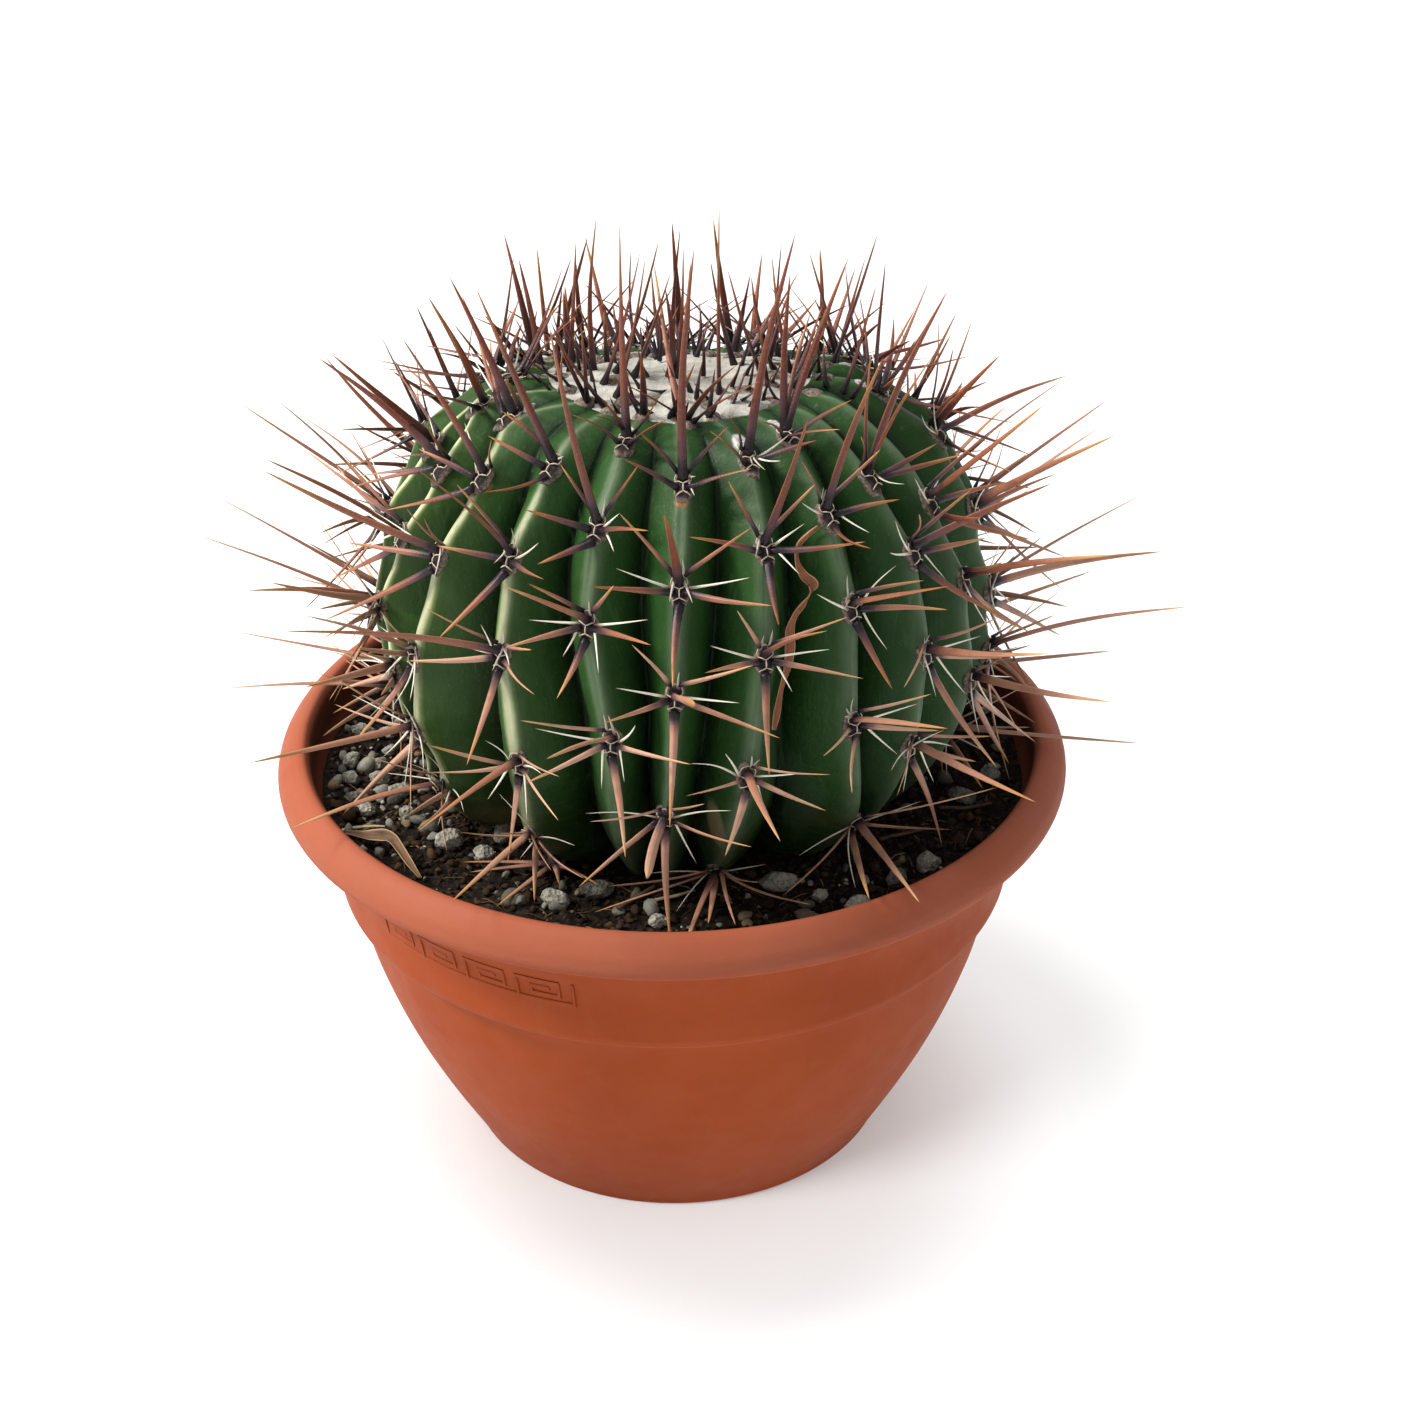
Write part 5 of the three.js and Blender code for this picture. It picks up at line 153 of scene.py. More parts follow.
     [0,[410,1096,2214],[0.32,0.95,0.03],[-0.01,-0.03,1.0],[0,569,1680,2590,411,1100,2245,1,176,1385,2276,392,1108,2215,1,754,1151,2325,431,1095,2215,3,302,1307,2480,396,1104,2270,3,635,1201,2470,425,1094,2270,2,526,1366,1732,412,1103,2176,4,205,1249,2303,387,1109,2227,4,635,1133,2370,436,1093,2227,4,305,1222,2141,387,1109,2227,4,550,1115,2160,436,1093,2227]],
     [0,[364,1036,1847],[0.27,0.88,-0.4],[0.12,0.38,0.92],[0,590,1626,1981,369,1052,1872,1,125,1336,1811,346,1047,1845,1,781,1163,1830,386,1035,1845,3,270,1369,2024,358,1067,1896,3,581,1312,2006,387,1057,1896,2,361,1073,1518,361,1026,1809,4,188,1188,1875,343,1053,1857,4,569,1131,1932,392,1038,1857,4,261,1099,1759,343,1053,1857,4,482,1030,1737,392,1038,1857]]],
    [[1,[60,357,3117],[0.0,0.04,1.0],[-0.04,-1.0,0.04],[7,57,385,3603,21,358,3108]],
     [1,[63,442,3112],[0.0,0.04,1.0],[-0.04,-1.0,0.04],[8,15,505,3289,77,442,3115,8,25,513,3250,68,442,3115]],
     [0,[60,619,3110],[0.0,0.16,0.99],[-0.02,-0.99,0.16],[0,26,274,3629,59,590,3120,1,-303,687,3313,39,620,3115,1,341,628,3323,80,619,3115,3,-83,368,3314,43,565,3123,3,281,379,3343,74,564,3123,2,34,1057,3287,60,658,3110,4,-108,505,3204,34,607,3117,4,209,527,3227,85,606,3117,4,-66,661,3161,34,607,3117,4,205,714,3150,85,606,3117]],
     [0,[69,917,2929],[0.02,0.72,0.69],[-0.02,-0.69,0.72],[0,98,1011,3392,68,900,2954,1,-305,1012,3144,48,921,2932,1,325,982,3068,89,920,2932,3,-54,896,3257,52,883,2973,3,231,886,3217,83,882,2973,2,163,1403,2771,69,947,2904,4,-120,931,3047,43,912,2941,4,261,877,3073,94,911,2941,4,218,1008,2903,94,911,2941]],
     [0,[102,1092,2593],[0.05,0.96,0.27],[-0.01,-0.27,0.96],[0,57,1614,3096,102,1089,2623,1,-188,1261,2713,82,1098,2594,1,471,1295,2726,123,1096,2594,3,-113,1210,2881,86,1083,2648,3,250,1164,2885,117,1081,2648,2,143,1448,2222,103,1108,2557,4,-79,1161,2752,76,1095,2607,4,328,1157,2701,128,1092,2607,4,-19,1196,2518,76,1095,2607,4,213,1160,2527,128,1092,2607]],
     [0,[68,1153,2252],[0.02,1.0,0.07],[-0.0,-0.07,1.0],[0,5,1622,2628,68,1156,2283,1,-302,1343,2326,47,1159,2253,1,470,1331,2285,89,1158,2253,3,-122,1366,2474,53,1154,2308,3,178,1322,2519,83,1154,2308,2,90,1364,1908,68,1161,2214,4,-144,1258,2395,42,1158,2266,4,251,1231,2409,94,1157,2266,4,-54,1212,2206,42,1158,2266,4,213,1238,2196,94,1157,2266]],
     [0,[103,1109,1914],[0.05,0.94,-0.33],[0.02,0.33,0.94],[0,199,1773,2162,104,1124,1941,1,-202,1288,1857,83,1115,1913,1,469,1349,1960,124,1113,1913,3,-52,1389,2135,89,1133,1965,3,238,1357,2132,120,1132,1965,2,171,1155,1524,103,1101,1876,4,-84,1235,2026,78,1120,1925,4,-36,1142,1853,78,1120,1925,4,211,1136,1821,129,1117,1925]]],
    [[1,[-37,346,3117],[-0.01,0.04,1.0],[0.25,-0.97,0.04],[7,-52,368,3450,-19,315,3111,8,-85,377,3244,-29,313,3111]],
     [1,[-58,429,3112],[-0.01,0.04,1.0],[0.25,-0.97,0.04],[8,-47,438,3175,-42,473,3098]],
     [1,[-79,512,3115],[-0.0,0.0,1.0],[0.25,-0.97,0.0],[8,-139,493,3142,-97,559,3106]],
     [0,[-126,687,3084],[-0.1,0.38,0.92],[0.23,-0.89,0.39],[0,-128,741,3474,-120,663,3102,1,-491,709,3269,-146,684,3088,1,191,765,3286,-107,695,3088,3,-300,544,3370,-129,637,3113,3,31,553,3356,-99,645,3113,2,-331,1144,3073,-135,723,3071,4,-293,594,3195,-148,672,3094,4,-283,766,3107,-148,672,3094,4,-5,792,3107,-99,685,3094]],
     [0,[-195,954,2843],[-0.21,0.8,0.56],[0.14,-0.54,0.83],[0,-317,1312,3474,-192,942,2871,1,-576,1047,2925,-216,953,2845,1,66,1121,3031,-176,963,2845,3,-315,923,3154,-204,925,2892,3,-56,1029,3132,-174,933,2892,2,-291,1360,2554,-201,979,2813,4,-414,921,2988,-219,945,2856,4,22,1032,2969,-170,958,2856,4,-356,1015,2814,-219,945,2856,4,-81,1080,2810,-170,958,2856]],
     [0,[-205,1087,2498],[-0.22,0.95,0.21],[0.05,-0.2,0.98],[0,-267,1556,2996,-205,1086,2529,1,-617,1230,2584,-227,1087,2499,1,120,1346,2509,-187,1097,2499,3,-429,1193,2774,-219,1077,2554,3,-73,1279,2824,-189,1085,2554,2,-284,1312,2126,-208,1100,2462,4,-412,1101,2638,-231,1084,2512,4,-36,1199,2610,-181,1095,2512,4,-350,1137,2416,-231,1084,2512,4,-105,1175,2449,-181,1095,2512]],
     [0,[-226,1122,2145],[-0.24,0.97,-0.04],[-0.01,0.04,1.0],[0,-394,1787,2475,-227,1128,2174,1,-568,1230,2191,-247,1122,2144,1,75,1394,2256,-207,1132,2144,3,-418,1302,2431,-243,1125,2200,3,-132,1342,2397,-213,1133,2200,2,-251,1245,1706,-227,1126,2106,4,-448,1178,2277,-252,1121,2157,4,-36,1268,2239,-202,1134,2157,4,-398,1155,2088,-252,1121,2157,4,-121,1199,2063,-202,1134,2157]],
     [0,[-206,1025,1788],[-0.22,0.86,-0.45],[-0.11,0.44,0.89],[0,-339,1605,1783,-210,1043,1813,1,-562,1136,1744,-227,1025,1786,1,117,1322,1744,-187,1035,1786,3,-406,1264,1962,-228,1051,1836,3,-114,1364,1920,-198,1058,1836,2,-177,982,1492,-202,1013,1752,4,-423,1133,1883,-233,1029,1798,4,-27,1213,1836,-183,1042,1798,4,-337,1017,1736,-233,1029,1798]]],
    [[1,[-110,280,3119],[-0.02,0.03,1.0],[0.51,-0.86,0.04],[8,-96,292,3238,-82,284,3110,8,-91,290,3233,-34,199,3116]],
     [1,[-171,383,3112],[-0.02,0.03,1.0],[0.51,-0.86,0.04],[8,-196,499,3314,-156,391,3115,7,-240,465,3327,-165,386,3115]],
     [0,[-322,622,3075],[-0.23,0.38,0.89],[0.46,-0.76,0.45],[0,-328,526,3462,-310,601,3094,1,-593,464,3285,-341,613,3079,1,-56,934,3237,-306,634,3079,3,-350,418,3349,-311,574,3106,3,-113,546,3383,-285,590,3106,2,-576,930,3038,-341,652,3061,4,-475,487,3166,-339,601,3086,4,-108,732,3214,-295,627,3086,4,-267,750,3081,-295,627,3086]],
     [0,[-449,860,2827],[-0.43,0.73,0.53],[0.27,-0.46,0.85],[0,-500,1123,3454,-443,850,2855,1,-847,820,2922,-469,853,2830,1,-246,1121,3037,-433,874,2830,3,-579,801,3205,-450,831,2877,3,-292,1018,3117,-423,847,2877,2,-737,1178,2492,-461,881,2797,4,-625,792,2975,-470,845,2841,4,-280,997,2974,-426,871,2841,4,-614,890,2774,-470,845,2841]],
     [0,[-508,964,2506],[-0.49,0.84,0.22],[0.11,-0.19,0.98],[0,-788,1331,2984,-508,963,2536,1,-868,926,2565,-528,958,2507,1,-332,1305,2615,-493,979,2507,3,-723,1002,2776,-518,951,2561,3,-439,1176,2812,-491,966,2561,2,-618,1167,2139,-515,976,2469,4,-374,1118,2593,-487,979,2520,4,-675,970,2459,-532,953,2520,4,-440,1083,2468,-487,979,2520]],
     [0,[-528,998,2119],[-0.5,0.86,-0.08],[-0.04,0.07,1.0],[0,-918,1567,2429,-531,1004,2149,1,-884,978,2122,-548,992,2119,1,-326,1295,2154,-512,1013,2119,3,-821,1099,2315,-546,998,2174,3,-496,1234,2377,-519,1014,2174,2,-686,1096,1627,-529,1000,2080,4,-773,977,2241,-553,990,2131,4,-381,1168,2190,-508,1016,2131,4,-685,976,2061,-553,990,2131,4,-431,1104,2038,-508,1016,2131]],
     [0,[-468,913,1777],[-0.44,0.77,-0.47],[-0.23,0.4,0.88],[0,-781,1501,1802,-478,929,1801,1,-808,866,1688,-488,906,1774,1,-247,1254,1679,-453,927,1774,3,-773,1080,1902,-497,932,1824,3,-517,1243,1910,-470,947,1824,2,-427,925,1488,-462,901,1740,4,-697,945,1853,-496,909,1786,4,-382,1114,1832,-451,935,1786,4,-585,847,1657,-496,909,1786,4,-366,990,1697,-451,935,1786]]],
    [[1,[-203,248,3117],[-0.03,0.03,1.0],[0.73,-0.68,0.04],[8,-174,262,3234,-234,258,3105]],
     [1,[-266,306,3112],[-0.03,0.03,1.0],[0.73,-0.68,0.04],[8,-336,294,3223,-315,283,3100]],
     [1,[-328,365,3115],[-0.0,0.0,1.0],[0.73,-0.68,0.0],[8,-328,374,3168,-305,340,3106]],
     [0,[-430,476,3096],[-0.22,0.21,0.95],[0.68,-0.66,0.31],[0,-276,345,3569,-410,457,3111,1,-711,263,3288,-445,462,3101,1,-312,657,3244,-416,492,3101,3,-370,229,3388,-404,429,3119,3,-165,430,3378,-382,451,3119,2,-731,773,3140,-457,502,3089,4,-505,276,3214,-440,450,3105,4,-244,530,3238,-404,487,3105,4,-588,448,3146,-440,450,3105]],
     [0,[-632,670,2880],[-0.58,0.56,0.6],[0.43,-0.42,0.8],[0,-774,752,3307,-621,660,2907,1,-954,569,2970,-649,658,2884,1,-453,988,3019,-620,687,2884,3,-787,511,3219,-621,638,2928,3,-517,777,3220,-599,660,2928,2,-898,914,2676,-651,689,2853,4,-776,492,3038,-647,648,2894,4,-503,800,3043,-611,685,2894,4,-772,646,2875,-647,648,2894,4,-602,828,2845,-611,685,2894]],
     [0,[-741,763,2562],[-0.7,0.67,0.25],[0.18,-0.17,0.97],[0,-1079,1088,3008,-739,762,2592,1,-1119,609,2596,-759,752,2563,1,-612,1155,2649,-730,782,2563,3,-940,753,2892,-745,746,2617,3,-704,1028,2848,-724,768,2617,2,-949,986,2176,-751,773,2526,4,-922,676,2655,-760,746,2575,4,-648,952,2748,-724,783,2575,4,-890,720,2483,-760,746,2575,4,-701,896,2501,-724,783,2575]],
     [0,[-803,774,2219],[-0.75,0.67,0.04],[0.03,-0.03,1.0],[0,-1204,1063,2647,-806,777,2249,1,-1205,619,2220,-821,762,2219,1,-704,1111,2318,-793,793,2219,3,-1103,773,2436,-815,765,2275,3,-854,1026,2497,-795,788,2275,2,-900,899,1834,-808,779,2181,4,-1006,683,2359,-824,758,2232,4,-708,983,2321,-789,796,2232,4,-766,916,2145,-789,796,2232]],
     [0,[-724,756,1848],[-0.66,0.64,-0.4],[-0.29,0.27,0.92],[0,-1181,1255,1963,-736,768,1874,1,-1146,620,1790,-742,744,1846,1,-652,1190,1797,-713,774,1846,3,-1063,855,2024,-754,764,1897,3,-810,1044,2004,-733,786,1897,2,-768,741,1515,-716,749,1811,4,-983,666,1871,-749,744,1858,4,-820,708,1747,-749,744,1858]]],
    [[1,[-259,168,3117],[-0.04,0.02,1.0],[0.89,-0.45,0.04],[8,-221,188,3308,-215,187,3110]],
     [1,[-335,206,3112],[-0.04,0.02,1.0],[0.89,-0.45,0.04],[7,-363,189,3384,-345,186,3115,7,-359,216,3405,-343,189,3115]],
     [1,[-412,244,3115],[-0.0,0.0,1.0],[0.89,-0.45,0.0],[8,-537,207,3225,-523,299,3106]],
     [0,[-527,311,3102],[-0.26,0.13,0.96],[0.85,-0.44,0.29],[0,-333,281,3502,-502,298,3115,1,-636,46,3321,-538,293,3107,1,-365,607,3318,-519,330,3107,3,-451,50,3342,-487,273,3121,3,-245,368,3380,-473,301,3121,2,-903,475,3144,-561,329,3096,4,-563,110,3178,-529,283,3110,4,-400,400,3198,-505,329,3110,4,-646,255,3142,-529,283,3110,4,-546,452,3123,-505,329,3110]],
     [0,[-793,432,2886],[-0.71,0.35,0.61],[0.55,-0.27,0.79],[0,-919,486,3298,-780,426,2913,1,-995,209,3084,-806,416,2890,1,-769,737,3050,-788,452,2890,3,-858,264,3244,-773,405,2933,3,-727,645,3207,-759,432,2933,2,-1216,535,2617,-818,445,2859,4,-708,640,3059,-778,453,2900,4,-810,574,2896,-778,453,2900]],
     [0,[-932,481,2572],[-0.87,0.42,0.26],[0.23,-0.11,0.97],[0,-1280,563,3089,-929,480,2602,1,-1268,264,2675,-945,465,2573,1,-960,852,2656,-927,502,2573,3,-1162,348,2840,-930,463,2627,3,-966,655,2943,-917,491,2627,2,-1126,599,2236,-945,488,2536,4,-1078,338,2735,-944,459,2586,4,-910,650,2715,-922,505,2586,4,-1046,419,2519,-944,459,2586]],
     [0,[-964,543,2204],[-0.89,0.46,0.02],[0.02,-0.01,1.0],[0,-1447,860,2718,-968,545,2235,1,-1318,342,2211,-978,527,2205,1,-952,964,2335,-959,564,2205,3,-1192,461,2474,-974,531,2260,3,-1042,769,2503,-960,558,2260,2,-1138,598,1711,-969,546,2166,4,-1134,413,2371,-980,522,2217,4,-972,757,2341,-956,568,2217,4,-1087,434,2118,-980,522,2217,4,-940,705,2135,-956,568,2217]],
     [0,[-912,472,1832],[-0.82,0.39,-0.42],[-0.37,0.18,0.91],[0,-1559,775,1931,-927,479,1857,1,-1233,282,1812,-925,456,1830,1,-937,843,1765,-907,493,1830,3,-1266,412,1941,-944,470,1881,3,-1091,797,1938,-930,498,1881,2,-920,460,1518,-902,467,1795,4,-1109,319,1895,-932,453,1842,4,-911,733,1892,-910,500,1842,4,-999,372,1758,-932,453,1842,4,-899,579,1744,-910,500,1842]]],
    [[1,[-290,75,3117],[-0.04,0.01,1.0],[0.98,-0.18,0.04],[8,-344,71,3291,-253,84,3111,8,-371,92,3244,-255,74,3111]],
     [1,[-458,105,3115],[-0.0,0.0,1.0],[0.98,-0.18,0.0],[7,-561,128,3607,-466,138,3106,7,-514,134,3513,-450,100,3106,8,-530,92,3215,-493,185,3106]],
     [0,[-636,127,3085],[-0.38,0.06,0.92],[0.91,-0.15,0.38],[0,-527,85,3536,-611,123,3102,1,-788,-225,3285,-641,107,3089,1,-547,458,3301,-634,148,3089,3,-532,-41,3376,-591,104,3114,3,-504,237,3407,-586,135,3114,2,-1043,211,3096,-672,133,3072,4,-592,-87,3195,-631,100,3095,4,-552,351,3188,-622,151,3095,4,-712,11,3123,-631,100,3095,4,-688,281,3135,-622,151,3095]],
     [0,[-903,203,2845],[-0.81,0.16,0.56],[0.55,-0.11,0.83],[0,-1022,199,3219,-891,201,2873,1,-1154,-114,2952,-911,184,2848,1,-945,572,2956,-903,224,2848,3,-963,30,3163,-880,183,2895,3,-919,324,3158,-874,213,2895,2,-1262,199,2636,-928,208,2816,4,-879,423,2982,-895,228,2859,4,-1037,115,2809,-905,177,2859,4,-966,323,2829,-895,228,2859]],
     [0,[-1039,218,2484],[-0.96,0.18,0.2],[0.19,-0.04,0.98],[0,-1562,269,2951,-1038,218,2515,1,-1259,-92,2489,-1047,199,2485,1,-1137,580,2543,-1040,239,2485,3,-1201,108,2795,-1036,202,2540,3,-1163,375,2767,-1030,232,2540,2,-1296,294,2094,-1051,220,2447,4,-1149,14,2626,-1046,193,2498,4,-1084,349,2446,-1036,244,2498]],
     [0,[-1076,204,2126],[-0.98,0.17,-0.07],[-0.07,0.01,1.0],[0,-1698,275,2536,-1083,205,2155,1,-1296,-62,2211,-1085,184,2125,1,-1257,567,2205,-1078,225,2125,3,-1341,108,2402,-1088,190,2181,3,-1274,451,2369,-1082,220,2181,2,-1307,171,1679,-1079,204,2087,4,-1206,2,2235,-1087,179,2138,4,-1108,400,2221,-1078,230,2138,4,-1169,95,2025,-1087,179,2138,4,-1100,310,2039,-1078,230,2138]],
     [0,[-981,211,1798],[-0.88,0.17,-0.45],[-0.44,0.08,0.89],[0,-1693,281,1942,-998,214,1822,1,-1276,-77,1775,-989,192,1796,1,-1118,551,1750,-981,232,1796,3,-1299,127,1930,-1012,201,1845,3,-1295,418,1936,-1007,232,1845,2,-972,217,1486,-968,208,1761,4,-1143,36,1840,-996,188,1807,4,-1095,403,1870,-986,238,1807,4,-1037,78,1697,-996,188,1807,4,-962,331,1679,-986,238,1807]]],
    [[1,[-293,-23,3117],[-0.04,-0.0,1.0],[0.99,0.11,0.04],[7,-234,13,3688,-256,-7,3111,7,-384,-25,3365,-273,15,3110,7,-20,-71,3624,-180,-23,3117]],
     [1,[-378,-32,3112],[-0.04,-0.0,1.0],[0.99,0.11,0.04],[7,-304,-31,3622,-344,16,3107,8,-386,-14,3242,-385,-43,3101]],
     [0,[-557,-40,3110],[-0.17,-0.02,0.98],[0.98,0.09,0.17],[0,-353,18,3511,-528,-37,3119,1,-492,-362,3264,-556,-61,3115,1,-517,229,3259,-559,-20,3115,3,-302,-158,3390,-501,-51,3123,3,-390,166,3335,-504,-20,3123,2,-1016,-95,3208,-596,-43,3109,4,-482,-269,3210,-543,-65,3117,4,-524,189,3214,-547,-13,3117,4,-586,-173,3152,-543,-65,3117,4,-640,58,3157,-547,-13,3117]],
     [0,[-832,-208,2924],[-0.71,-0.18,0.68],[0.66,0.17,0.73],[0,-1092,-618,3443,-816,-204,2949,3,-957,16,3130,-803,-184,2968,4,-946,-19,2958,-834,-181,2937]],
     [0,[-1022,-95,2606],[-0.95,-0.1,0.29],[0.28,0.03,0.96],[0,-1364,-143,3084,-1019,-95,2636,1,-1207,-467,2720,-1025,-116,2607,1,-1224,218,2686,-1029,-75,2607,3,-1135,-282,2860,-1010,-110,2660,3,-1144,34,2904,-1013,-79,2660,2,-1338,-181,2264,-1038,-97,2570,4,-1058,-318,2773,-1021,-121,2619,4,-1090,119,2769,-1026,-70,2619,4,-1089,-224,2521,-1021,-121,2619]],
     [0,[-1083,-128,2238],[-0.99,-0.12,0.05],[0.05,0.01,1.0],[0,-1676,-250,2617,-1087,-128,2268,1,-1236,-473,2306,-1086,-149,2238,1,-1306,129,2341,-1091,-108,2238,3,-1219,-259,2413,-1083,-143,2294,3,-1282,10,2554,-1087,-112,2294,2,-1275,-151,1873,-1091,-128,2200,4,-1133,-335,2373,-1084,-154,2251,4,-1206,59,2337,-1091,-103,2251,4,-1122,-283,2199,-1084,-154,2251,4,-1158,6,2200,-1091,-103,2251]],
     [0,[-1031,-114,1888],[-0.93,-0.11,-0.35],[-0.35,-0.04,0.94],[0,-1639,-247,1987,-1047,-116,1914,1,-1258,-496,1923,-1034,-135,1886,1,-1251,183,1863,-1038,-94,1886,3,-1297,-251,2046,-1054,-133,1938,3,-1297,20,2040,-1058,-102,1938,2,-1026,-159,1583,-1022,-113,1850,4,-1106,-377,1923,-1037,-141,1898,4,-1186,81,1922,-1044,-90,1898,4,-1039,-258,1800,-1037,-141,1898,4,-1067,-2,1794,-1044,-90,1898]]],
    [[1,[-190,-84,3121],[-0.04,-0.02,1.0],[0.92,0.38,0.04],[7,-83,-152,3614,-221,-109,3109,7,18,-141,3531,-113,-51,3117]],
     [1,[-348,-150,3112],[-0.04,-0.02,1.0],[0.92,0.38,0.04],[8,-358,-131,3271,-370,-193,3098]],
     [0,[-660,-182,3061],[-0.49,-0.14,0.86],[0.83,0.23,0.51],[0,-776,-526,3602,-638,-175,3081,0,-712,-605,3532,-638,-175,3081,1,-851,-534,3261,-657,-202,3066,4,-768,-105,3064,-645,-204,3072]],
     [0,[-789,-376,2906],[-0.69,-0.32,0.65],[0.59,0.28,0.76],[0,-1194,-234,3275,-774,-369,2932,4,-830,-221,3049,-795,-350,2919,3,-803,-607,3190,-753,-376,2952,1,-1116,-328,2824,-801,-359,2910,3,-969,-317,2930,-766,-348,2952,1,-1090,-276,2846,-801,-359,2910]],
     [0,[-940,-375,2651],[-0.88,-0.35,0.33],[0.3,0.12,0.95],[0,-1343,-619,3073,-935,-373,2681,3,-1282,-125,2881,-933,-356,2705,3,-1137,-214,2890,-933,-356,2705,2,-1227,-165,2384,-956,-381,2616,4,-1201,-267,2537,-950,-351,2664,4,-1121,-189,2695,-950,-351,2664,5,-962,-468,2649,-927,-383,2693]],
     [0,[-1042,-285,2337],[-0.96,-0.26,0.13],[0.12,0.03,0.99],[0,-1435,-715,2630,-1043,-286,2368,0,-1358,-677,2640,-1043,-286,2368,4,-1185,-94,2340,-1052,-261,2351,4,-1081,-449,2528,-1038,-311,2351,1,-1170,-689,2429,-1041,-306,2338,2,-1100,-787,2393,-1052,-288,2300,3,-1119,-578,2348,-1035,-299,2393,4,-1271,-119,2278,-1052,-261,2351]],
     [0,[-987,-467,2170],[-0.91,-0.42,-0.01],[-0.01,-0.0,1.0],[0,-1231,-951,2384,-992,-470,2200,1,-1202,-290,2000,-983,-488,2170,3,-1081,-715,2395,-986,-484,2225,4,-1111,-345,2179,-981,-493,2182,4,-1163,-302,2127,-1003,-446,2182,2,-980,-939,2341,-992,-469,2131]]],
    [[1,[-286,-255,3112],[-0.03,-0.03,1.0],[0.78,0.63,0.04],[7,-288,-315,3417,-277,-266,3115,7,-390,-263,3403,-276,-266,3115]],
     [0,[-549,-343,3083],[-0.34,-0.2,0.92],[0.79,0.47,0.39],[0,-735,-163,3535,-528,-330,3101,1,-657,-62,3279,-561,-326,3088,1,-613,-78,3276,-561,-326,3088,4,-688,-107,3243,-554,-316,3094,3,-533,-585,3341,-500,-332,3113]],
     [0,[-637,-542,2950],[-0.55,-0.44,0.71],[0.55,0.45,0.7],[0,-872,-512,3456,-623,-530,2974,1,-853,-411,3008,-653,-528,2953,4,-691,-402,3098,-649,-518,2962,3,-575,-771,3199,-599,-531,2992,2,-968,-563,2850,-661,-562,2927]],
     [0,[-793,-610,2689],[-0.75,-0.56,0.36],[0.29,0.21,0.93],[0,-1354,-635,3040,-788,-607,2719,3,-805,-847,2958,-772,-614,2743,3,-863,-822,2983,-772,-614,2743,4,-1033,-442,2801,-809,-590,2703,1,-1114,-463,2681,-809,-597,2691,2,-1213,-545,2418,-808,-621,2655,5,-796,-735,2675,-777,-614,2731]],
     [0,[-900,-608,2308],[-0.83,-0.54,0.12],[0.1,0.06,0.99],[3,-977,-808,2597,-891,-620,2364,4,-1027,-487,2367,-917,-588,2321,1,-1047,-957,2537,-916,-593,2308,5,-921,-672,2376,-893,-618,2351,2,-1141,-553,1927,-908,-613,2270,4,-1034,-553,2178,-917,-588,2321,4,-894,-842,2266,-889,-631,2321,4,-977,-674,2143,-889,-631,2321,5,-877,-692,2320,-893,-618,2351,0,-1194,-1060,2715,-902,-608,2338]],
     [0,[-908,-562,1979],[-0.83,-0.5,-0.25],[-0.21,-0.13,0.97],[0,-1426,-1059,2155,-919,-569,2007,1,-1226,-349,1971,-923,-547,1978,3,-1168,-614,2224,-932,-559,2032,4,-1147,-429,2055,-928,-545,1990,4,-943,-697,2184,-902,-589,1990,2,-1230,-376,1510,-904,-560,1940,3,-919,-850,1824,-916,-586,2032,4,-869,-810,1960,-902,-589,1990,4,-971,-572,1741,-928,-545,1990,4,-1048,-458,1813,-928,-545,1990]],
     [0,[-808,-497,1708],[-0.73,-0.44,-0.53],[-0.45,-0.27,0.85],[3,-1112,-520,1856,-844,-501,1752,4,-1094,-359,1686,-830,-481,1716,4,-868,-697,1964,-804,-525,1716,4,-957,-578,1861,-830,-481,1716,0,-1348,-845,1754,-825,-508,1731,1,-939,-871,1810,-801,-517,1705,2,-888,-969,1824,-794,-489,1672,3,-808,-791,1610,-829,-528,1752,4,-838,-764,1704,-804,-525,1716,4,-746,-717,1731,-804,-525,1716]]],
    [[1,[-148,-268,3117],[-0.02,-0.03,1.0],[0.57,0.82,0.04],[7,-66,-244,3624,-174,-227,3109]],
     [1,[-196,-338,3112],[-0.02,-0.03,1.0],[0.57,0.82,0.04],[7,-392,-373,3420,-219,-293,3105]],
     [0,[-395,-635,3028],[-0.32,-0.47,0.82],[0.46,0.68,0.57],[0,-614,-578,3649,-383,-617,3050,1,-603,-563,3122,-414,-626,3033,2,-581,-1107,3170,-415,-664,3011,3,-519,-531,3180,-384,-591,3064,5,-346,-658,3087,-366,-615,3057,3,-554,-535,3199,-384,-591,3064]],
     [0,[-533,-810,2777],[-0.51,-0.73,0.45],[0.26,0.37,0.89],[0,-794,-1112,3261,-528,-803,2806,3,-699,-768,3042,-534,-784,2829,1,-776,-770,2817,-553,-802,2779,1,-403,-1159,2885,-519,-826,2779,2,-771,-957,2566,-546,-828,2745,5,-582,-852,2790,-535,-790,2818,4,-426,-961,2916,-512,-824,2791,5,-490,-835,2930,-514,-805,2818,5,-521,-821,2903,-514,-805,2818]],
     [0,[-573,-907,2459],[-0.55,-0.82,0.18],[0.1,0.15,0.98],[3,-810,-921,2660,-583,-894,2514,4,-626,-994,2637,-596,-894,2472,5,-561,-936,2591,-561,-911,2502,4,-714,-863,2494,-596,-894,2472,3,-451,-1176,2638,-557,-911,2514,0,-1256,-1206,2737,-573,-906,2489,1,-886,-874,2437,-593,-899,2460,1,-442,-1269,2524,-559,-922,2460,2,-694,-1067,2138,-580,-917,2422,5,-597,-974,2451,-561,-911,2502,5,-538,-997,2466,-561,-911,2502]],
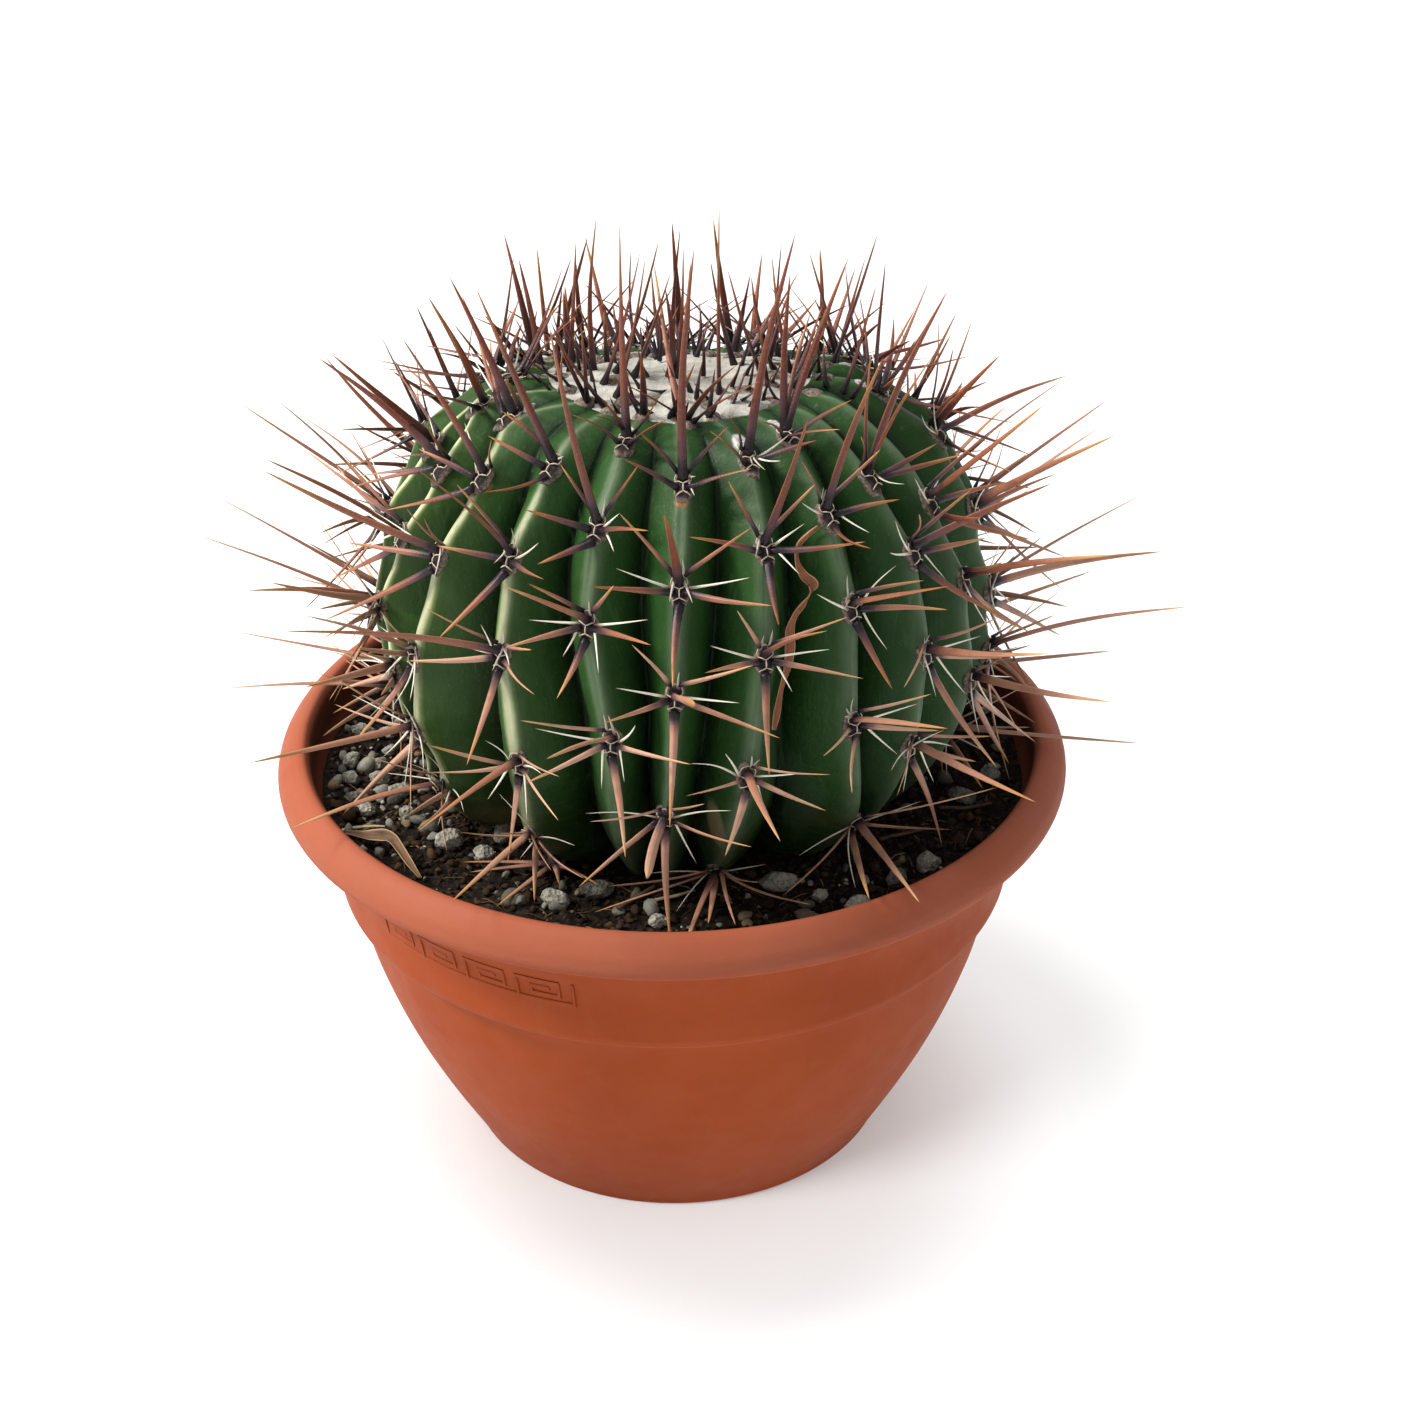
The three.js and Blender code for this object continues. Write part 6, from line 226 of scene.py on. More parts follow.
     [0,[-527,-964,2070],[-0.5,-0.85,-0.13],[-0.07,-0.11,0.99],[4,-625,-1079,2242,-552,-957,2082,1,-819,-1025,2194,-547,-958,2069,0,-807,-1662,2259,-531,-972,2099,1,-832,-941,2036,-547,-958,2069,4,-435,-1201,2183,-508,-983,2082,3,-373,-1270,2213,-520,-983,2124,1,-378,-1339,2086,-512,-979,2069,2,-580,-996,1689,-527,-964,2031,4,-639,-949,1929,-552,-957,2082,4,-502,-1038,1899,-508,-983,2082]],
     [0,[-496,-800,1681],[-0.46,-0.69,-0.56],[-0.31,-0.46,0.83],[1,-731,-1058,1866,-516,-793,1678,3,-596,-1074,1870,-503,-838,1725,4,-591,-1046,2010,-481,-824,1689,4,-341,-1059,1805,-481,-824,1689,2,-477,-1227,1690,-487,-786,1646,1,-309,-1163,1738,-481,-815,1678,0,-747,-1339,1771,-508,-818,1704,4,-554,-724,1536,-481,-824,1689,3,-420,-1123,1745,-503,-838,1725]]],
    [[1,[-49,-279,3119],[-0.01,-0.04,1.0],[0.32,0.95,0.04],[8,-90,-283,3166,3,-200,3115,7,-1,-245,3513,11,-71,3121]],
     [1,[-87,-393,3112],[-0.01,-0.04,1.0],[0.32,0.95,0.04],[8,-157,-415,3246,-95,-390,3115,7,-85,-527,3397,-81,-395,3115]],
     [0,[-145,-604,3102],[-0.09,-0.28,0.96],[0.28,0.91,0.29],[0,-146,-471,3833,-137,-578,3114,1,-311,-907,3346,-165,-599,3106,3,-233,-798,3290,-144,-549,3121,1,-4,-871,3306,-126,-611,3106,3,-39,-795,3332,-115,-559,3121,3,-214,-798,3352,-144,-549,3121]],
     [0,[-241,-860,2909],[-0.24,-0.71,0.66],[0.21,0.63,0.75],[0,-363,-997,3690,-236,-845,2935,3,-353,-817,3131,-246,-824,2954,3,-96,-931,3175,-216,-834,2954,4,-162,-889,2984,-215,-864,2922,5,-209,-848,3017,-221,-841,2944,1,-471,-877,2997,-262,-857,2912,1,-65,-1183,3064,-223,-870,2912,2,-430,-992,2855,-250,-888,2883,4,-180,-1029,2915,-215,-864,2922]],
     [0,[-276,-1006,2625],[-0.29,-0.91,0.3],[0.09,0.29,0.95],[0,-522,-1446,3016,-275,-1002,2655,3,-458,-1068,2823,-288,-990,2679,3,-179,-1185,2873,-258,-999,2679,5,-266,-1021,2734,-262,-1002,2667,4,-464,-1017,2663,-301,-999,2638,4,-74,-1137,2722,-252,-1014,2638,1,-544,-1086,2598,-297,-1004,2626,1,-64,-1281,2707,-258,-1016,2626,2,-378,-1147,2437,-281,-1021,2589,4,-356,-1070,2554,-301,-999,2638,4,-238,-1139,2528,-252,-1014,2638]],
     [0,[-203,-1098,2230],[-0.22,-0.97,0.05],[0.01,0.05,1.0],[5,-227,-1123,2362,-217,-1098,2273,5,-211,-1131,2363,-192,-1104,2273,3,-496,-1223,2402,-219,-1097,2285,4,-452,-1146,2325,-230,-1097,2243,4,-120,-1230,2381,-179,-1108,2243,0,-389,-1710,2547,-204,-1102,2260,1,-488,-1197,2145,-225,-1099,2230,1,59,-1370,2313,-185,-1108,2230,2,-163,-1273,1892,-205,-1105,2191,4,-239,-1163,2099,-230,-1097,2243,4,-162,-1173,2128,-179,-1108,2243]]],
]
# Stones: x, y, length, width, turn, height.
STONES = [
  [-122, 26.5, 9.5, 6.5, 20, 5.5],
  [-112, 25.5, 8, 5.5, -15, 4.5],
  [-110, 13, 6.5, 5, 40, 3.5],
  [-124.2, 4.5, 7.6, 7.4, 5, 5.5],
  [-113.5, 1.8, 9, 6, 10, 5],
  [-122.5, -9, 8.6, 6.6, -20, 5],
  [-111.8, -8.6, 7.6, 6.4, 15, 5],
  [-121, -21, 7.4, 5.4, 25, 4],
  [-115.5, -30.5, 9, 6.4, -35, 5],
  [-103.5, -19, 10.5, 6.6, 5, 6],
  [-99.6, -35, 5.6, 8, 10, 5.5],
  [-82, -54, 11, 9, 25, 7],
  [-68.8, -63.5, 8.5, 7, 15, 5.5],
  [-62.5, -50, 8.5, 8, 0, 6.5],
  [-42.5, -91.6, 11.5, 8, -20, 5],
  [-27.4, -87, 13.5, 8.5, 5, 5.5],
  [-6, -106.5, 8, 5.5, 10, 4],
  [37.3, -83.5, 13, 10, 0, 6],
  [51.5, -91.6, 7, 5, 30, 4],
  [64, -98.6, 11, 6.5, 25, 5],
  [91.5, -74, 9.5, 9, 0, 7],
  [79.5, -83.5, 9, 7, 30, 6],
  [121.4, -12, 9.5, 8.5, 60, 6],
  [109, -27.4, 12, 7.6, -20, 5],
]
# Path, width and direction of the width.
RIBBON_PATH = [
  [49.6, -80.8, 288.6, 1.8, -0.47, -0.16, 0.87],
  [46.4, -80.0, 285.2, 2.2, -0.23, -0.41, 0.88],
  [42.9, -82.6, 282.2, 2.6, -0.51, -0.49, 0.71],
  [42.6, -85.7, 278.0, 3.0, -0.85, -0.51, 0.12],
  [44.5, -87.2, 273.9, 3.6, -0.83, -0.31, -0.46],
  [47.5, -88.0, 270.8, 4.4, -0.95, 0.09, -0.31],
  [46.4, -89.8, 267.9, 1.8, -0.09, -0.79, 0.61],
  [44.8, -91.5, 265.6, 2.2, -0.41, -0.52, 0.74],
  [41.7, -93.5, 262.1, 3.0, -0.67, -0.41, 0.62],
  [40.0, -94.6, 257.3, 4.4, -0.9, -0.34, 0.25],
  [39.9, -96.1, 251.7, 4.4, -0.94, -0.3, 0.15],
  [39.1, -97.9, 245.3, 3.6, -0.89, -0.34, 0.29],
  [37.0, -99.9, 238.0, 3.0, -0.85, -0.41, 0.33],
  [35.6, -102.5, 231.4, 2.8, -0.85, -0.41, 0.33],
  [34.2, -106.0, 225.4, 1.8, -0.8, -0.49, 0.34],
]
LEAF_PATH = [
      [-121, -47.4, 149.6, 1.6, 0.4, 1, 0.1],
      [-115.2, -51, 150.6, 4.4, 0.43, 0.9, 0.3],
      [-110.5, -53.2, 151.4, 6, 0.4, 0.9, 0.45],
      [-106, -54.6, 151.9, 6.6, 0.5, 0.9, 0.4],
      [-102.5, -57.2, 152, 6, 0.85, 0.6, 0.25],
      [-99.4, -62.8, 151.5, 4.9, 0.95, 0.42, 0.12],
      [-95.6, -70.6, 150.8, 3.8, 0.95, 0.42, 0.05],
      [-91, -79.6, 150.3, 2, 0.95, 0.42, -0.05],
    ]


# ---------------------------------------------------------------- small maths
def smooth(a, b, x):
    t = np.clip((np.asarray(x, float) - a) / (b - a), 0, 1)
    return t * t * (3 - 2 * t)


def spline(x, xs, ys):
    """Cubic through the points, with one-sided slopes at the ends. xs ascend."""
    xs = np.asarray(xs, float)
    ys = np.asarray(ys, float)
    x = np.asarray(x, float)
    if len(xs) < 3:
        return np.interp(x, xs, ys)
    m = np.empty(len(xs))
    m[1:-1] = (ys[2:] - ys[:-2]) / (xs[2:] - xs[:-2])
    m[0] = (ys[1] - ys[0]) / (xs[1] - xs[0])
    m[-1] = (ys[-1] - ys[-2]) / (xs[-1] - xs[-2])
    i = np.clip(np.searchsorted(xs, x) - 1, 0, len(xs) - 2)
    h = xs[i + 1] - xs[i]
    t = np.clip((x - xs[i]) / h, 0, 1)
    return (
        (2 * t**3 - 3 * t**2 + 1) * ys[i]
        + (t**3 - 2 * t**2 + t) * h * m[i]
        + (-2 * t**3 + 3 * t**2) * ys[i + 1]
        + (t**3 - t**2) * h * m[i + 1]
    )


def lattice(p, seed):
    """One random number from -1 to 1 for each whole-numbered point."""
    p = p.astype(np.int64)
    h = (p[..., 0] * 374761393 + p[..., 1] * 668265263 + p[..., 2] * 2147483647 + seed * 974634777) & 0xFFFFFFFF
    h = ((h ^ (h >> 13)) * 1274126177) & 0xFFFFFFFF
    h = h ^ (h >> 16)
    return (h & 0xFFFF) / 32767.5 - 1


def noise3(p, seed=0):
    """Smooth value noise of points given in cells."""
    p = np.asarray(p, float)
    i = np.floor(p)
    f = p - i
    f = f * f * (3 - 2 * f)
    out = 0
    for dx in (0, 1):
        for dy in (0, 1):
            for dz in (0, 1):
                w = (
                    (f[..., 0] if dx else 1 - f[..., 0])
                    * (f[..., 1] if dy else 1 - f[..., 1])
                    * (f[..., 2] if dz else 1 - f[..., 2])
                )
                out = out + w * lattice(i + np.array([dx, dy, dz]), seed)
    return out


def fractal(p, size, octaves=3, seed=0, gain=0.5):
    """Sum of noises; size is the largest feature in millimetres."""
    total, amp = 0, 1.0
    for o in range(octaves):
        total = total + amp * noise3(np.asarray(p) / size * 2**o + 17.3 * o, seed + o)
        amp *= gain
    return total


def unit(v):
    v = np.asarray(v, float)
    return v / np.maximum(np.linalg.norm(v, axis=-1, keepdims=True), 1e-9)


# ---------------------------------------------------------------- mesh helpers
class Soup:
    """Collects vertices, faces and per-vertex numbers of one object."""

    def __init__(self):
        self.v, self.f, self.a, self.n = [], [], {}, 0

    def add(self, verts, faces, **attrs):
        verts = np.asarray(verts, float).reshape(-1, 3)
        for f in faces:
            self.f.append(np.asarray(f, int) + self.n)
        for k in set(self.a) | set(attrs):
            if k not in self.a:
                self.a[k] = [np.zeros(self.n)]
            value = attrs.get(k, 0.0)
            self.a[k].append(np.broadcast_to(np.asarray(value, float), (len(verts),)).copy())
        self.v.append(verts)
        self.n += len(verts)

    def drooped(self):
        """The far side of the crown droops: heights there fall away behind the middle."""
        for v in self.v:
            behind = np.maximum(0, v[:, 1] + 12)
            far = np.where(behind < 30, behind**2 / 60, behind - 15)
            v[:, 2] -= 0.26 * far * smooth(230, 305, v[:, 2])
        return self

    def object(self, name, material, replaces=(), slot=None, flat=False):
        me = bpy.data.meshes.new(name)
        faces = []
        for block in self.f:
            faces.extend(block.tolist())
        me.from_pydata((np.vstack(self.v) * MM).tolist(), [], faces)
        for k, parts in self.a.items():
            data = me.attributes.new(k, "FLOAT", "POINT").data
            data.foreach_set("value", np.concatenate(parts).astype(np.float32))
        me.polygons.foreach_set("use_smooth", [not flat] * len(me.polygons))
        me.update()
        o = bpy.data.objects.new(name, me)
        bpy.context.scene.collection.objects.link(o)
        me.materials.append(material)
        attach(o, "root")
        if replaces:
            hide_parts(*replaces)
        return o


def grid_faces(rows, cols, closed=False, flip=False):
    """Quads of a grid whose vertices are stored row by row; closed joins the last column to the first."""
    c = cols if closed else cols - 1
    i, j = np.meshgrid(np.arange(rows - 1), np.arange(c), indexing="ij")
    a = i * cols + j
    b = i * cols + (j + 1) % cols
    q = np.stack([a, a + cols, b + cols, b], -1).reshape(-1, 4)
    return q[:, ::-1] if flip else q


def fan(centre, start, count, flip=False):
    j = np.arange(count)
    q = np.stack([np.full(count, centre), start + j, start + (j + 1) % count], -1)
    return q[:, ::-1] if flip else q


def tube(path, radius, sides=6, squash=1.0, up=(0, 0, 1)):
    """Rings of a closed rod; returns vertices and faces."""
    path = np.asarray(path, float)
    radius = np.broadcast_to(np.asarray(radius, float), (len(path),))
    t = unit(np.gradient(path, axis=0))
    s = np.cross(t, np.asarray(up, float))
    s = unit(np.where(np.linalg.norm(s, axis=1, keepdims=True) < 1e-3, np.array([1.0, 0, 0]), s))
    n = np.cross(s, t)
    a = np.arange(sides) / sides * 2 * np.pi
    ring = s[:, None] * np.cos(a)[None, :, None] + n[:, None] * (np.sin(a) * squash)[None, :, None]
    v = (path[:, None] + ring * radius[:, None, None]).reshape(-1, 3)
    v = np.vstack([v, path[:1], path[-1:]])
    k = len(path) * sides
    return v, [grid_faces(len(path), sides, True), fan(k, 0, sides), fan(k + 1, k - sides, sides, True)]


def ico(level):
    import bmesh

    bm = bmesh.new()
    bmesh.ops.create_icosphere(bm, subdivisions=level, radius=1.0)
    v = np.array([p.co[:] for p in bm.verts])
    f = np.array([[p.index for p in face.verts] for face in bm.faces])
    bm.free()
    return v, f


ICO1, ICO2, ICO4 = ico(1), ico(2), ico(4)


# ---------------------------------------------------------------- material helpers
class Mat:
    def __init__(self, name):
        self.m = bpy.data.materials.new(name)
        self.m.use_nodes = True
        self.t = self.m.node_tree
        self.b = self.t.nodes["Principled BSDF"]
        self.obj = self.new("ShaderNodeTexCoord").outputs["Object"]

    def new(self, kind, **props):
        n = self.t.nodes.new(kind)
        for k, v in props.items():
            setattr(n, k, v)
        return n

    def put(self, socket, value):
        if isinstance(value, bpy.types.NodeSocket):
            self.t.links.new(value, socket)
        else:
            socket.default_value = value

    def attr(self, name):
        return self.new("ShaderNodeAttribute", attribute_name=name).outputs["Fac"]

    def scaled(self, vec, x, y, z):
        n = self.new("ShaderNodeMapping")
        self.put(n.inputs["Vector"], vec)
        n.inputs["Scale"].default_value = (x, y, z)
        return n.outputs["Vector"]

    def noise(self, scale, detail=4.0, rough=0.55, vec=None, distort=0.0):
        n = self.new("ShaderNodeTexNoise")
        self.put(n.inputs["Vector"], vec or self.obj)
        n.inputs["Scale"].default_value = scale
        n.inputs["Detail"].default_value = detail
        n.inputs["Roughness"].default_value = rough
        n.inputs["Distortion"].default_value = distort
        return n.outputs["Fac"]

    def cells(self, scale, vec=None, feature="F1"):
        n = self.new("ShaderNodeTexVoronoi", feature=feature)
        self.put(n.inputs["Vector"], vec or self.obj)
        n.inputs["Scale"].default_value = scale
        return n.outputs["Distance"]

    def math(self, op, a, b=0.0, c=None, clamp=False):
        n = self.new("ShaderNodeMath", operation=op, use_clamp=clamp)
        self.put(n.inputs[0], a)
        self.put(n.inputs[1], b)
        if c is not None:
            self.put(n.inputs[2], c)
        return n.outputs[0]

    def map(self, value, a, b, c=0.0, d=1.0, kind="SMOOTHSTEP"):
        n = self.new("ShaderNodeMapRange", interpolation_type=kind)
        self.put(n.inputs["Value"], value)
        for k, v in zip(("From Min", "From Max", "To Min", "To Max"), (a, b, c, d)):
            n.inputs[k].default_value = v
        return n.outputs["Result"]

    def ramp(self, value, stops):
        n = self.new("ShaderNodeValToRGB")
        self.put(n.inputs["Fac"], value)
        e = n.color_ramp.elements
        while len(e) < len(stops):
            e.new(0.5)
        for slot, (p, c) in zip(e, stops):
            slot.position = p
            slot.color = (*c, 1.0)
        return n.outputs["Color"]

    def mix(self, fac, a, b, blend="MIX"):
        n = self.new("ShaderNodeMix", data_type="RGBA", blend_type=blend)
        self.put(n.inputs[0], fac)
        for s, v in ((n.inputs[6], a), (n.inputs[7], b)):
            self.put(s, v if isinstance(v, bpy.types.NodeSocket) else (*v, 1.0))
        return n.outputs[2]

    def bump(self, height, strength, distance, normal=None):
        n = self.new("ShaderNodeBump")
        n.inputs["Strength"].default_value = strength
        n.inputs["Distance"].default_value = distance
        self.put(n.inputs["Height"], height)
        if normal is not None:
            self.put(n.inputs["Normal"], normal)
        return n.outputs["Normal"]

    def done(self, colour, rough=None, normal=None, **sockets):
        self.put(self.b.inputs["Base Color"], colour)
        if rough is not None:
            self.put(self.b.inputs["Roughness"], rough)
        if normal is not None:
            self.put(self.b.inputs["Normal"], normal)
        for k, v in sockets.items():
            self.b.inputs[k.replace("_", " ")].default_value = v
        return self.m


# ---------------------------------------------------------------- cactus body
PSI_TABLE = np.arange(-65, 91, 5.0)
RHO_TABLE = np.array(RHO)[::-1]
FURROW_PSI = np.array([-52, -43, -34, -25, -16, -7, 2, 11, 20, 28, 36, 44, 52, 56.1, 59.9, 62])
FURROW_MM = np.array([9.5, 14, 17.5, 20.5, 22, 23, 23, 22.5, 20.5, 17.5, 13.5, 9.5, 5.5, 3, 1, 0.0])


def crest_radius(psi):
    return spline(psi, PSI_TABLE, RHO_TABLE)


def rib_azimuth(k, psi):
    base, at, shift = RIB_PATH[k % RIBS]
    v = np.interp(np.asarray(psi, float), at, shift) * 0.5 + spline(psi, at, shift) * 0.5
    return base + v * np.clip((62 - np.asarray(psi, float)) / 14, 0, 1) ** 1.0


AREOLE_PSI = [[] for _ in range(RIBS)]
for k, row in enumerate(AREOLES):
    for crown, q, n, u, spines in row:
        if not crown:
            r = math.hypot(q[0] / 10 - BODY_X, q[1] / 10 - BODY_Y)
            AREOLE_PSI[k].append(math.degrees(math.atan2(q[2] / 10 - MID_Z, r)))


def foot_swell(x, y, z):
    """The old ribs at the left stand out a little just above the compost."""
    az = np.degrees(np.arctan2(x - BODY_X, -(y - BODY_Y)))
    side = smooth(-28, -52, az) * smooth(-128, -100, az)
    return 6.2 * side * smooth(181, 165, z) * (0.45 + 0.55 * smooth(146, 156, z))


def crest_dip(k, psi):
    """0 at an areole, 1 halfway to the next one, for the swelling under each areole."""
    a = np.array(sorted(AREOLE_PSI[k % RIBS]))
    if len(a) < 2:
        return np.zeros_like(psi)
    i = np.clip(np.searchsorted(a, psi) - 1, 0, len(a) - 2)
    f = np.clip((psi - a[i]) / (a[i + 1] - a[i]), 0, 1)
    return np.sin(np.pi * f**1.35) ** 2 * (psi > a[0]) * (psi < a[-1])


def body():
    ACROSS = 30
    psi = np.concatenate([np.linspace(61.5, 50, 24, endpoint=False), np.linspace(50, -52, 230)])
    rows = []
    t = np.arange(ACROSS) / ACROSS
    top = [(40.0, 308.2), (42.4, 308.9), (44.2, 310.0), (46.6, 310.7)]
    az_cols, s_cols, k_cols = [], [], []
    path = np.stack([rib_azimuth(k, psi) for k in range(RIBS + 1)], 1)
    path[:, RIBS] = path[:, 0] + 360
    for k in range(1, RIBS + 1):
        path[:, k] = path[:, k - 1] + ((path[:, k] - path[:, k - 1]) % 360)
    dip = np.stack([crest_dip(k, psi) for k in range(RIBS + 1)], 1)
    rho = crest_radius(psi)
    depth = np.interp(psi, FURROW_PSI, FURROW_MM)
    V = np.zeros((len(psi), RIBS * ACROSS, 3))
    fold = np.zeros((len(psi), RIBS * ACROSS))
    across = np.zeros_like(fold)
    for k in range(RIBS):
        a = path[:, k : k + 1] * (1 - t) + path[:, k + 1 : k + 2] * t
        s = 2 * np.minimum(t, 1 - t)
        near = np.where(t < 0.5, dip[:, k : k + 1], dip[:, k + 1 : k + 2])
        # a rounded crest, then almost flat flanks
        g = spline(s, [0, 0.06, 0.12, 0.18, 0.26, 0.45, 0.66, 0.88, 1.0], [0, 0.008, 0.032, 0.080, 0.165, 0.36, 0.58, 0.85, 1.0])
        crestness = np.clip(1 - s * 2.2, 0, 1) ** 1.5
        q = rho[:, None] - depth[:, None] * g[None] - near * (1.15 * crestness + 0.5 * np.clip(1 - s, 0, 1)) * smooth(58, 46, psi)[:, None]
        # the furrow ends in a tight crease
        q = q - 1.0 * smooth(0.93, 1.0, s)[None] * smooth(60, 50, psi)[:, None]
        ar, pr = np.radians(a), np.radians(psi)[:, None]
        V[:, k * ACROSS : (k + 1) * ACROSS] = np.stack(
            [BODY_X + q * np.cos(pr) * np.sin(ar), BODY_Y - q * np.cos(pr) * np.cos(ar), MID_Z + q * np.sin(pr) * np.ones_like(ar)], -1
        )
        fold[:, k * ACROSS : (k + 1) * ACROSS] = s
        across[:, k * ACROSS : (k + 1) * ACROSS] = np.where(t < 0.5, t, t - 1) * 2
    out = unit(V - np.array([BODY_X, BODY_Y, MID_Z]))
    wob = fractal(V, 34, 2, 3) * 0.45 + fractal(V * np.array([1, 1, 0.45]), 9, 2, 11) * 0.16
    wob = wob * smooth(0.0, 0.12, fold)
    # cross creases on the old, lower part of the ribs
    low = smooth(-8, -34, psi)[:, None]
    crease = np.sin((V[..., 2] + 3.0 * fractal(V, 22, 2, 31)) * 2 * np.pi / 7.5)
    wob = wob + low * 0.28 * np.clip(crease, -0.2, 1) * smooth(0.05, 0.3, fold) * smooth(0.95, 0.6, fold) * (0.5 + 0.5 * fractal(V, 60, 1, 5))
    V = V + out * wob[..., None]
    flat = unit((V - np.array([BODY_X, BODY_Y, 0])) * np.array([1, 1, 0]))
    V = V + flat * foot_swell(V[..., 0], V[..., 1], V[..., 2])[..., None]
    cols = RIBS * ACROSS
    # shoulder inside the ribs, under the felt
    ring_az = np.radians(path[0, :-1, None] * (1 - t) + path[0, 1:, None] * t).reshape(-1)
    head = [np.stack([BODY_X + r * np.sin(ring_az), BODY_Y - r * np.cos(ring_az), np.full(cols, z)], -1) for r, z in top]
    V = np.concatenate([np.stack(head), V])
    fold = np.concatenate([np.repeat(fold[:1], len(top), 0), fold])
    across = np.concatenate([np.zeros((len(top), cols)), across])
    n = len(V)
    psis = np.concatenate([np.full(len(top), 64.0), psi])
    verts = np.vstack([V.reshape(-1, 3), [[BODY_X, BODY_Y, 308.2], [BODY_X, BODY_Y, 139.5]]])
    s = Soup()
    s.add(
        verts,
        [grid_faces(n, cols, True), fan(n * cols, 0, cols), fan(n * cols + 1, (n - 1) * cols, cols, True)],
        fold=np.append(fold.reshape(-1), [0, 1]),
        across=np.append(across.reshape(-1), [0, 0]),
        high=np.append(np.repeat(psis, cols), [64, -60]) / 90,
        rib=np.append(np.tile(np.repeat(np.arange(RIBS), ACROSS), n), [0, 0]) / RIBS,
    )
    return s


def skin_material():
    m = Mat("cactus_skin")
    fold = m.attr("fold")
    high = m.attr("high")
    where = m.new("ShaderNodeSeparateXYZ")
    m.put(where.inputs[0], m.obj)
    rough_edge = m.math("ADD", fold, m.math("MULTIPLY", m.math("SUBTRACT", m.noise(120, 3, 0.6), 0.5), 0.06))
    # painted light and shade: each rib is painted palest on its crest and darker down its flanks, near black in the
    # furrow's crease, where shade falls
    colour = m.ramp(
        rough_edge,
        [
            (0.0, (0.120, 0.176, 0.102)),
            (0.035, (0.096, 0.146, 0.079)),
            (0.12, (0.074, 0.120, 0.060)),
            (0.20, (0.051, 0.094, 0.038)),
            (0.30, (0.023, 0.066, 0.016)),
            (0.60, (0.016, 0.056, 0.010)),
            (0.88, (0.007, 0.024, 0.0045)),
            (1.0, (0.003, 0.009, 0.003)),
        ],
    )
    # painted light: the left side, where the key light falls, is painted paler and yellower, with pale crests
    painted_left_light = m.map(m.math("ADD", where.outputs[0], m.math("MULTIPLY", m.math("SUBTRACT", m.noise(20, 2, 0.5), 0.5), 0.03)), -0.022, -0.080, 0.0, 1.0)
    painted_lit_skin = m.ramp(
        rough_edge,
        [(0.0, (0.66, 0.64, 0.43)), (0.07, (0.52, 0.53, 0.31)), (0.125, (0.17, 0.21, 0.080)), (0.18, (0.038, 0.080, 0.013)), (0.6, (0.021, 0.060, 0.008)), (1.0, (0.006, 0.013, 0.003))],
    )
    colour = m.mix(m.math("MULTIPLY", painted_left_light, 0.88), colour, painted_lit_skin)
    # cloudy patches, paler bloom and long faint streaks
    cloud = m.noise(32, 3, 0.6)
    colour = m.mix(m.map(cloud, 0.42, 0.72, 0.0, 0.35), colour, (0.018, 0.046, 0.017), "MIX")
    bloom = m.noise(70, 5, 0.7, m.scaled(m.obj, 1, 1, 0.35))
    colour = m.mix(m.map(bloom, 0.52, 0.8, 0.0, 0.22), colour, (0.070, 0.115, 0.058))
    streak = m.noise(260, 3, 0.55, m.scaled(m.obj, 1, 1, 0.07), 0.4)
    colour = m.mix(m.map(streak, 0.58, 0.76, 0.0, 0.32), colour, (0.075, 0.125, 0.052))
    scratch = m.noise(420, 2, 0.5, m.scaled(m.obj, 1.0, 1.0, 0.05), 0.9)
    colour = m.mix(m.map(scratch, 0.70, 0.76, 0.0, 0.22), colour, (0.14, 0.20, 0.10))
    # grey-green bloom left on the older, lower skin
    old = m.map(high, 0.02, -0.34, 0.0, 1.0)
    film = m.map(m.noise(48, 4, 0.6, m.scaled(m.obj, 1, 1, 0.45), 0.6), 0.48, 0.62, 0.0, 0.40)
    colour = m.mix(m.math("MULTIPLY", old, film), colour, (0.074, 0.112, 0.068))
    # yellow-brown, corky lower parts
    low = m.map(high, -0.22, -0.46, 0.0, 1.0)
    patch = m.map(m.noise(24, 4, 0.6), 0.46, 0.66, 0.0, 0.75)
    colour = m.mix(m.math("MULTIPLY", low, patch), colour, (0.150, 0.125, 0.055))
    cork = m.map(m.noise(34, 4, 0.65, m.scaled(m.obj, 1, 1, 0.7)), 0.66, 0.72, 0.0, 0.65)
    colour = m.mix(m.math("MULTIPLY", m.map(high, -0.1, -0.4, 0.0, 1.0), cork), colour, (0.27, 0.235, 0.16))
    # old scars: orange-brown, white wool and cork
    def scar(at, size, tint, strength, squash=(1, 1, 1)):
        gap = m.new("ShaderNodeVectorMath", operation="SUBTRACT")
        m.put(gap.inputs[0], m.obj)
        gap.inputs[1].default_value = tuple(v * 0.001 for v in at)
        span = m.new("ShaderNodeVectorMath", operation="MULTIPLY")
        m.put(span.inputs[0], gap.outputs[0])
        span.inputs[1].default_value = squash
        far = m.new("ShaderNodeVectorMath", operation="LENGTH")
        m.put(far.inputs[0], span.outputs[0])
        ragged = m.math("ADD", far.outputs["Value"], m.math("MULTIPLY", m.math("SUBTRACT", m.noise(420, 3, 0.7), 0.5), 0.0022))
        return m.mix(m.map(ragged, size * 0.0013, size * 0.0008, 0.0, strength), colour, tint)

    colour = scar((4.4, -81.3, 299.3), 2.4, (0.30, 0.12, 0.035), 0.85)
    colour = scar((-62.5, -55.3, 293.5), 2.6, (0.33, 0.17, 0.05), 0.8)
    colour = scar((14.0, -96.4, 181.9), 5.0, (0.30, 0.22, 0.12), 0.7, (1, 1, 0.55))
    colour = scar((24.5, -58.0, 309.7), 4.6, (0.70, 0.70, 0.68), 0.9, (1.7, 1, 1))
    colour = scar((24.5, -58.0, 309.7), 2.2, (0.25, 0.24, 0.22), 0.7, (1.8, 1, 1))
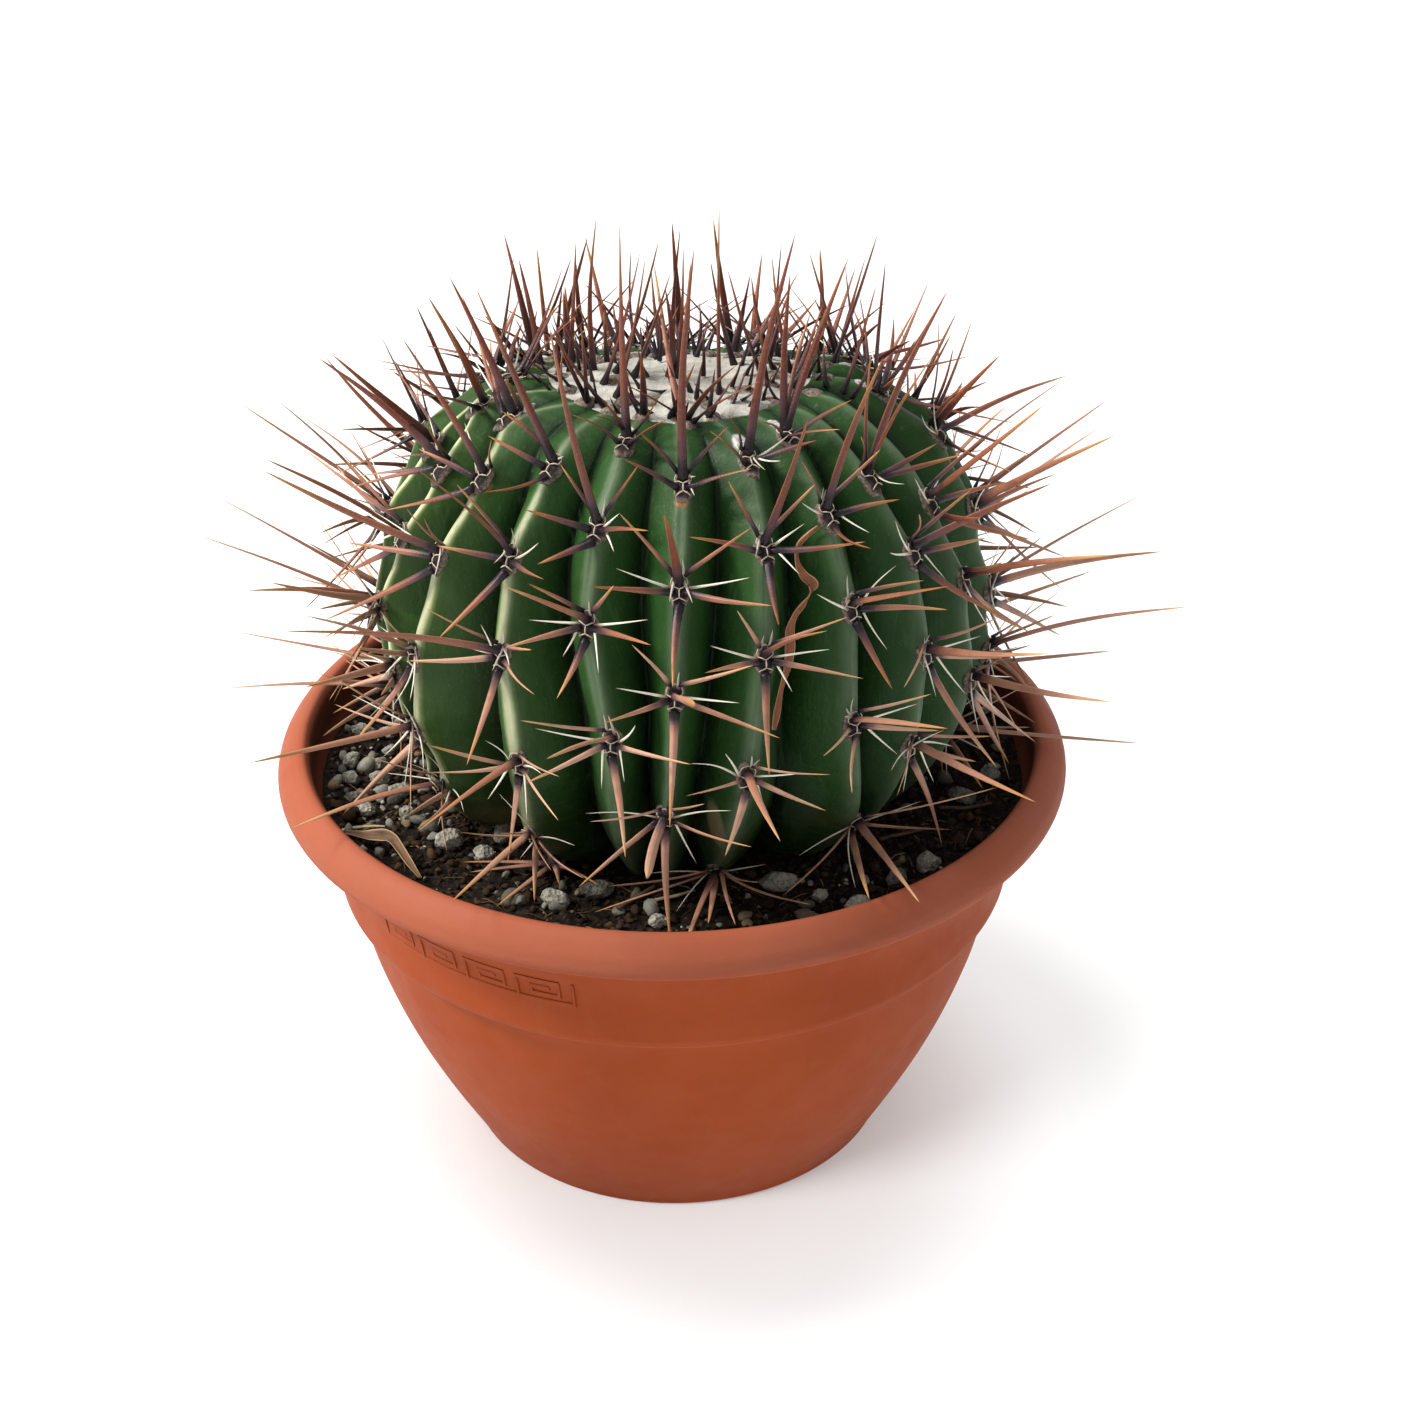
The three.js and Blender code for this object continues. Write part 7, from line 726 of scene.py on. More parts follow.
    # tiny pale specks
    speck = m.map(m.cells(520), 0.10, 0.16, 0.14, 0.0)
    colour = m.mix(speck, colour, (0.22, 0.29, 0.16))
    # thin level creases on the old part of the ribs
    level = m.noise(60, 2, 0.5, m.scaled(m.obj, 0.35, 0.35, 5.0), 0.8)
    line = m.math("MULTIPLY", m.map(m.math("ABSOLUTE", m.math("SUBTRACT", level, 0.56)), 0.0, 0.012, 0.55, 0.0), m.map(high, 0.1, -0.3, 0.0, 1.0))
    colour = m.mix(line, colour, (0.085, 0.100, 0.045))
    # fine pores and creases
    fine = m.noise(900, 3, 0.6)
    mid = m.noise(170, 4, 0.6, m.scaled(m.obj, 1, 1, 0.5))
    normal = m.bump(fine, 0.18, 0.0003)
    normal = m.bump(mid, 0.45, 0.0014, normal)
    rough = m.map(m.noise(55, 3, 0.5), 0.3, 0.7, 0.38, 0.56, "LINEAR")
    m.b.inputs["Subsurface Weight"].default_value = 0.05
    m.b.inputs["Subsurface Radius"].default_value = (0.004, 0.006, 0.002)
    m.b.inputs["Subsurface Scale"].default_value = 0.6
    return m.done(colour, rough, normal, Specular_IOR_Level=0.15)


body().drooped().object("cactus_body_skin", skin_material(), ["cactus_body"], "cactus_skin")


# ---------------------------------------------------------------- felt on the crown
def felt_top(r):
    return 313.4 - 3.2 * (r / 46) ** 2


def felt():
    NR, NA = 110, 520
    rr = (np.linspace(0, 1, NR) ** 0.8)[1:]
    az = np.arange(NA) / NA * 2 * np.pi
    edge = 45.2 + 2.6 * np.clip(np.cos(RIBS * (az - math.radians(-2.04))), -0.3, 1) + 2.0 * noise3(np.stack([np.cos(az) * 7, np.sin(az) * 7, az * 0], -1), 4) + 0.9 * noise3(np.stack([np.cos(az) * 22, np.sin(az) * 22, az * 0], -1), 14)
    wide = smooth(30, 85, np.abs((np.degrees(az) + 180) % 360 - 180))
    edge = edge + 5.6 * wide
    R = rr[:, None] * edge[None]
    x, y = R * np.sin(az), -R * np.cos(az)
    p = np.stack([x, y, 0 * x], -1)
    z = felt_top(R) + 0.15
    lumps = fractal(p, 15, 3, 8) * 1.5 + np.abs(fractal(p, 9, 2, 15)) * -1.6 + fractal(p, 1.6, 2, 22) * 0.16
    z = z + lumps * 0.85
    z = np.maximum(z, 311.1 + lumps * 0.30 - 3.0 * (1 - wide[None]) * smooth(36, 46, R))
    z = np.where(R > edge - 2.6, z - 2.2 * ((R - edge + 2.6) / 2.6) ** 2, z)
    under = np.stack([BODY_X + edge * 0.985 * np.sin(az), BODY_Y - edge * 0.985 * np.cos(az), np.full(NA, 308.6)], -1)
    top = np.stack([BODY_X + x, BODY_Y + y, z], -1)
    n = len(rr)
    v = np.vstack([top.reshape(-1, 3), under, [[BODY_X, BODY_Y, felt_top(0) + 0.3], [BODY_X, BODY_Y, 308.6]]])
    s = Soup()
    c = n * NA
    s.add(v, [grid_faces(n + 1, NA, True), fan(c + NA, 0, NA), fan(c + NA + 1, c, NA, True)], edge=np.concatenate([(R / edge).reshape(-1), np.ones(NA), [0, 1]]))
    return s


def felt_material(name="crown_felt"):
    m = Mat(name)
    base = m.ramp(
        m.noise(110, 5, 0.7),
        [(0.25, (0.19, 0.175, 0.145)), (0.42, (0.37, 0.355, 0.31)), (0.60, (0.49, 0.475, 0.425)), (0.8, (0.60, 0.585, 0.54))],
    )
    dirt = m.noise(36, 4, 0.6)
    base = m.mix(m.map(dirt, 0.40, 0.70, 0.0, 0.5), base, (0.27, 0.245, 0.205))
    fibre = m.noise(1500, 2, 0.6, m.scaled(m.obj, 1, 0.25, 1), 1.2)
    base = m.mix(m.map(fibre, 0.35, 0.65, 0.0, 0.3), base, (0.52, 0.50, 0.45))
    normal = m.bump(fibre, 0.5, 0.0006)
    normal = m.bump(m.noise(420, 4, 0.7), 0.6, 0.0012, normal)
    m.b.inputs["Sheen Weight"].default_value = 0.25
    return m.done(base, 0.95, normal, Specular_IOR_Level=0.12)


FELT = felt_material()
felt().drooped().object("crown_felt", FELT, ["crown_wool"], "felt")

# ---------------------------------------------------------------- spines
# Width and thickness at the base by kind: central, lateral, downward, upper, thin, stub, blunt, tall and short crown spines.
HALF_WIDTH = {0: 1.55, 1: 1.16, 2: 1.50, 3: 0.82, 4: 0.47, 5: 0.50, 6: 1.6, 7: 1.45, 8: 0.95}
FLAT = {0: 0.52, 1: 0.50, 2: 0.50, 3: 0.55, 4: 0.8, 5: 0.6, 6: 0.5, 7: 0.6, 8: 0.75}
SECTION = np.array([(1, 0), (0.72, 0.42), (0.28, 0.86), (0.0, 1.0), (-0.28, 0.86), (-0.72, 0.42), (-1, 0), (-0.66, -0.5), (0.0, -0.72), (0.66, -0.5)])


def spine(s, base, tip, out, kind, tone, bend, twist, seed):
    """A flattened spine with a keel, swollen where it leaves the areole."""
    base, tip, out = np.asarray(base, float), np.asarray(tip, float), unit(out)
    d = tip - base
    length = np.linalg.norm(d)
    t0 = d / length
    count = int(np.clip(length / 2.0, 9, 34))
    u = np.linspace(0, 1, count) ** 1.15
    face = out - t0 * (out @ t0)
    if np.linalg.norm(face) < 0.2:
        face = np.cross(t0, [0, 0, 1.0])
    face = unit(face)
    side = np.cross(face, t0)
    bow = (face * bend[0] + side * bend[1]) * length
    line = base + d * u[:, None] + bow * (np.sin(np.pi * u) * (1 - 0.3 * u))[:, None]
    t = unit(np.gradient(line, axis=0))
    a = HALF_WIDTH[kind]
    if kind == 6:
        w = a * np.clip(1 - u**6, 0.02, 1) ** 0.5 * (0.95 + 0.25 * u)
    elif kind in (4, 5, 8):
        w = a * (1 - u**1.3) + 0.07 * u * np.clip((1 - u) * 12, 0, 1)
    else:
        w = a * (1 - u**1.55) + 0.15 * u * np.clip((1 - u) * 12, 0, 1)
    mm = u * length
    swell = np.exp(-((mm / (1.9 * a + 0.4)) ** 2))
    w = w * (1 + 0.22 * swell) + 0.03
    if length > 18:
        w = w * (1 + 0.022 * np.sin(mm * 2.6 + seed) + 0.02 * np.sin(mm * 1.1 + 2 * seed))
    flat = FLAT[kind] * (1 - swell) + 0.95 * swell
    ang = twist * u
    f = face - t * (t @ face)[:, None]
    f = unit(f)
    sd = np.cross(f, t)
    ca, sa = np.cos(ang)[:, None], np.sin(ang)[:, None]
    f, sd = f * ca + sd * sa, sd * ca - f * sa
    sec = SECTION if kind not in (4, 8) else SECTION[[0, 1, 3, 5, 6, 8]]
    ring = sd[:, None] * sec[None, :, :1] + f[:, None] * (sec[None, :, 1:] * flat[:, None, None])
    v = (line[:, None] + ring * w[:, None, None]).reshape(-1, 3)
    k = len(sec)
    total = count * k
    v = np.vstack([v, [base - t0 * 0.4, tip + t0 * 0.15]])
    s.add(
        v,
        [grid_faces(count, k, True, True), fan(total, 0, k, True), fan(total + 1, total - k, k)],
        s=np.append(np.repeat(u, k), [0, 1]),
        mm=np.append(np.repeat(mm, k), [0, length]) / 100,
        tone=tone,
        rim=np.append(np.tile(np.abs(sec[:, 0]), count), [0, 0]),
        pale=1.0 if kind == 4 else (0.55 if kind == 5 else 0.0),
        rnd=(seed * 0.618) % 1.0,
        part=0.0,
    )


def pad(s, q, n, u, l, young, seed):
    """The raised cushion of an areole: dark scales in the middle, felt round its edge."""
    rings, around = 12, 40
    rho = np.linspace(0, 1, rings + 1)[1:]
    th = np.arange(around) / around * 2 * np.pi
    a, b = (6.3, 3.5) if not young else (4.2, 3.6)
    wav = 1 + 0.06 * np.sin(3 * th + seed) + 0.05 * np.sin(5 * th + 2.1 * seed)
    x = b * np.outer(rho, np.cos(th) * wav)
    y = a * np.outer(rho, np.sin(th) * wav) + (0.3 if not young else 0)
    z = 1.15 * np.sqrt(np.clip(1 - np.repeat(rho[:, None], around, 1) ** 2, 0, 1)) ** 0.8 - x * x / (2 * 7.0) - 1.1 * rho[:, None] ** 3
    p = q + x[..., None] * l + y[..., None] * u + z[..., None] * n
    p = p + n * (fractal(p, 1.5, 2, 40) * 0.16)[..., None]
    c = rings * around
    v = np.vstack([p.reshape(-1, 3), [q + n * 1.2, q - n * 1.6]])
    rim = np.append(np.repeat(rho, around), [0, 1])
    s.add(
        v,
        [grid_faces(rings, around, True), fan(c, 0, around), fan(c + 1, c - around, around, True)],
        s=0.0, mm=0.0, tone=0.0, pale=0.0, rim=0.5, rnd=(seed * 0.37) % 1.0,
        part=0.35 + 0.3 * rim if not young else 0.62,
    )


def scrap(s, q, n, u, l, seed, a, b):
    """A thin, ragged patch of pale felt lying on the crest."""
    rings, around = 7, 36
    rho = np.linspace(0, 1, rings + 1)[1:]
    th = np.arange(around) / around * 2 * np.pi
    wav = 1 + 0.14 * np.sin(3 * th + seed) + 0.09 * np.sin(5 * th + 2.1 * seed) + 0.06 * np.sin(9 * th + seed * 3)
    x, y = b * np.outer(rho, np.cos(th) * wav), a * np.outer(rho, np.sin(th) * wav)
    z = 1.35 - x * x / 9.0 - 1.5 * rho[:, None] ** 6
    p = q + x[..., None] * l + y[..., None] * u + z[..., None] * n
    p = p + n * (fractal(p, 1.3, 2, 44) * 0.22)[..., None]
    c = rings * around
    s.add(
        np.vstack([p.reshape(-1, 3), [q + n * 1.35, q - n * 1.5]]),
        [grid_faces(rings, around, True), fan(c, 0, around), fan(c + 1, c - around, around, True)],
        s=0.0, mm=0.0, tone=0.0, pale=1.0, rim=0.5, rnd=(seed * 0.53) % 1.0, part=0.72,
    )


def vein(s, q, n, u, l, points, width):
    """Cream line between the scales of an areole."""
    pts = np.array([q + l * x + u * y + n * (z) for x, y, z in points])
    k = np.linspace(0, 1, 4 * (len(pts) - 1) + 1)
    path = np.stack([np.interp(k, np.linspace(0, 1, len(pts)), pts[:, i]) for i in range(3)], -1)
    w = width * (1 - 0.45 * np.abs(2 * k - 1) ** 2)
    v, f = tube(path, w, 5, 1.0, n)
    s.add(v, f, s=0.0, mm=0.0, tone=0.0, pale=0.0, rim=0.5, rnd=0.5, part=1.0)


def spine_material():
    m = Mat("spines")
    s, mm, tone, pale, rnd, part = (m.attr(k) for k in ("s", "mm", "tone", "pale", "rnd", "part"))
    mid = m.ramp(
        tone,
        [(0.0, (0.120, 0.024, 0.012)), (0.3, (0.215, 0.058, 0.028)), (0.62, (0.335, 0.135, 0.082)), (1.0, (0.50, 0.285, 0.20))],
    )
    tip = m.ramp(
        m.math("ADD", m.math("MULTIPLY", tone, 0.6), m.math("MULTIPLY", rnd, 0.4)),
        [(0.0, (0.19, 0.045, 0.014)), (0.30, (0.33, 0.105, 0.030)), (0.45, (0.44, 0.19, 0.052)), (0.62, (0.57, 0.30, 0.100)), (0.8, (0.58, 0.33, 0.16)), (1.0, (0.60, 0.38, 0.22))],
    )
    streaks = m.noise(90, 3, 0.6, m.scaled(m.obj, 1, 1, 1))
    colour = m.mix(m.map(s, 0.5, 1.0), mid, tip)
    colour = m.mix(m.map(streaks, 0.46, 0.74, 0.0, 0.35), colour, (0.15, 0.060, 0.045))
    # the keel is darker and the thin edges let light through
    rim = m.attr("rim")
    colour = m.mix(m.map(rim, 0.72, 0.98, 0.0, 0.22), colour, (0.60, 0.33, 0.19))
    colour = m.mix(m.map(rim, 0.28, 0.0, 0.0, 0.22), colour, (0.15, 0.065, 0.06))
    fine = m.noise(800, 3, 0.6)
    colour = m.mix(m.map(fine, 0.45, 0.8, 0.0, 0.10), colour, (0.66, 0.40, 0.25))
    # dark, bruised-purple base
    reach = m.map(tone, 0.0, 1.0, 0.22, 0.058, "LINEAR")
    edge = m.math("ADD", mm, m.math("MULTIPLY", m.math("SUBTRACT", m.noise(240, 2, 0.5), 0.5), 0.05))
    near = m.math("DIVIDE", edge, reach)
    mauve = m.mix(m.map(near, 0.25, 1.15), (0.085, 0.040, 0.046), colour)
    colour = m.mix(m.map(near, 0.16, 0.48), (0.016, 0.009, 0.012), mauve)
    # darker point
    colour = m.mix(m.map(s, 0.965, 1.0, 0.0, 0.6), colour, (0.10, 0.035, 0.02))
    # thin radial spines are cream
    cream = m.mix(m.map(s, 0.0, 0.25), (0.34, 0.20, 0.14), (0.84, 0.78, 0.65))
    cream = m.mix(m.map(s, 0.8, 1.0, 0.0, 0.5), cream, (0.55, 0.36, 0.18))
    colour = m.mix(pale, colour, cream)
    # areole: scales, felted edge, cream veins
    scale = m.mix(m.map(m.noise(600, 3, 0.6), 0.4, 0.7), (0.012, 0.008, 0.010), (0.050, 0.028, 0.030))
    wool = m.mix(m.map(m.noise(900, 3, 0.7), 0.35, 0.65), (0.075, 0.050, 0.040), (0.27, 0.22, 0.17))
    areole = m.mix(m.map(part, 0.52, 0.64), scale, wool)
    areole = m.mix(m.math("MULTIPLY", m.map(part, 0.66, 0.70), pale), areole, m.mix(m.map(m.noise(500, 4, 0.7), 0.35, 0.65), (0.24, 0.235, 0.21), (0.60, 0.60, 0.57)))
    areole = m.mix(m.map(part, 0.80, 0.95), areole, (0.56, 0.47, 0.37))
    colour = m.mix(m.map(part, 0.1, 0.3), colour, areole)
    rings = m.new("ShaderNodeTexWave", wave_type="BANDS", bands_direction="X")
    comb = m.new("ShaderNodeCombineXYZ")
    m.put(comb.inputs[0], mm)
    m.put(comb.inputs[1], rnd)
    m.put(rings.inputs["Vector"], comb.outputs[0])
    rings.inputs["Scale"].default_value = 22
    rings.inputs["Distortion"].default_value = 1.5
    normal = m.bump(rings.outputs["Fac"], 0.07, 0.0005)
    normal = m.bump(fine, 0.25, 0.0004, normal)
    rough = m.map(part, 0.1, 0.5, 0.42, 0.9)
    m.b.inputs["Subsurface Weight"].default_value = 0.0
    return m.done(colour, rough, normal, Specular_IOR_Level=0.34)


SPINES = spine_material()


def young_spines():
    """Short dark spines crowded on the felt, by the rib they stand on; most lean outward."""
    local = np.random.default_rng(4040)
    out = [[] for _ in range(RIBS)]
    rib_az = np.array([float(rib_azimuth(k, 58)) for k in range(RIBS)])
    for ring, count, lo, hi in ((15, 4, 14, 24), (24, 7, 12, 26), (33, 11, 10, 26), (41, 22, 9, 24), (47, 28, 8, 18)):
        turn = local.uniform(0, 360)
        for i in range(count):
            az = turn + 360 * (i + local.uniform(-0.3, 0.3)) / count
            r = ring + local.uniform(-3, 3)
            if ring == 47 and abs((az + 180) % 360 - 180) < 62:
                continue
            a = math.radians(az)
            at = np.array([BODY_X + r * math.sin(a), BODY_Y - r * math.cos(a), felt_top(min(r, 46)) - 0.6])
            outward = np.array([math.sin(a), -math.cos(a), 0.0])
            lean = local.uniform(0.05, 0.55) + 0.35 * (ring > 40)
            way = unit(np.array([0, 0, 1.0]) + outward * lean + local.normal(0, 0.20, 3) * np.array([1, 1, 0]))
            k = int(np.argmin(np.abs((rib_az - az + 180) % 360 - 180)))
            out[k].append((at, at + way * local.uniform(lo, hi), outward, local.uniform(0, 0.30), local.uniform(0, 50), local.normal(0, 0.03, 2)))
    return out


YOUNG = young_spines()
for k, row in enumerate(AREOLES):
    s = Soup()
    for i, (crown, q, n, u, spines) in enumerate(row):
        q, n, u = np.array(q) / 10, unit(n), np.array(u, float)
        u = unit(u - n * (u @ n))
        l = np.cross(u, n)
        seed = k * 13.7 + i * 5.31
        local = np.random.default_rng(1000 * k + i)
        radius = math.hypot(q[0] - BODY_X, q[1] - BODY_Y)
        on_felt = q[2] > 310.9 and radius < 53
        q = q + unit(np.array([q[0] - BODY_X, q[1] - BODY_Y, 0.0])) * float(foot_swell(q[0], q[1], q[2]))
        pad(s, q, n, u, l, on_felt, seed)
        if not on_felt and radius < 76 and q[2] > 285:
            # a scrap of the crown's felt left above a young areole
            up = unit(u + n * -0.10)
            a = q + up * (7.4 + local.uniform(-0.8, 0.8)) - n * 0.75
            scrap(s, a, n, up, np.cross(up, n), seed, local.uniform(2.6, 4.2), local.uniform(1.5, 2.3))
        if not on_felt:
            j1, j2 = (0.0, 1.05, 1.62), (0.0, -1.75, 1.62)
            vein(s, q, n, u, l, [j1, (0, -0.35, 1.9), j2], 0.24)
            for sx in (-1, 1):
                vein(s, q, n, u, l, [j1, (sx * 1.35, 1.75, 1.5), (sx * 2.6, 2.2, 0.75)], 0.25)
                vein(s, q, n, u, l, [j2, (sx * 1.25, -2.3, 1.35), (sx * 2.4, -3.0, 0.55)], 0.25)
                vein(s, q, n, u, l, [(sx * 2.6, 2.2, 0.75), (sx * 2.75, 3.6, 0.55), (sx * 2.0, 5.2, 0.5), (0, 6.0, 0.6)], 0.22)
        # old spines low on the plant are paler
        age = float(smooth(312, 215, q[2]))
        for j in range(0, len(spines), 7):
            kind = spines[j]
            tip = np.array(spines[j + 1 : j + 4]) / 10
            base = np.array(spines[j + 4 : j + 7]) / 10
            tone = np.clip(0.16 + 0.72 * age + local.normal(0, 0.10) + (0.10 if kind in (1, 3) else 0) - (0.12 if kind in (0, 7) else 0), 0, 1)
            size = np.linalg.norm(tip - base)
            bend = local.normal(0, 0.016, 2) + np.array([0.03 if kind in (1, 3) else -0.02, 0])
            if kind in (4, 5):
                bend = bend * 1.5
            spine(s, base, tip, n, kind, tone, bend, local.normal(0, 0.35), seed + j * 0.77)
    for at, tip, outward, tone, seed, bend in YOUNG[k]:
        spine(s, at, tip, outward, 8, tone, bend, 0.3, seed)
    if s.n:
        s.drooped().object("spines_rib_%02d" % (k + 1), SPINES, ["spine_row_%02d" % (k + 1)], "spine")


# ---------------------------------------------------------------- pot
def round_profile(points, step=1.2):
    """Softens the corners of an outline: each point is (radius, height, corner)."""
    out = []
    n = len(points)
    for i, (r, z, c) in enumerate(points):
        p = np.array([r, z], float)
        if i in (0, n - 1) or c <= 0:
            out.append(p)
            continue
        a, b = np.array(points[i - 1][:2], float), np.array(points[i + 1][:2], float)
        da, db = np.linalg.norm(a - p), np.linalg.norm(b - p)
        k = min(c, 0.48 * da, 0.48 * db)
        s, e = p + (a - p) / da * k, p + (b - p) / db * k
        for t in np.linspace(0, 1, 6):
            out.append((1 - t) ** 2 * s + 2 * t * (1 - t) * p + t * t * e)
    dense = [out[0]]
    for p in out[1:]:
        gap = np.linalg.norm(p - dense[-1])
        m = max(1, int(gap / 6))
        base = dense[-1]
        for j in range(1, m + 1):
            dense.append(base + (p - base) * j / m)
    return np.array(dense)


POT_OUTLINE = [
    (0, 0, 0), (81.8, 0, 1), (84.0, 1.0, 1.2), (85.2, 4.2, 3), (89.9, 13, 6), (97.3, 27.1, 9), (106.1, 45.5, 10), (113.8, 65, 10),
    (120.5, 86.7, 10), (123.7, 103.6, 2.5), (124.8, 107.6, 1.2), (128.6, 110.0, 0.9), (129.6, 112.6, 1.6), (130.4, 127, 4), (131.5, 134, 4), (134.9, 144, 4),
    (137, 149, 2), (138.4, 151.6, 1.5), (147.4, 152.6, 2), (149.5, 154.3, 1.1), (149.8, 156.8, 2), (148.5, 161, 3), (144.6, 165.3, 2.2), (141.6, 167.1, 1.4),
    (139.1, 167.1, 1.1), (137.4, 165, 1.5), (136.6, 153.5, 2.5), (132.6, 148.6, 3), (127.2, 138, 4), (125.6, 128, 4), (124.6, 113, 3), (119.6, 105, 3),
    (116, 84.6, 8), (101.8, 46.6, 8), (84, 12, 4), (80, 4.5, 2), (0, 4.5, 0),
]
KEY_Z0, KEY_Z1 = 127.0, 136.4
KEY_PITCH = 9.23  # degrees for one turn of the key
KEY_STROKE = 1.35
KEY_RISE = 0.13


def wall_radius(z):
    return np.interp(z, [112.6, 127, 134, 144], [129.6, 130.4, 131.5, 134.9])


def pot():
    prof = round_profile(POT_OUTLINE)
    seg = 288
    az = np.arange(seg) / seg * 2 * np.pi
    inner = prof[1:-1]
    n = len(inner)
    r = inner[:, :1] * np.ones(seg)
    z = inner[:, 1:] * np.ones(seg)
    p = np.stack([r * np.cos(az), r * np.sin(az), z], -1)
    # moulded plastic is never quite true
    warp = 0.22 * np.cos(2 * az + 0.7) + 0.12 * np.cos(3 * az + 2.0)
    k = smooth(20, 140, z) * 0.9
    r2 = r + warp[None] * k
    p = np.stack([r2 * np.cos(az), r2 * np.sin(az), z], -1)
    v = np.vstack([p.reshape(-1, 3), [[0, 0, 0], [0, 0, 4.5]]])
    s = Soup()
    top_row = int(np.argmax(inner[:, 1]))
    within = np.repeat(smooth(top_row, top_row + 4, np.arange(n)), seg)
    s.add(v, [grid_faces(n, seg, True, True), fan(n * seg, 0, seg, True), fan(n * seg + 1, (n - 1) * seg, seg)], inside=np.append(within, [0, 1]))
    # square key running round the band in three panels
    unit_line = [
        [(0, 0), (0, 4), (6, 4), (6, 1.25), (2.05, 1.25), (2.05, 2.65), (4.5, 2.65)],
        [(0, 0), (8, 0)],
    ]
    def stroke(a, b, half):
        """One raised bar of the key, from a to b in band units; its ends are square."""
        (x0, y0), (x1, y1) = a, b
        horiz = abs(y1 - y0) < 1e-9
        lo_x, hi_x = min(x0, x1) - half / 2.72, max(x0, x1) + half / 2.72
        lo_y, hi_y = min(y0, y1) - half / 1.93, max(y0, y1) + half / 1.93
        return lo_x, hi_x, lo_y, hi_y
    boxes = []
    for panel in range(3):
        start = -52.6 + 120 * panel
        for turn in range(4):
            for line in unit_line:
                for a, b in zip(line[:-1], line[1:]):
                    lx, hx, ly, hy = stroke(a, b, KEY_STROKE / 2)
                    boxes.append((start + KEY_PITCH * (turn + lx / 8), start + KEY_PITCH * (turn + hx / 8), KEY_Z0 + (KEY_Z1 - KEY_Z0) * ly / 4, KEY_Z0 + (KEY_Z1 - KEY_Z0) * hy / 4))
        # closing upright at the end of each panel
        lx, hx, ly, hy = stroke((8 * 4, 0), (8 * 4, 4), KEY_STROKE / 2)
        boxes.append((start + KEY_PITCH * lx / 8, start + KEY_PITCH * hx / 8, KEY_Z0 + (KEY_Z1 - KEY_Z0) * ly / 4, KEY_Z0 + (KEY_Z1 - KEY_Z0) * hy / 4))
    for a0, a1, z0, z1 in boxes:
        m = max(2, int(abs(a1 - a0) / 0.6) + 1)
        aa = np.radians(np.linspace(a0, a1, m))
        inset = math.degrees(0.3 / 128) * math.pi / 180
        ring = []
        for zz, rise, shrink in ((z0, -0.8, 0), (z0, 0.02, 0), (z0 + 0.36, KEY_RISE, 1), (z1 - 0.36, KEY_RISE, 1), (z1, 0.02, 0), (z1, -0.8, 0)):
            a = aa.copy()
            if shrink:
                a[0] += inset
                a[-1] -= inset
            rr = wall_radius(zz) + rise + 0.22 * 0
            ring.append(np.stack([rr * np.sin(a), -rr * np.cos(a), np.full(m, zz)], -1))
        g = np.stack(ring)
        vv = g.reshape(-1, 3)
        f = grid_faces(6, m)
        back = np.array([[j, j + 1, 5 * m + j + 1, 5 * m + j] for j in range(m - 1)])
        left = np.array([[0, m, 2 * m, 3 * m], [0, 3 * m, 4 * m, 5 * m]])
        right = np.array([[m - 1, 4 * m - 1, 3 * m - 1, 2 * m - 1], [m - 1, 6 * m - 1, 5 * m - 1, 4 * m - 1]])
        s.add(vv, [f[:, ::-1], back[:, ::-1], left[:, ::-1], right[:, ::-1]])
    return s


def plastic_material():
    m = Mat("terracotta_plastic")
    base = m.ramp(m.noise(14, 4, 0.6), [(0.3, (0.272, 0.0425, 0.0062)), (0.5, (0.298, 0.0485, 0.0072)), (0.7, (0.326, 0.0565, 0.0095))])
    fade = m.noise(38, 5, 0.65, m.scaled(m.obj, 1, 1, 0.6))
    base = m.mix(m.map(fade, 0.52, 0.8, 0.0, 0.26), base, (0.34, 0.078, 0.024))
    dust = m.noise(140, 4, 0.7)
    base = m.mix(m.map(dust, 0.58, 0.82, 0.0, 0.16), base, (0.36, 0.135, 0.075))
    scuff = m.noise(300, 3, 0.6, m.scaled(m.obj, 1, 1, 0.12), 0.6)
    base = m.mix(m.map(scuff, 0.70, 0.8, 0.0, 0.14), base, (0.36, 0.125, 0.070))
    spot = m.map(m.cells(210), 0.04, 0.09, 0.22, 0.0)
    base = m.mix(spot, base, (0.16, 0.035, 0.014))
    z = m.new("ShaderNodeSeparateXYZ")
    m.put(z.inputs[0], m.obj)
    # the rim is painted paler: partly sun bleaching, partly a painted sheen on the upward-facing rim
    rim = m.math("MULTIPLY", m.map(z.outputs[2], 0.1525, 0.1575, 0.0, 0.72), m.map(m.noise(22, 3, 0.5), 0.25, 0.7, 0.75, 1.0))
    base = m.mix(rim, base, (0.325, 0.103, 0.062))
    # painted shade: the inner wall below the rim is painted dark, where the rim and the plant shade it
    painted_inner_shade = m.math("MULTIPLY", m.attr("inside"), m.map(m.math("ADD", z.outputs[2], m.math("MULTIPLY", m.math("SUBTRACT", m.noise(40, 4, 0.6), 0.5), 0.008)), 0.1665, 0.160, 0.3, 1.0))
    base = m.mix(m.math("MULTIPLY", painted_inner_shade, 0.86), base, (0.075, 0.020, 0.010))
    grain = m.noise(1300, 3, 0.7)
    soft = m.noise(60, 3, 0.5)
    normal = m.bump(soft, 0.12, 0.002)
    normal = m.bump(grain, 0.30, 0.00035, normal)
    rough = m.map(m.noise(80, 4, 0.6), 0.3, 0.7, 0.52, 0.66, "LINEAR")
    return m.done(base, rough, normal, Specular_IOR_Level=0.12)


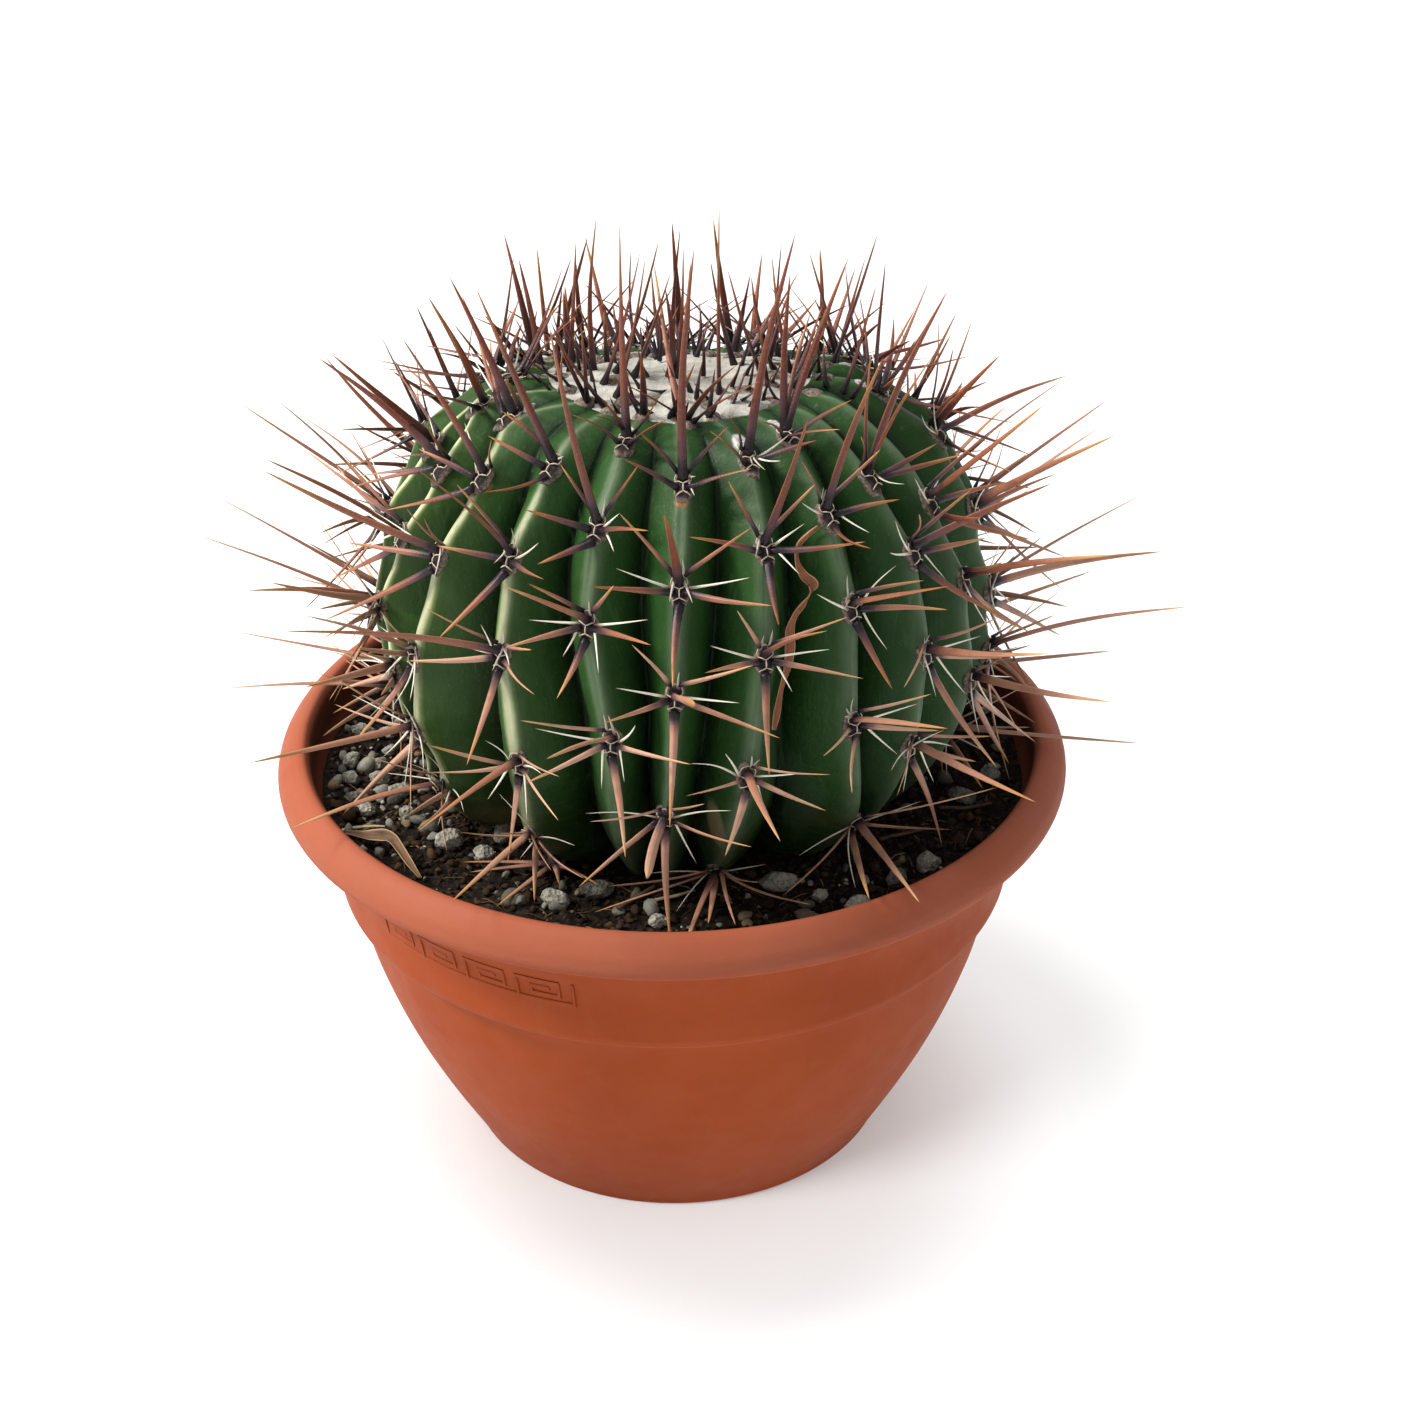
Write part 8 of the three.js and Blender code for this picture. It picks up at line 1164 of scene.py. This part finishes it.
pot_object = pot().object("pot_moulded", plastic_material(), ["pot"], "terracotta_plastic")
drill = Soup()
for i in range(6):
    a = math.radians(60 * i + 30)
    cx, cy = 46 * math.cos(a), 46 * math.sin(a)
    v, f = tube([(cx, cy, -5), (cx, cy, 2), (cx, cy, 10)], 6.0, 32, 1.0, (1, 0, 0))
    drill.add(v, f)
cutter_mesh = bpy.data.meshes.new("drill")
cutter_mesh.from_pydata((np.vstack(drill.v) * MM).tolist(), [], [list(q) for b in drill.f for q in b.tolist()])
cutter = bpy.data.objects.new("drill", cutter_mesh)
bpy.context.scene.collection.objects.link(cutter)
cut = pot_object.modifiers.new("holes", "BOOLEAN")
cut.operation, cut.solver, cut.object = "DIFFERENCE", "EXACT", cutter
bpy.context.view_layer.update()
baked = bpy.data.meshes.new_from_object(pot_object.evaluated_get(bpy.context.evaluated_depsgraph_get()))
pot_object.modifiers.clear()
pot_object.data = baked
bpy.data.objects.remove(cutter)
pot_object.data.polygons.foreach_set("use_smooth", [True] * len(pot_object.data.polygons))
pot_object.data.set_sharp_from_angle(angle=math.radians(32))


# ---------------------------------------------------------------- compost
def soil_height(x, y):
    p = np.stack([x, y, np.zeros_like(x)], -1)
    return SOIL_Z - 0.2 + smooth(116, 133, np.hypot(x, y)) * 2.6 + fractal(p, 26, 2, 50) * 1.1 + fractal(p, 6.5, 3, 60) * 0.9


def foot_radius(x, y):
    """Radius of the plant's outline where it enters the compost."""
    return 84.0


def soil():
    NR, NA = 120, 420
    az = np.arange(NA) / NA * 2 * np.pi
    r = np.linspace(52, 133.6, NR)
    x, y = r[:, None] * np.cos(az), r[:, None] * np.sin(az)
    z = soil_height(x, y)
    z = z + np.abs(fractal(np.stack([x, y, 0 * x], -1), 2.2, 2, 71)) * 0.9
    top = np.stack([x, y, z], -1)
    low = np.stack([130.5 * np.cos(az), 130.5 * np.sin(az), np.full(NA, 144.6)], -1)
    c = NR * NA
    v = np.vstack([top.reshape(-1, 3), low, [[0, 0, 143.5], [0, 0, 144.0]]])
    s = Soup()
    s.add(v, [grid_faces(NR + 1, NA, True, True), fan(c + NA, 0, NA, True), fan(c + NA + 1, c, NA)], grit=0.02, rnd=0.3)
    # grains: dark crumbs everywhere, grey pumice mostly at the left, a few pale ones
    local = np.random.default_rng(77)

    def scatter(count, lo, hi, shape, grey, level, flatten=0.7, where=None):
        placed = 0
        base_v, base_f = level
        while placed < count:
            a = local.uniform(0, 2 * np.pi)
            r = math.sqrt(local.uniform(76**2, 133**2))
            gx, gy = r * math.sin(a), -r * math.cos(a)
            if where is not None and local.uniform() > where(gx, gy):
                continue
            size = lo + (hi - lo) * local.uniform() ** 2.2
            if r + size / 2 > 132.6:
                continue
            d = local.uniform(0.55, 1.25, 3) * np.array([1, 1, flatten])
            rot = Matrix.Rotation(local.uniform(0, 6.28), 3, "Z") @ Matrix.Rotation(local.uniform(-0.7, 0.7), 3, "X")
            R = np.array(rot)
            w = base_v * (1 + 0.22 * noise3(base_v * 1.7 + local.uniform(0, 90, 3), 3))[:, None]
            if size > 2.2:
                for _ in range(5):
                    face = unit(local.normal(0, 1, 3))
                    w = w - np.clip(w @ face - local.uniform(0.5, 0.78), 0, None)[:, None] * face * 0.9
            w = (w * d * size / 2) @ R.T
            gz = float(soil_height(np.array([gx]), np.array([gy]))[0]) + size * shape
            s.add(w + np.array([gx, gy, gz]), [base_f], grit=grey(local), rnd=local.uniform())
            placed += 1

    left = lambda x, y: 0.12 + 0.88 * float(smooth(-60, -105, x)) * float(smooth(-70, -20, y)) + 0.25 * float(smooth(-60, -95, y))
    scatter(4300, 1.0, 3.9, 0.26, lambda g: g.uniform(0.0, 0.22), ICO1)
    scatter(760, 2.0, 6.0, 0.26, lambda g: g.uniform(0.03, 0.22), ICO2)
    scatter(380, 1.6, 8.2, 0.24, lambda g: g.uniform(0.36, 0.70), ICO2, 0.72, left)
    scatter(60, 0.8, 2.4, 0.4, lambda g: g.uniform(0.78, 0.92), ICO1, 0.8, left)
    # fibres and bits of bark
    for _ in range(420):
        a = local.uniform(0, 2 * np.pi)
        r = math.sqrt(local.uniform(84**2, 127**2))
        x0, y0 = r * math.sin(a), -r * math.cos(a)
        L, th = local.uniform(3, 13), local.uniform(0, 6.28)
        x1, y1 = x0 + L * math.cos(th), y0 + L * math.sin(th)
        if math.hypot(x1, y1) > 128:
            continue
        k = np.linspace(0, 1, 5)
        px, py = x0 + (x1 - x0) * k, y0 + (y1 - y0) * k
        pz = soil_height(px, py) + 0.7 + 0.8 * np.sin(np.pi * k) * local.uniform(0, 1)
        v, f = tube(np.stack([px, py, pz], -1), local.uniform(0.14, 0.40) * (1 - 0.6 * k), 5)
        s.add(v, f, grit=local.choice([0.14, 0.18, 0.21, 0.25, 0.30]), rnd=local.uniform())
    return s


def compost_material():
    m = Mat("compost")
    grit, rnd = m.attr("grit"), m.attr("rnd")
    dark = m.ramp(m.noise(320, 5, 0.7), [(0.3, (0.0020, 0.0015, 0.0013)), (0.48, (0.0075, 0.0050, 0.0038)), (0.60, (0.028, 0.019, 0.013)), (0.76, (0.105, 0.076, 0.054))])
    colour = m.ramp(
        grit,
        [(0.0, (0.005, 0.0032, 0.0025)), (0.18, (0.045, 0.026, 0.015)), (0.25, (0.12, 0.065, 0.03)), (0.33, (0.30, 0.20, 0.11)), (0.42, (0.090, 0.085, 0.072)), (0.72, (0.30, 0.285, 0.245)), (0.85, (0.50, 0.48, 0.42)), (1.0, (0.72, 0.69, 0.62))],
    )
    colour = m.mix(m.map(grit, 0.05, 0.10, 1.0, 0.0), colour, dark)
    mottled = m.noise(900, 4, 0.7)
    colour = m.mix(m.map(mottled, 0.45, 0.75, 0.0, 0.5), colour, (0.02, 0.015, 0.012))
    normal = m.bump(m.noise(1500, 4, 0.7), 0.7, 0.0006)
    return m.done(colour, m.map(rnd, 0, 1, 0.75, 0.98, "LINEAR"), normal, Specular_IOR_Level=0.10)


COMPOST = compost_material()
soil().object("compost_surface", COMPOST, ["soil"], "compost")


# ---------------------------------------------------------------- stones
def stone_material():
    m = Mat("pumice")
    rnd = m.attr("rnd")
    base = m.ramp(
        m.math("ADD", m.math("MULTIPLY", m.noise(260, 5, 0.7), 0.7), m.math("MULTIPLY", rnd, 0.3)),
        [(0.25, (0.060, 0.056, 0.046)), (0.42, (0.20, 0.188, 0.155)), (0.60, (0.38, 0.360, 0.305)), (0.8, (0.62, 0.60, 0.53))],
    )
    pores = m.map(m.cells(900), 0.14, 0.36, 0.75, 0.0)
    base = m.mix(pores, base, (0.035, 0.032, 0.030))
    rust = m.map(m.noise(70, 4, 0.6), 0.58, 0.75, 0.0, 0.4)
    base = m.mix(rust, base, (0.22, 0.15, 0.09))
    normal = m.bump(m.cells(700), 0.7, 0.0012)
    normal = m.bump(m.noise(1400, 4, 0.7), 0.5, 0.0006, normal)
    return m.done(base, 0.92, normal, Specular_IOR_Level=0.25)


STONE = stone_material()
for i, (x, y, a, b, turn, h) in enumerate(STONES):
    v, f = ICO4
    p = v * (1 + 0.20 * noise3(v * 1.3 + i * 7.7, 9) + 0.09 * noise3(v * 3.1 + i * 3.3, 12) + 0.035 * noise3(v * 7 + i, 14))[:, None]
    # a few flattened facets make it a broken grain instead of a pebble
    local = np.random.default_rng(300 + i)
    for _ in range(7):
        n = unit(local.normal(0, 1, 3))
        cut_at = local.uniform(0.66, 0.86)
        over = np.clip(p @ n - cut_at, 0, None)
        p = p - over[:, None] * n * 0.85
    pits = np.clip(noise3(p * 4.6 + i * 11, 21) - 0.35, 0, 1)
    p = p * (1 - 0.16 * pits)[:, None]
    p = p * np.array([a / 2, b / 2, h * 0.62])
    p[:, 2] = np.maximum(p[:, 2], -0.42 * h)
    t = math.radians(turn)
    p = p @ np.array([[math.cos(t), math.sin(t), 0], [-math.sin(t), math.cos(t), 0], [0, 0, 1]])
    p = p + np.array([x, y, SOIL_Z + 0.1 - p[:, 2].min()])
    s = Soup()
    s.add(p, [f], rnd=local.uniform())
    s.object("grain_%02d" % (i + 1), STONE, ["stone_%02d" % (i + 1)], "pumice")


# ---------------------------------------------------------------- dry leaf, ribbon, straws
def sheet_strip(points, thick, curl, ripple, seed, cols=17, per=7, fold=False):
    """A dry leaf: its width curls across, its edge is wavy, and both faces are closed."""
    pts = np.array(points, float)
    k = np.linspace(0, len(pts) - 1, (len(pts) - 1) * per + 1)
    idx = np.arange(len(pts))
    line = np.stack([spline(k, idx, pts[:, i]) for i in range(3)], -1)
    width = np.maximum(np.interp(k, idx, pts[:, 3]), 0.3)
    side = np.stack([np.interp(k, idx, pts[:, 4 + i]) for i in range(3)], -1)
    t = unit(np.gradient(line, axis=0))
    side = unit(side - t * np.sum(side * t, 1, keepdims=True))
    n = np.cross(t, side)
    w = np.linspace(-1, 1, cols)
    edge = 1 + 0.10 * noise3(np.stack([k * 0.9, k * 0 + seed, k * 0], -1), 5)
    x = w[None] * (width * edge / 2)[:, None]
    bent = np.abs(w[None]) ** (1.15 if fold else 2)
    lift = curl * bent * (width / 2)[:, None] + ripple * np.sin(k * 2.1 + seed)[:, None] * w[None] ** 3
    vein = 0.22 * np.exp(-((w / 0.1) ** 2))
    p = line[:, None] + side[:, None] * x[..., None] + n[:, None] * (lift + vein)[..., None]
    rows = len(k)
    h = n[:, None] * (thick / 2 * (1 - 0.6 * w[None, :, None] ** 2))
    a, b = (p + h).reshape(-1, 3), (p - h).reshape(-1, 3)
    c = rows * cols
    f = [grid_faces(rows, cols), grid_faces(rows, cols, False, True) + c]
    rim = []
    for i in range(rows - 1):
        rim.append([i * cols, (i + 1) * cols, c + (i + 1) * cols, c + i * cols][::-1])
        j = i * cols + cols - 1
        rim.append([j, j + cols, c + j + cols, c + j])
    for j in range(cols - 1):
        rim.append([j, j + 1, c + j + 1, c + j])
        q = (rows - 1) * cols + j
        rim.append([q, q + 1, c + q + 1, c + q][::-1])
    s = Soup()
    along = np.repeat(k / k[-1], cols)
    s.add(np.vstack([a, b]), f + [np.array(rim)], along=np.tile(along, 2), across=np.tile(np.tile(w, rows), 2))
    return s


def leaf_material(name, light, dark, edge=None):
    m = Mat(name)
    across, along = m.attr("across"), m.attr("along")
    comb = m.new("ShaderNodeCombineXYZ")
    m.put(comb.inputs[0], across)
    m.put(comb.inputs[1], along)
    fibres = m.noise(9, 3, 0.6, m.scaled(comb.outputs[0], 1, 0.35, 1), 0.3)
    base = m.mix(m.map(fibres, 0.3, 0.7), dark, light)
    blot = m.noise(160, 4, 0.65)
    base = m.mix(m.map(blot, 0.5, 0.75, 0.0, 0.6), base, tuple(c * 0.45 for c in dark))
    base = m.mix(m.map(m.math("ABSOLUTE", across), 0.72 if edge else 0.8, 0.95, 0.0, 0.85 if edge else 0.5), base, edge or tuple(c * 0.6 for c in dark))
    normal = m.bump(fibres, 0.5, 0.0007)
    normal = m.bump(m.noise(700, 3, 0.6), 0.35, 0.0004, normal)
    return m.done(base, 0.66, normal, Specular_IOR_Level=0.3)


LEAF = leaf_material("dry_leaf", (0.21, 0.118, 0.056), (0.080, 0.040, 0.018), (0.46, 0.33, 0.20))
RIBBON_SKIN = leaf_material("dry_ribbon", (0.37, 0.145, 0.066), (0.17, 0.055, 0.028), (0.58, 0.34, 0.20))
sheet_strip([(*p[:3], p[3] * 0.74, *p[4:]) for p in LEAF_PATH], 0.45, 0.62, 0.25, 2.0, 17, 7, True).object("leaf_dry", LEAF, ["dry_leaf"], "dry_leaf")
sheet_strip([(*p[:3], p[3] * 0.86, *p[4:]) for p in RIBBON_PATH], 0.5, 0.30, 0.35, 5.0, 11, 9).object("ribbon_dry", RIBBON_SKIN, ["dry_ribbon"], "dry_leaf")

TWIG = leaf_material("twig", (0.16, 0.09, 0.05), (0.06, 0.034, 0.02))
STRAW = leaf_material("straw", (0.62, 0.50, 0.31), (0.38, 0.27, 0.14))


def straw(name, node, points, material, slot):
    pts = np.array(points, float)
    k = np.linspace(0, len(pts) - 1, 25)
    idx = np.arange(len(pts))
    line = np.stack([spline(k, idx, pts[:, i]) for i in range(3)], -1)
    line = line + 0.12 * np.stack([noise3(np.stack([k * 2, k * 0 + j * 5, k * 0], -1), 2) for j in range(3)], -1)
    r = np.interp(k, idx, pts[:, 3]) / 2 * (1 + 0.12 * noise3(np.stack([k * 5, k * 0, k * 0], -1), 7))
    v, f = tube(line, r, 9, 0.7)
    s = Soup()
    s.add(v, f, along=np.append(np.repeat(k / k[-1], 9), [0, 1]), across=np.append(np.tile(np.linspace(-1, 1, 9), 25), [0, 0]))
    s.object(name, material, [node], slot)


for name, node, pts, material, slot in (
    ("twig_brown", "stem_brown", [[-20, -98.4, 149.2, 2.2], [-13, -92, 149.4, 2.2], [-7, -86.6, 150.4, 1.4]], TWIG, "twig"),
    ("straw_front", "straw_pale", [[-7, -93, 148.6, 1.6], [0, -92, 149.4, 1.6], [7, -90, 150.6, 1.0]], STRAW, "straw"),
    ("twig_right_a", "straw_dark_1", [[75.5, -56, 148.6, 1.8], [84, -53.4, 149, 1.8], [92, -50, 148.8, 1.2]], TWIG, "twig"),
    ("twig_right_b", "straw_dark_2", [[99.5, -34.5, 148.5, 1.8], [109, -36.4, 149.2, 1.8], [119, -35, 150.4, 1.2]], TWIG, "twig"),
    ("straw_left", "needle", [[-122.7, -43.8, 148.5, 1.5], [-114, -42.6, 149, 1.5], [-106.8, -42.2, 148.8, 1.0]], STRAW, "straw"),
):
    straw(name, node, pts, material, slot)

# a cluster that fell from the plant
s = Soup()
hub = np.array([-43.1, -73.3, 151.9])
w = ICO2[0] * np.array([3.0, 3.0, 2.8]) * (1 + 0.15 * noise3(ICO2[0] * 1.6, 33))[:, None]
s.add(w + hub, [ICO2[1]], s=0.0, mm=0.0, tone=0.3, pale=0.0, rim=0.5, rnd=0.4, part=0.45)
for i, t in enumerate([(-76, -71, 151.5), (-73, -80, 153), (-62.8, -96.8, 149.6), (-40.6, -95, 157.5), (-26.5, -97, 158), (-49, -77, 164)]):
    t = np.array(t, float)
    spine(s, hub + unit(t - hub) * 1.6, t, (0, 0, 1), 1 if i != 5 else 5, 0.72 + 0.05 * i % 0.2, (0.02, 0.01), 0.2, 3.3 * i)
s.object("spines_fallen", SPINES, ["fallen_spines"], "spine")

# ---------------------------------------------------------------- floor, light, camera
floor_mesh = bpy.data.meshes.new("floor")
N = 40
gx = np.linspace(-9, 9, N + 1)
fv = [(x, y, -0.0004) for y in gx for x in gx]
ff = [(i * (N + 1) + j, i * (N + 1) + j + 1, (i + 1) * (N + 1) + j + 1, (i + 1) * (N + 1) + j) for i in range(N) for j in range(N)]
floor_mesh.from_pydata(fv, [], ff)
floor = bpy.data.objects.new("floor", floor_mesh)
bpy.context.scene.collection.objects.link(floor)
white = bpy.data.materials.new("studio_floor")
white.use_nodes = True
wb = white.node_tree.nodes["Principled BSDF"]
wb.inputs["Base Color"].default_value = (0.93, 0.925, 0.92, 1)
wb.inputs["Roughness"].default_value = 0.9
wb.inputs["Specular IOR Level"].default_value = 0.1
floor_mesh.materials.append(white)

scene = bpy.context.scene
world = bpy.data.worlds.new("studio")
scene.world = world
world.use_nodes = True
bg = world.node_tree.nodes["Background"]
bg.inputs["Color"].default_value = (0.97, 0.985, 1.0, 1)
bg.inputs["Strength"].default_value = 0.52


def area(name, at, aim, size, power, colour=(1, 1, 1)):
    data = bpy.data.lights.new(name, "AREA")
    data.shape, data.size, data.energy, data.color = "DISK", size, power, colour
    o = bpy.data.objects.new(name, data)
    o.location = at
    o.rotation_euler = (Vector(aim) - Vector(at)).to_track_quat("-Z", "Y").to_euler()
    scene.collection.objects.link(o)
    return o


# The key stands at the left and lights the plant and its pot; a soft box overhead lights all. The floor has a soft
# box of its own, and a wash without shadows that keeps it white.
key = area("key", (-2.0, -0.10, 1.95), (0, 0, 0.2), 0.55, 90, (1.0, 0.965, 0.90))
shade = bpy.data.collections.new("key_lights_all_but")
shade.objects.link(floor)
shade.collection_objects[0].light_linking.link_state = "EXCLUDE"
key.light_linking.receiver_collection = shade
area("top", (-0.62, 0.12, 2.0), (0.02, 0, 0.1), 0.95, 20, (1.0, 0.99, 0.98))
only = bpy.data.collections.new("floor_only")
only.objects.link(floor)
for name, at, size, power in (("floor_box", (0.5, 0.5, 2.2), 1.0, 15), ("floor_front", (-1.3, -1.3, 1.5), 0.9, 27)):
    lamp = area(name, at, (0, 0, 0), size, power, (0.93, 1.0, 1.0))
    lamp.light_linking.receiver_collection = only
wash = bpy.data.objects.new("floor_wash", bpy.data.lights.new("floor_wash", "SUN"))
wash.data.energy = 0.80
wash.data.color = (0.93, 1.0, 1.0)
wash.data.use_shadow = False
wash.light_linking.receiver_collection = only
scene.collection.objects.link(wash)

cam_data = bpy.data.cameras.new("camera")
cam = bpy.data.objects.new("camera", cam_data)
scene.collection.objects.link(cam)
yaw, pitch, roll = math.radians(0.82), math.radians(29.99), math.radians(-0.44)
d = Vector((math.sin(yaw) * math.cos(pitch), math.cos(yaw) * math.cos(pitch), -math.sin(pitch)))
right = d.cross(Vector((0, 0, 1))).normalized()
up = right.cross(d)
r2 = right * math.cos(roll) + up * math.sin(roll)
u2 = up * math.cos(roll) - right * math.sin(roll)
place = Matrix(((r2.x, u2.x, -d.x, 0.0), (r2.y, u2.y, -d.y, -0.85603), (r2.z, u2.z, -d.z, 0.66883), (0, 0, 0, 1)))
cam.matrix_world = place
cam_data.sensor_fit = "HORIZONTAL"
cam_data.sensor_width = 36
cam_data.lens = 36 * 2600 / 1408
cam_data.clip_end = 100
cam_data.dof.use_dof = False
scene.camera = cam
scene.view_settings.view_transform = "Standard"

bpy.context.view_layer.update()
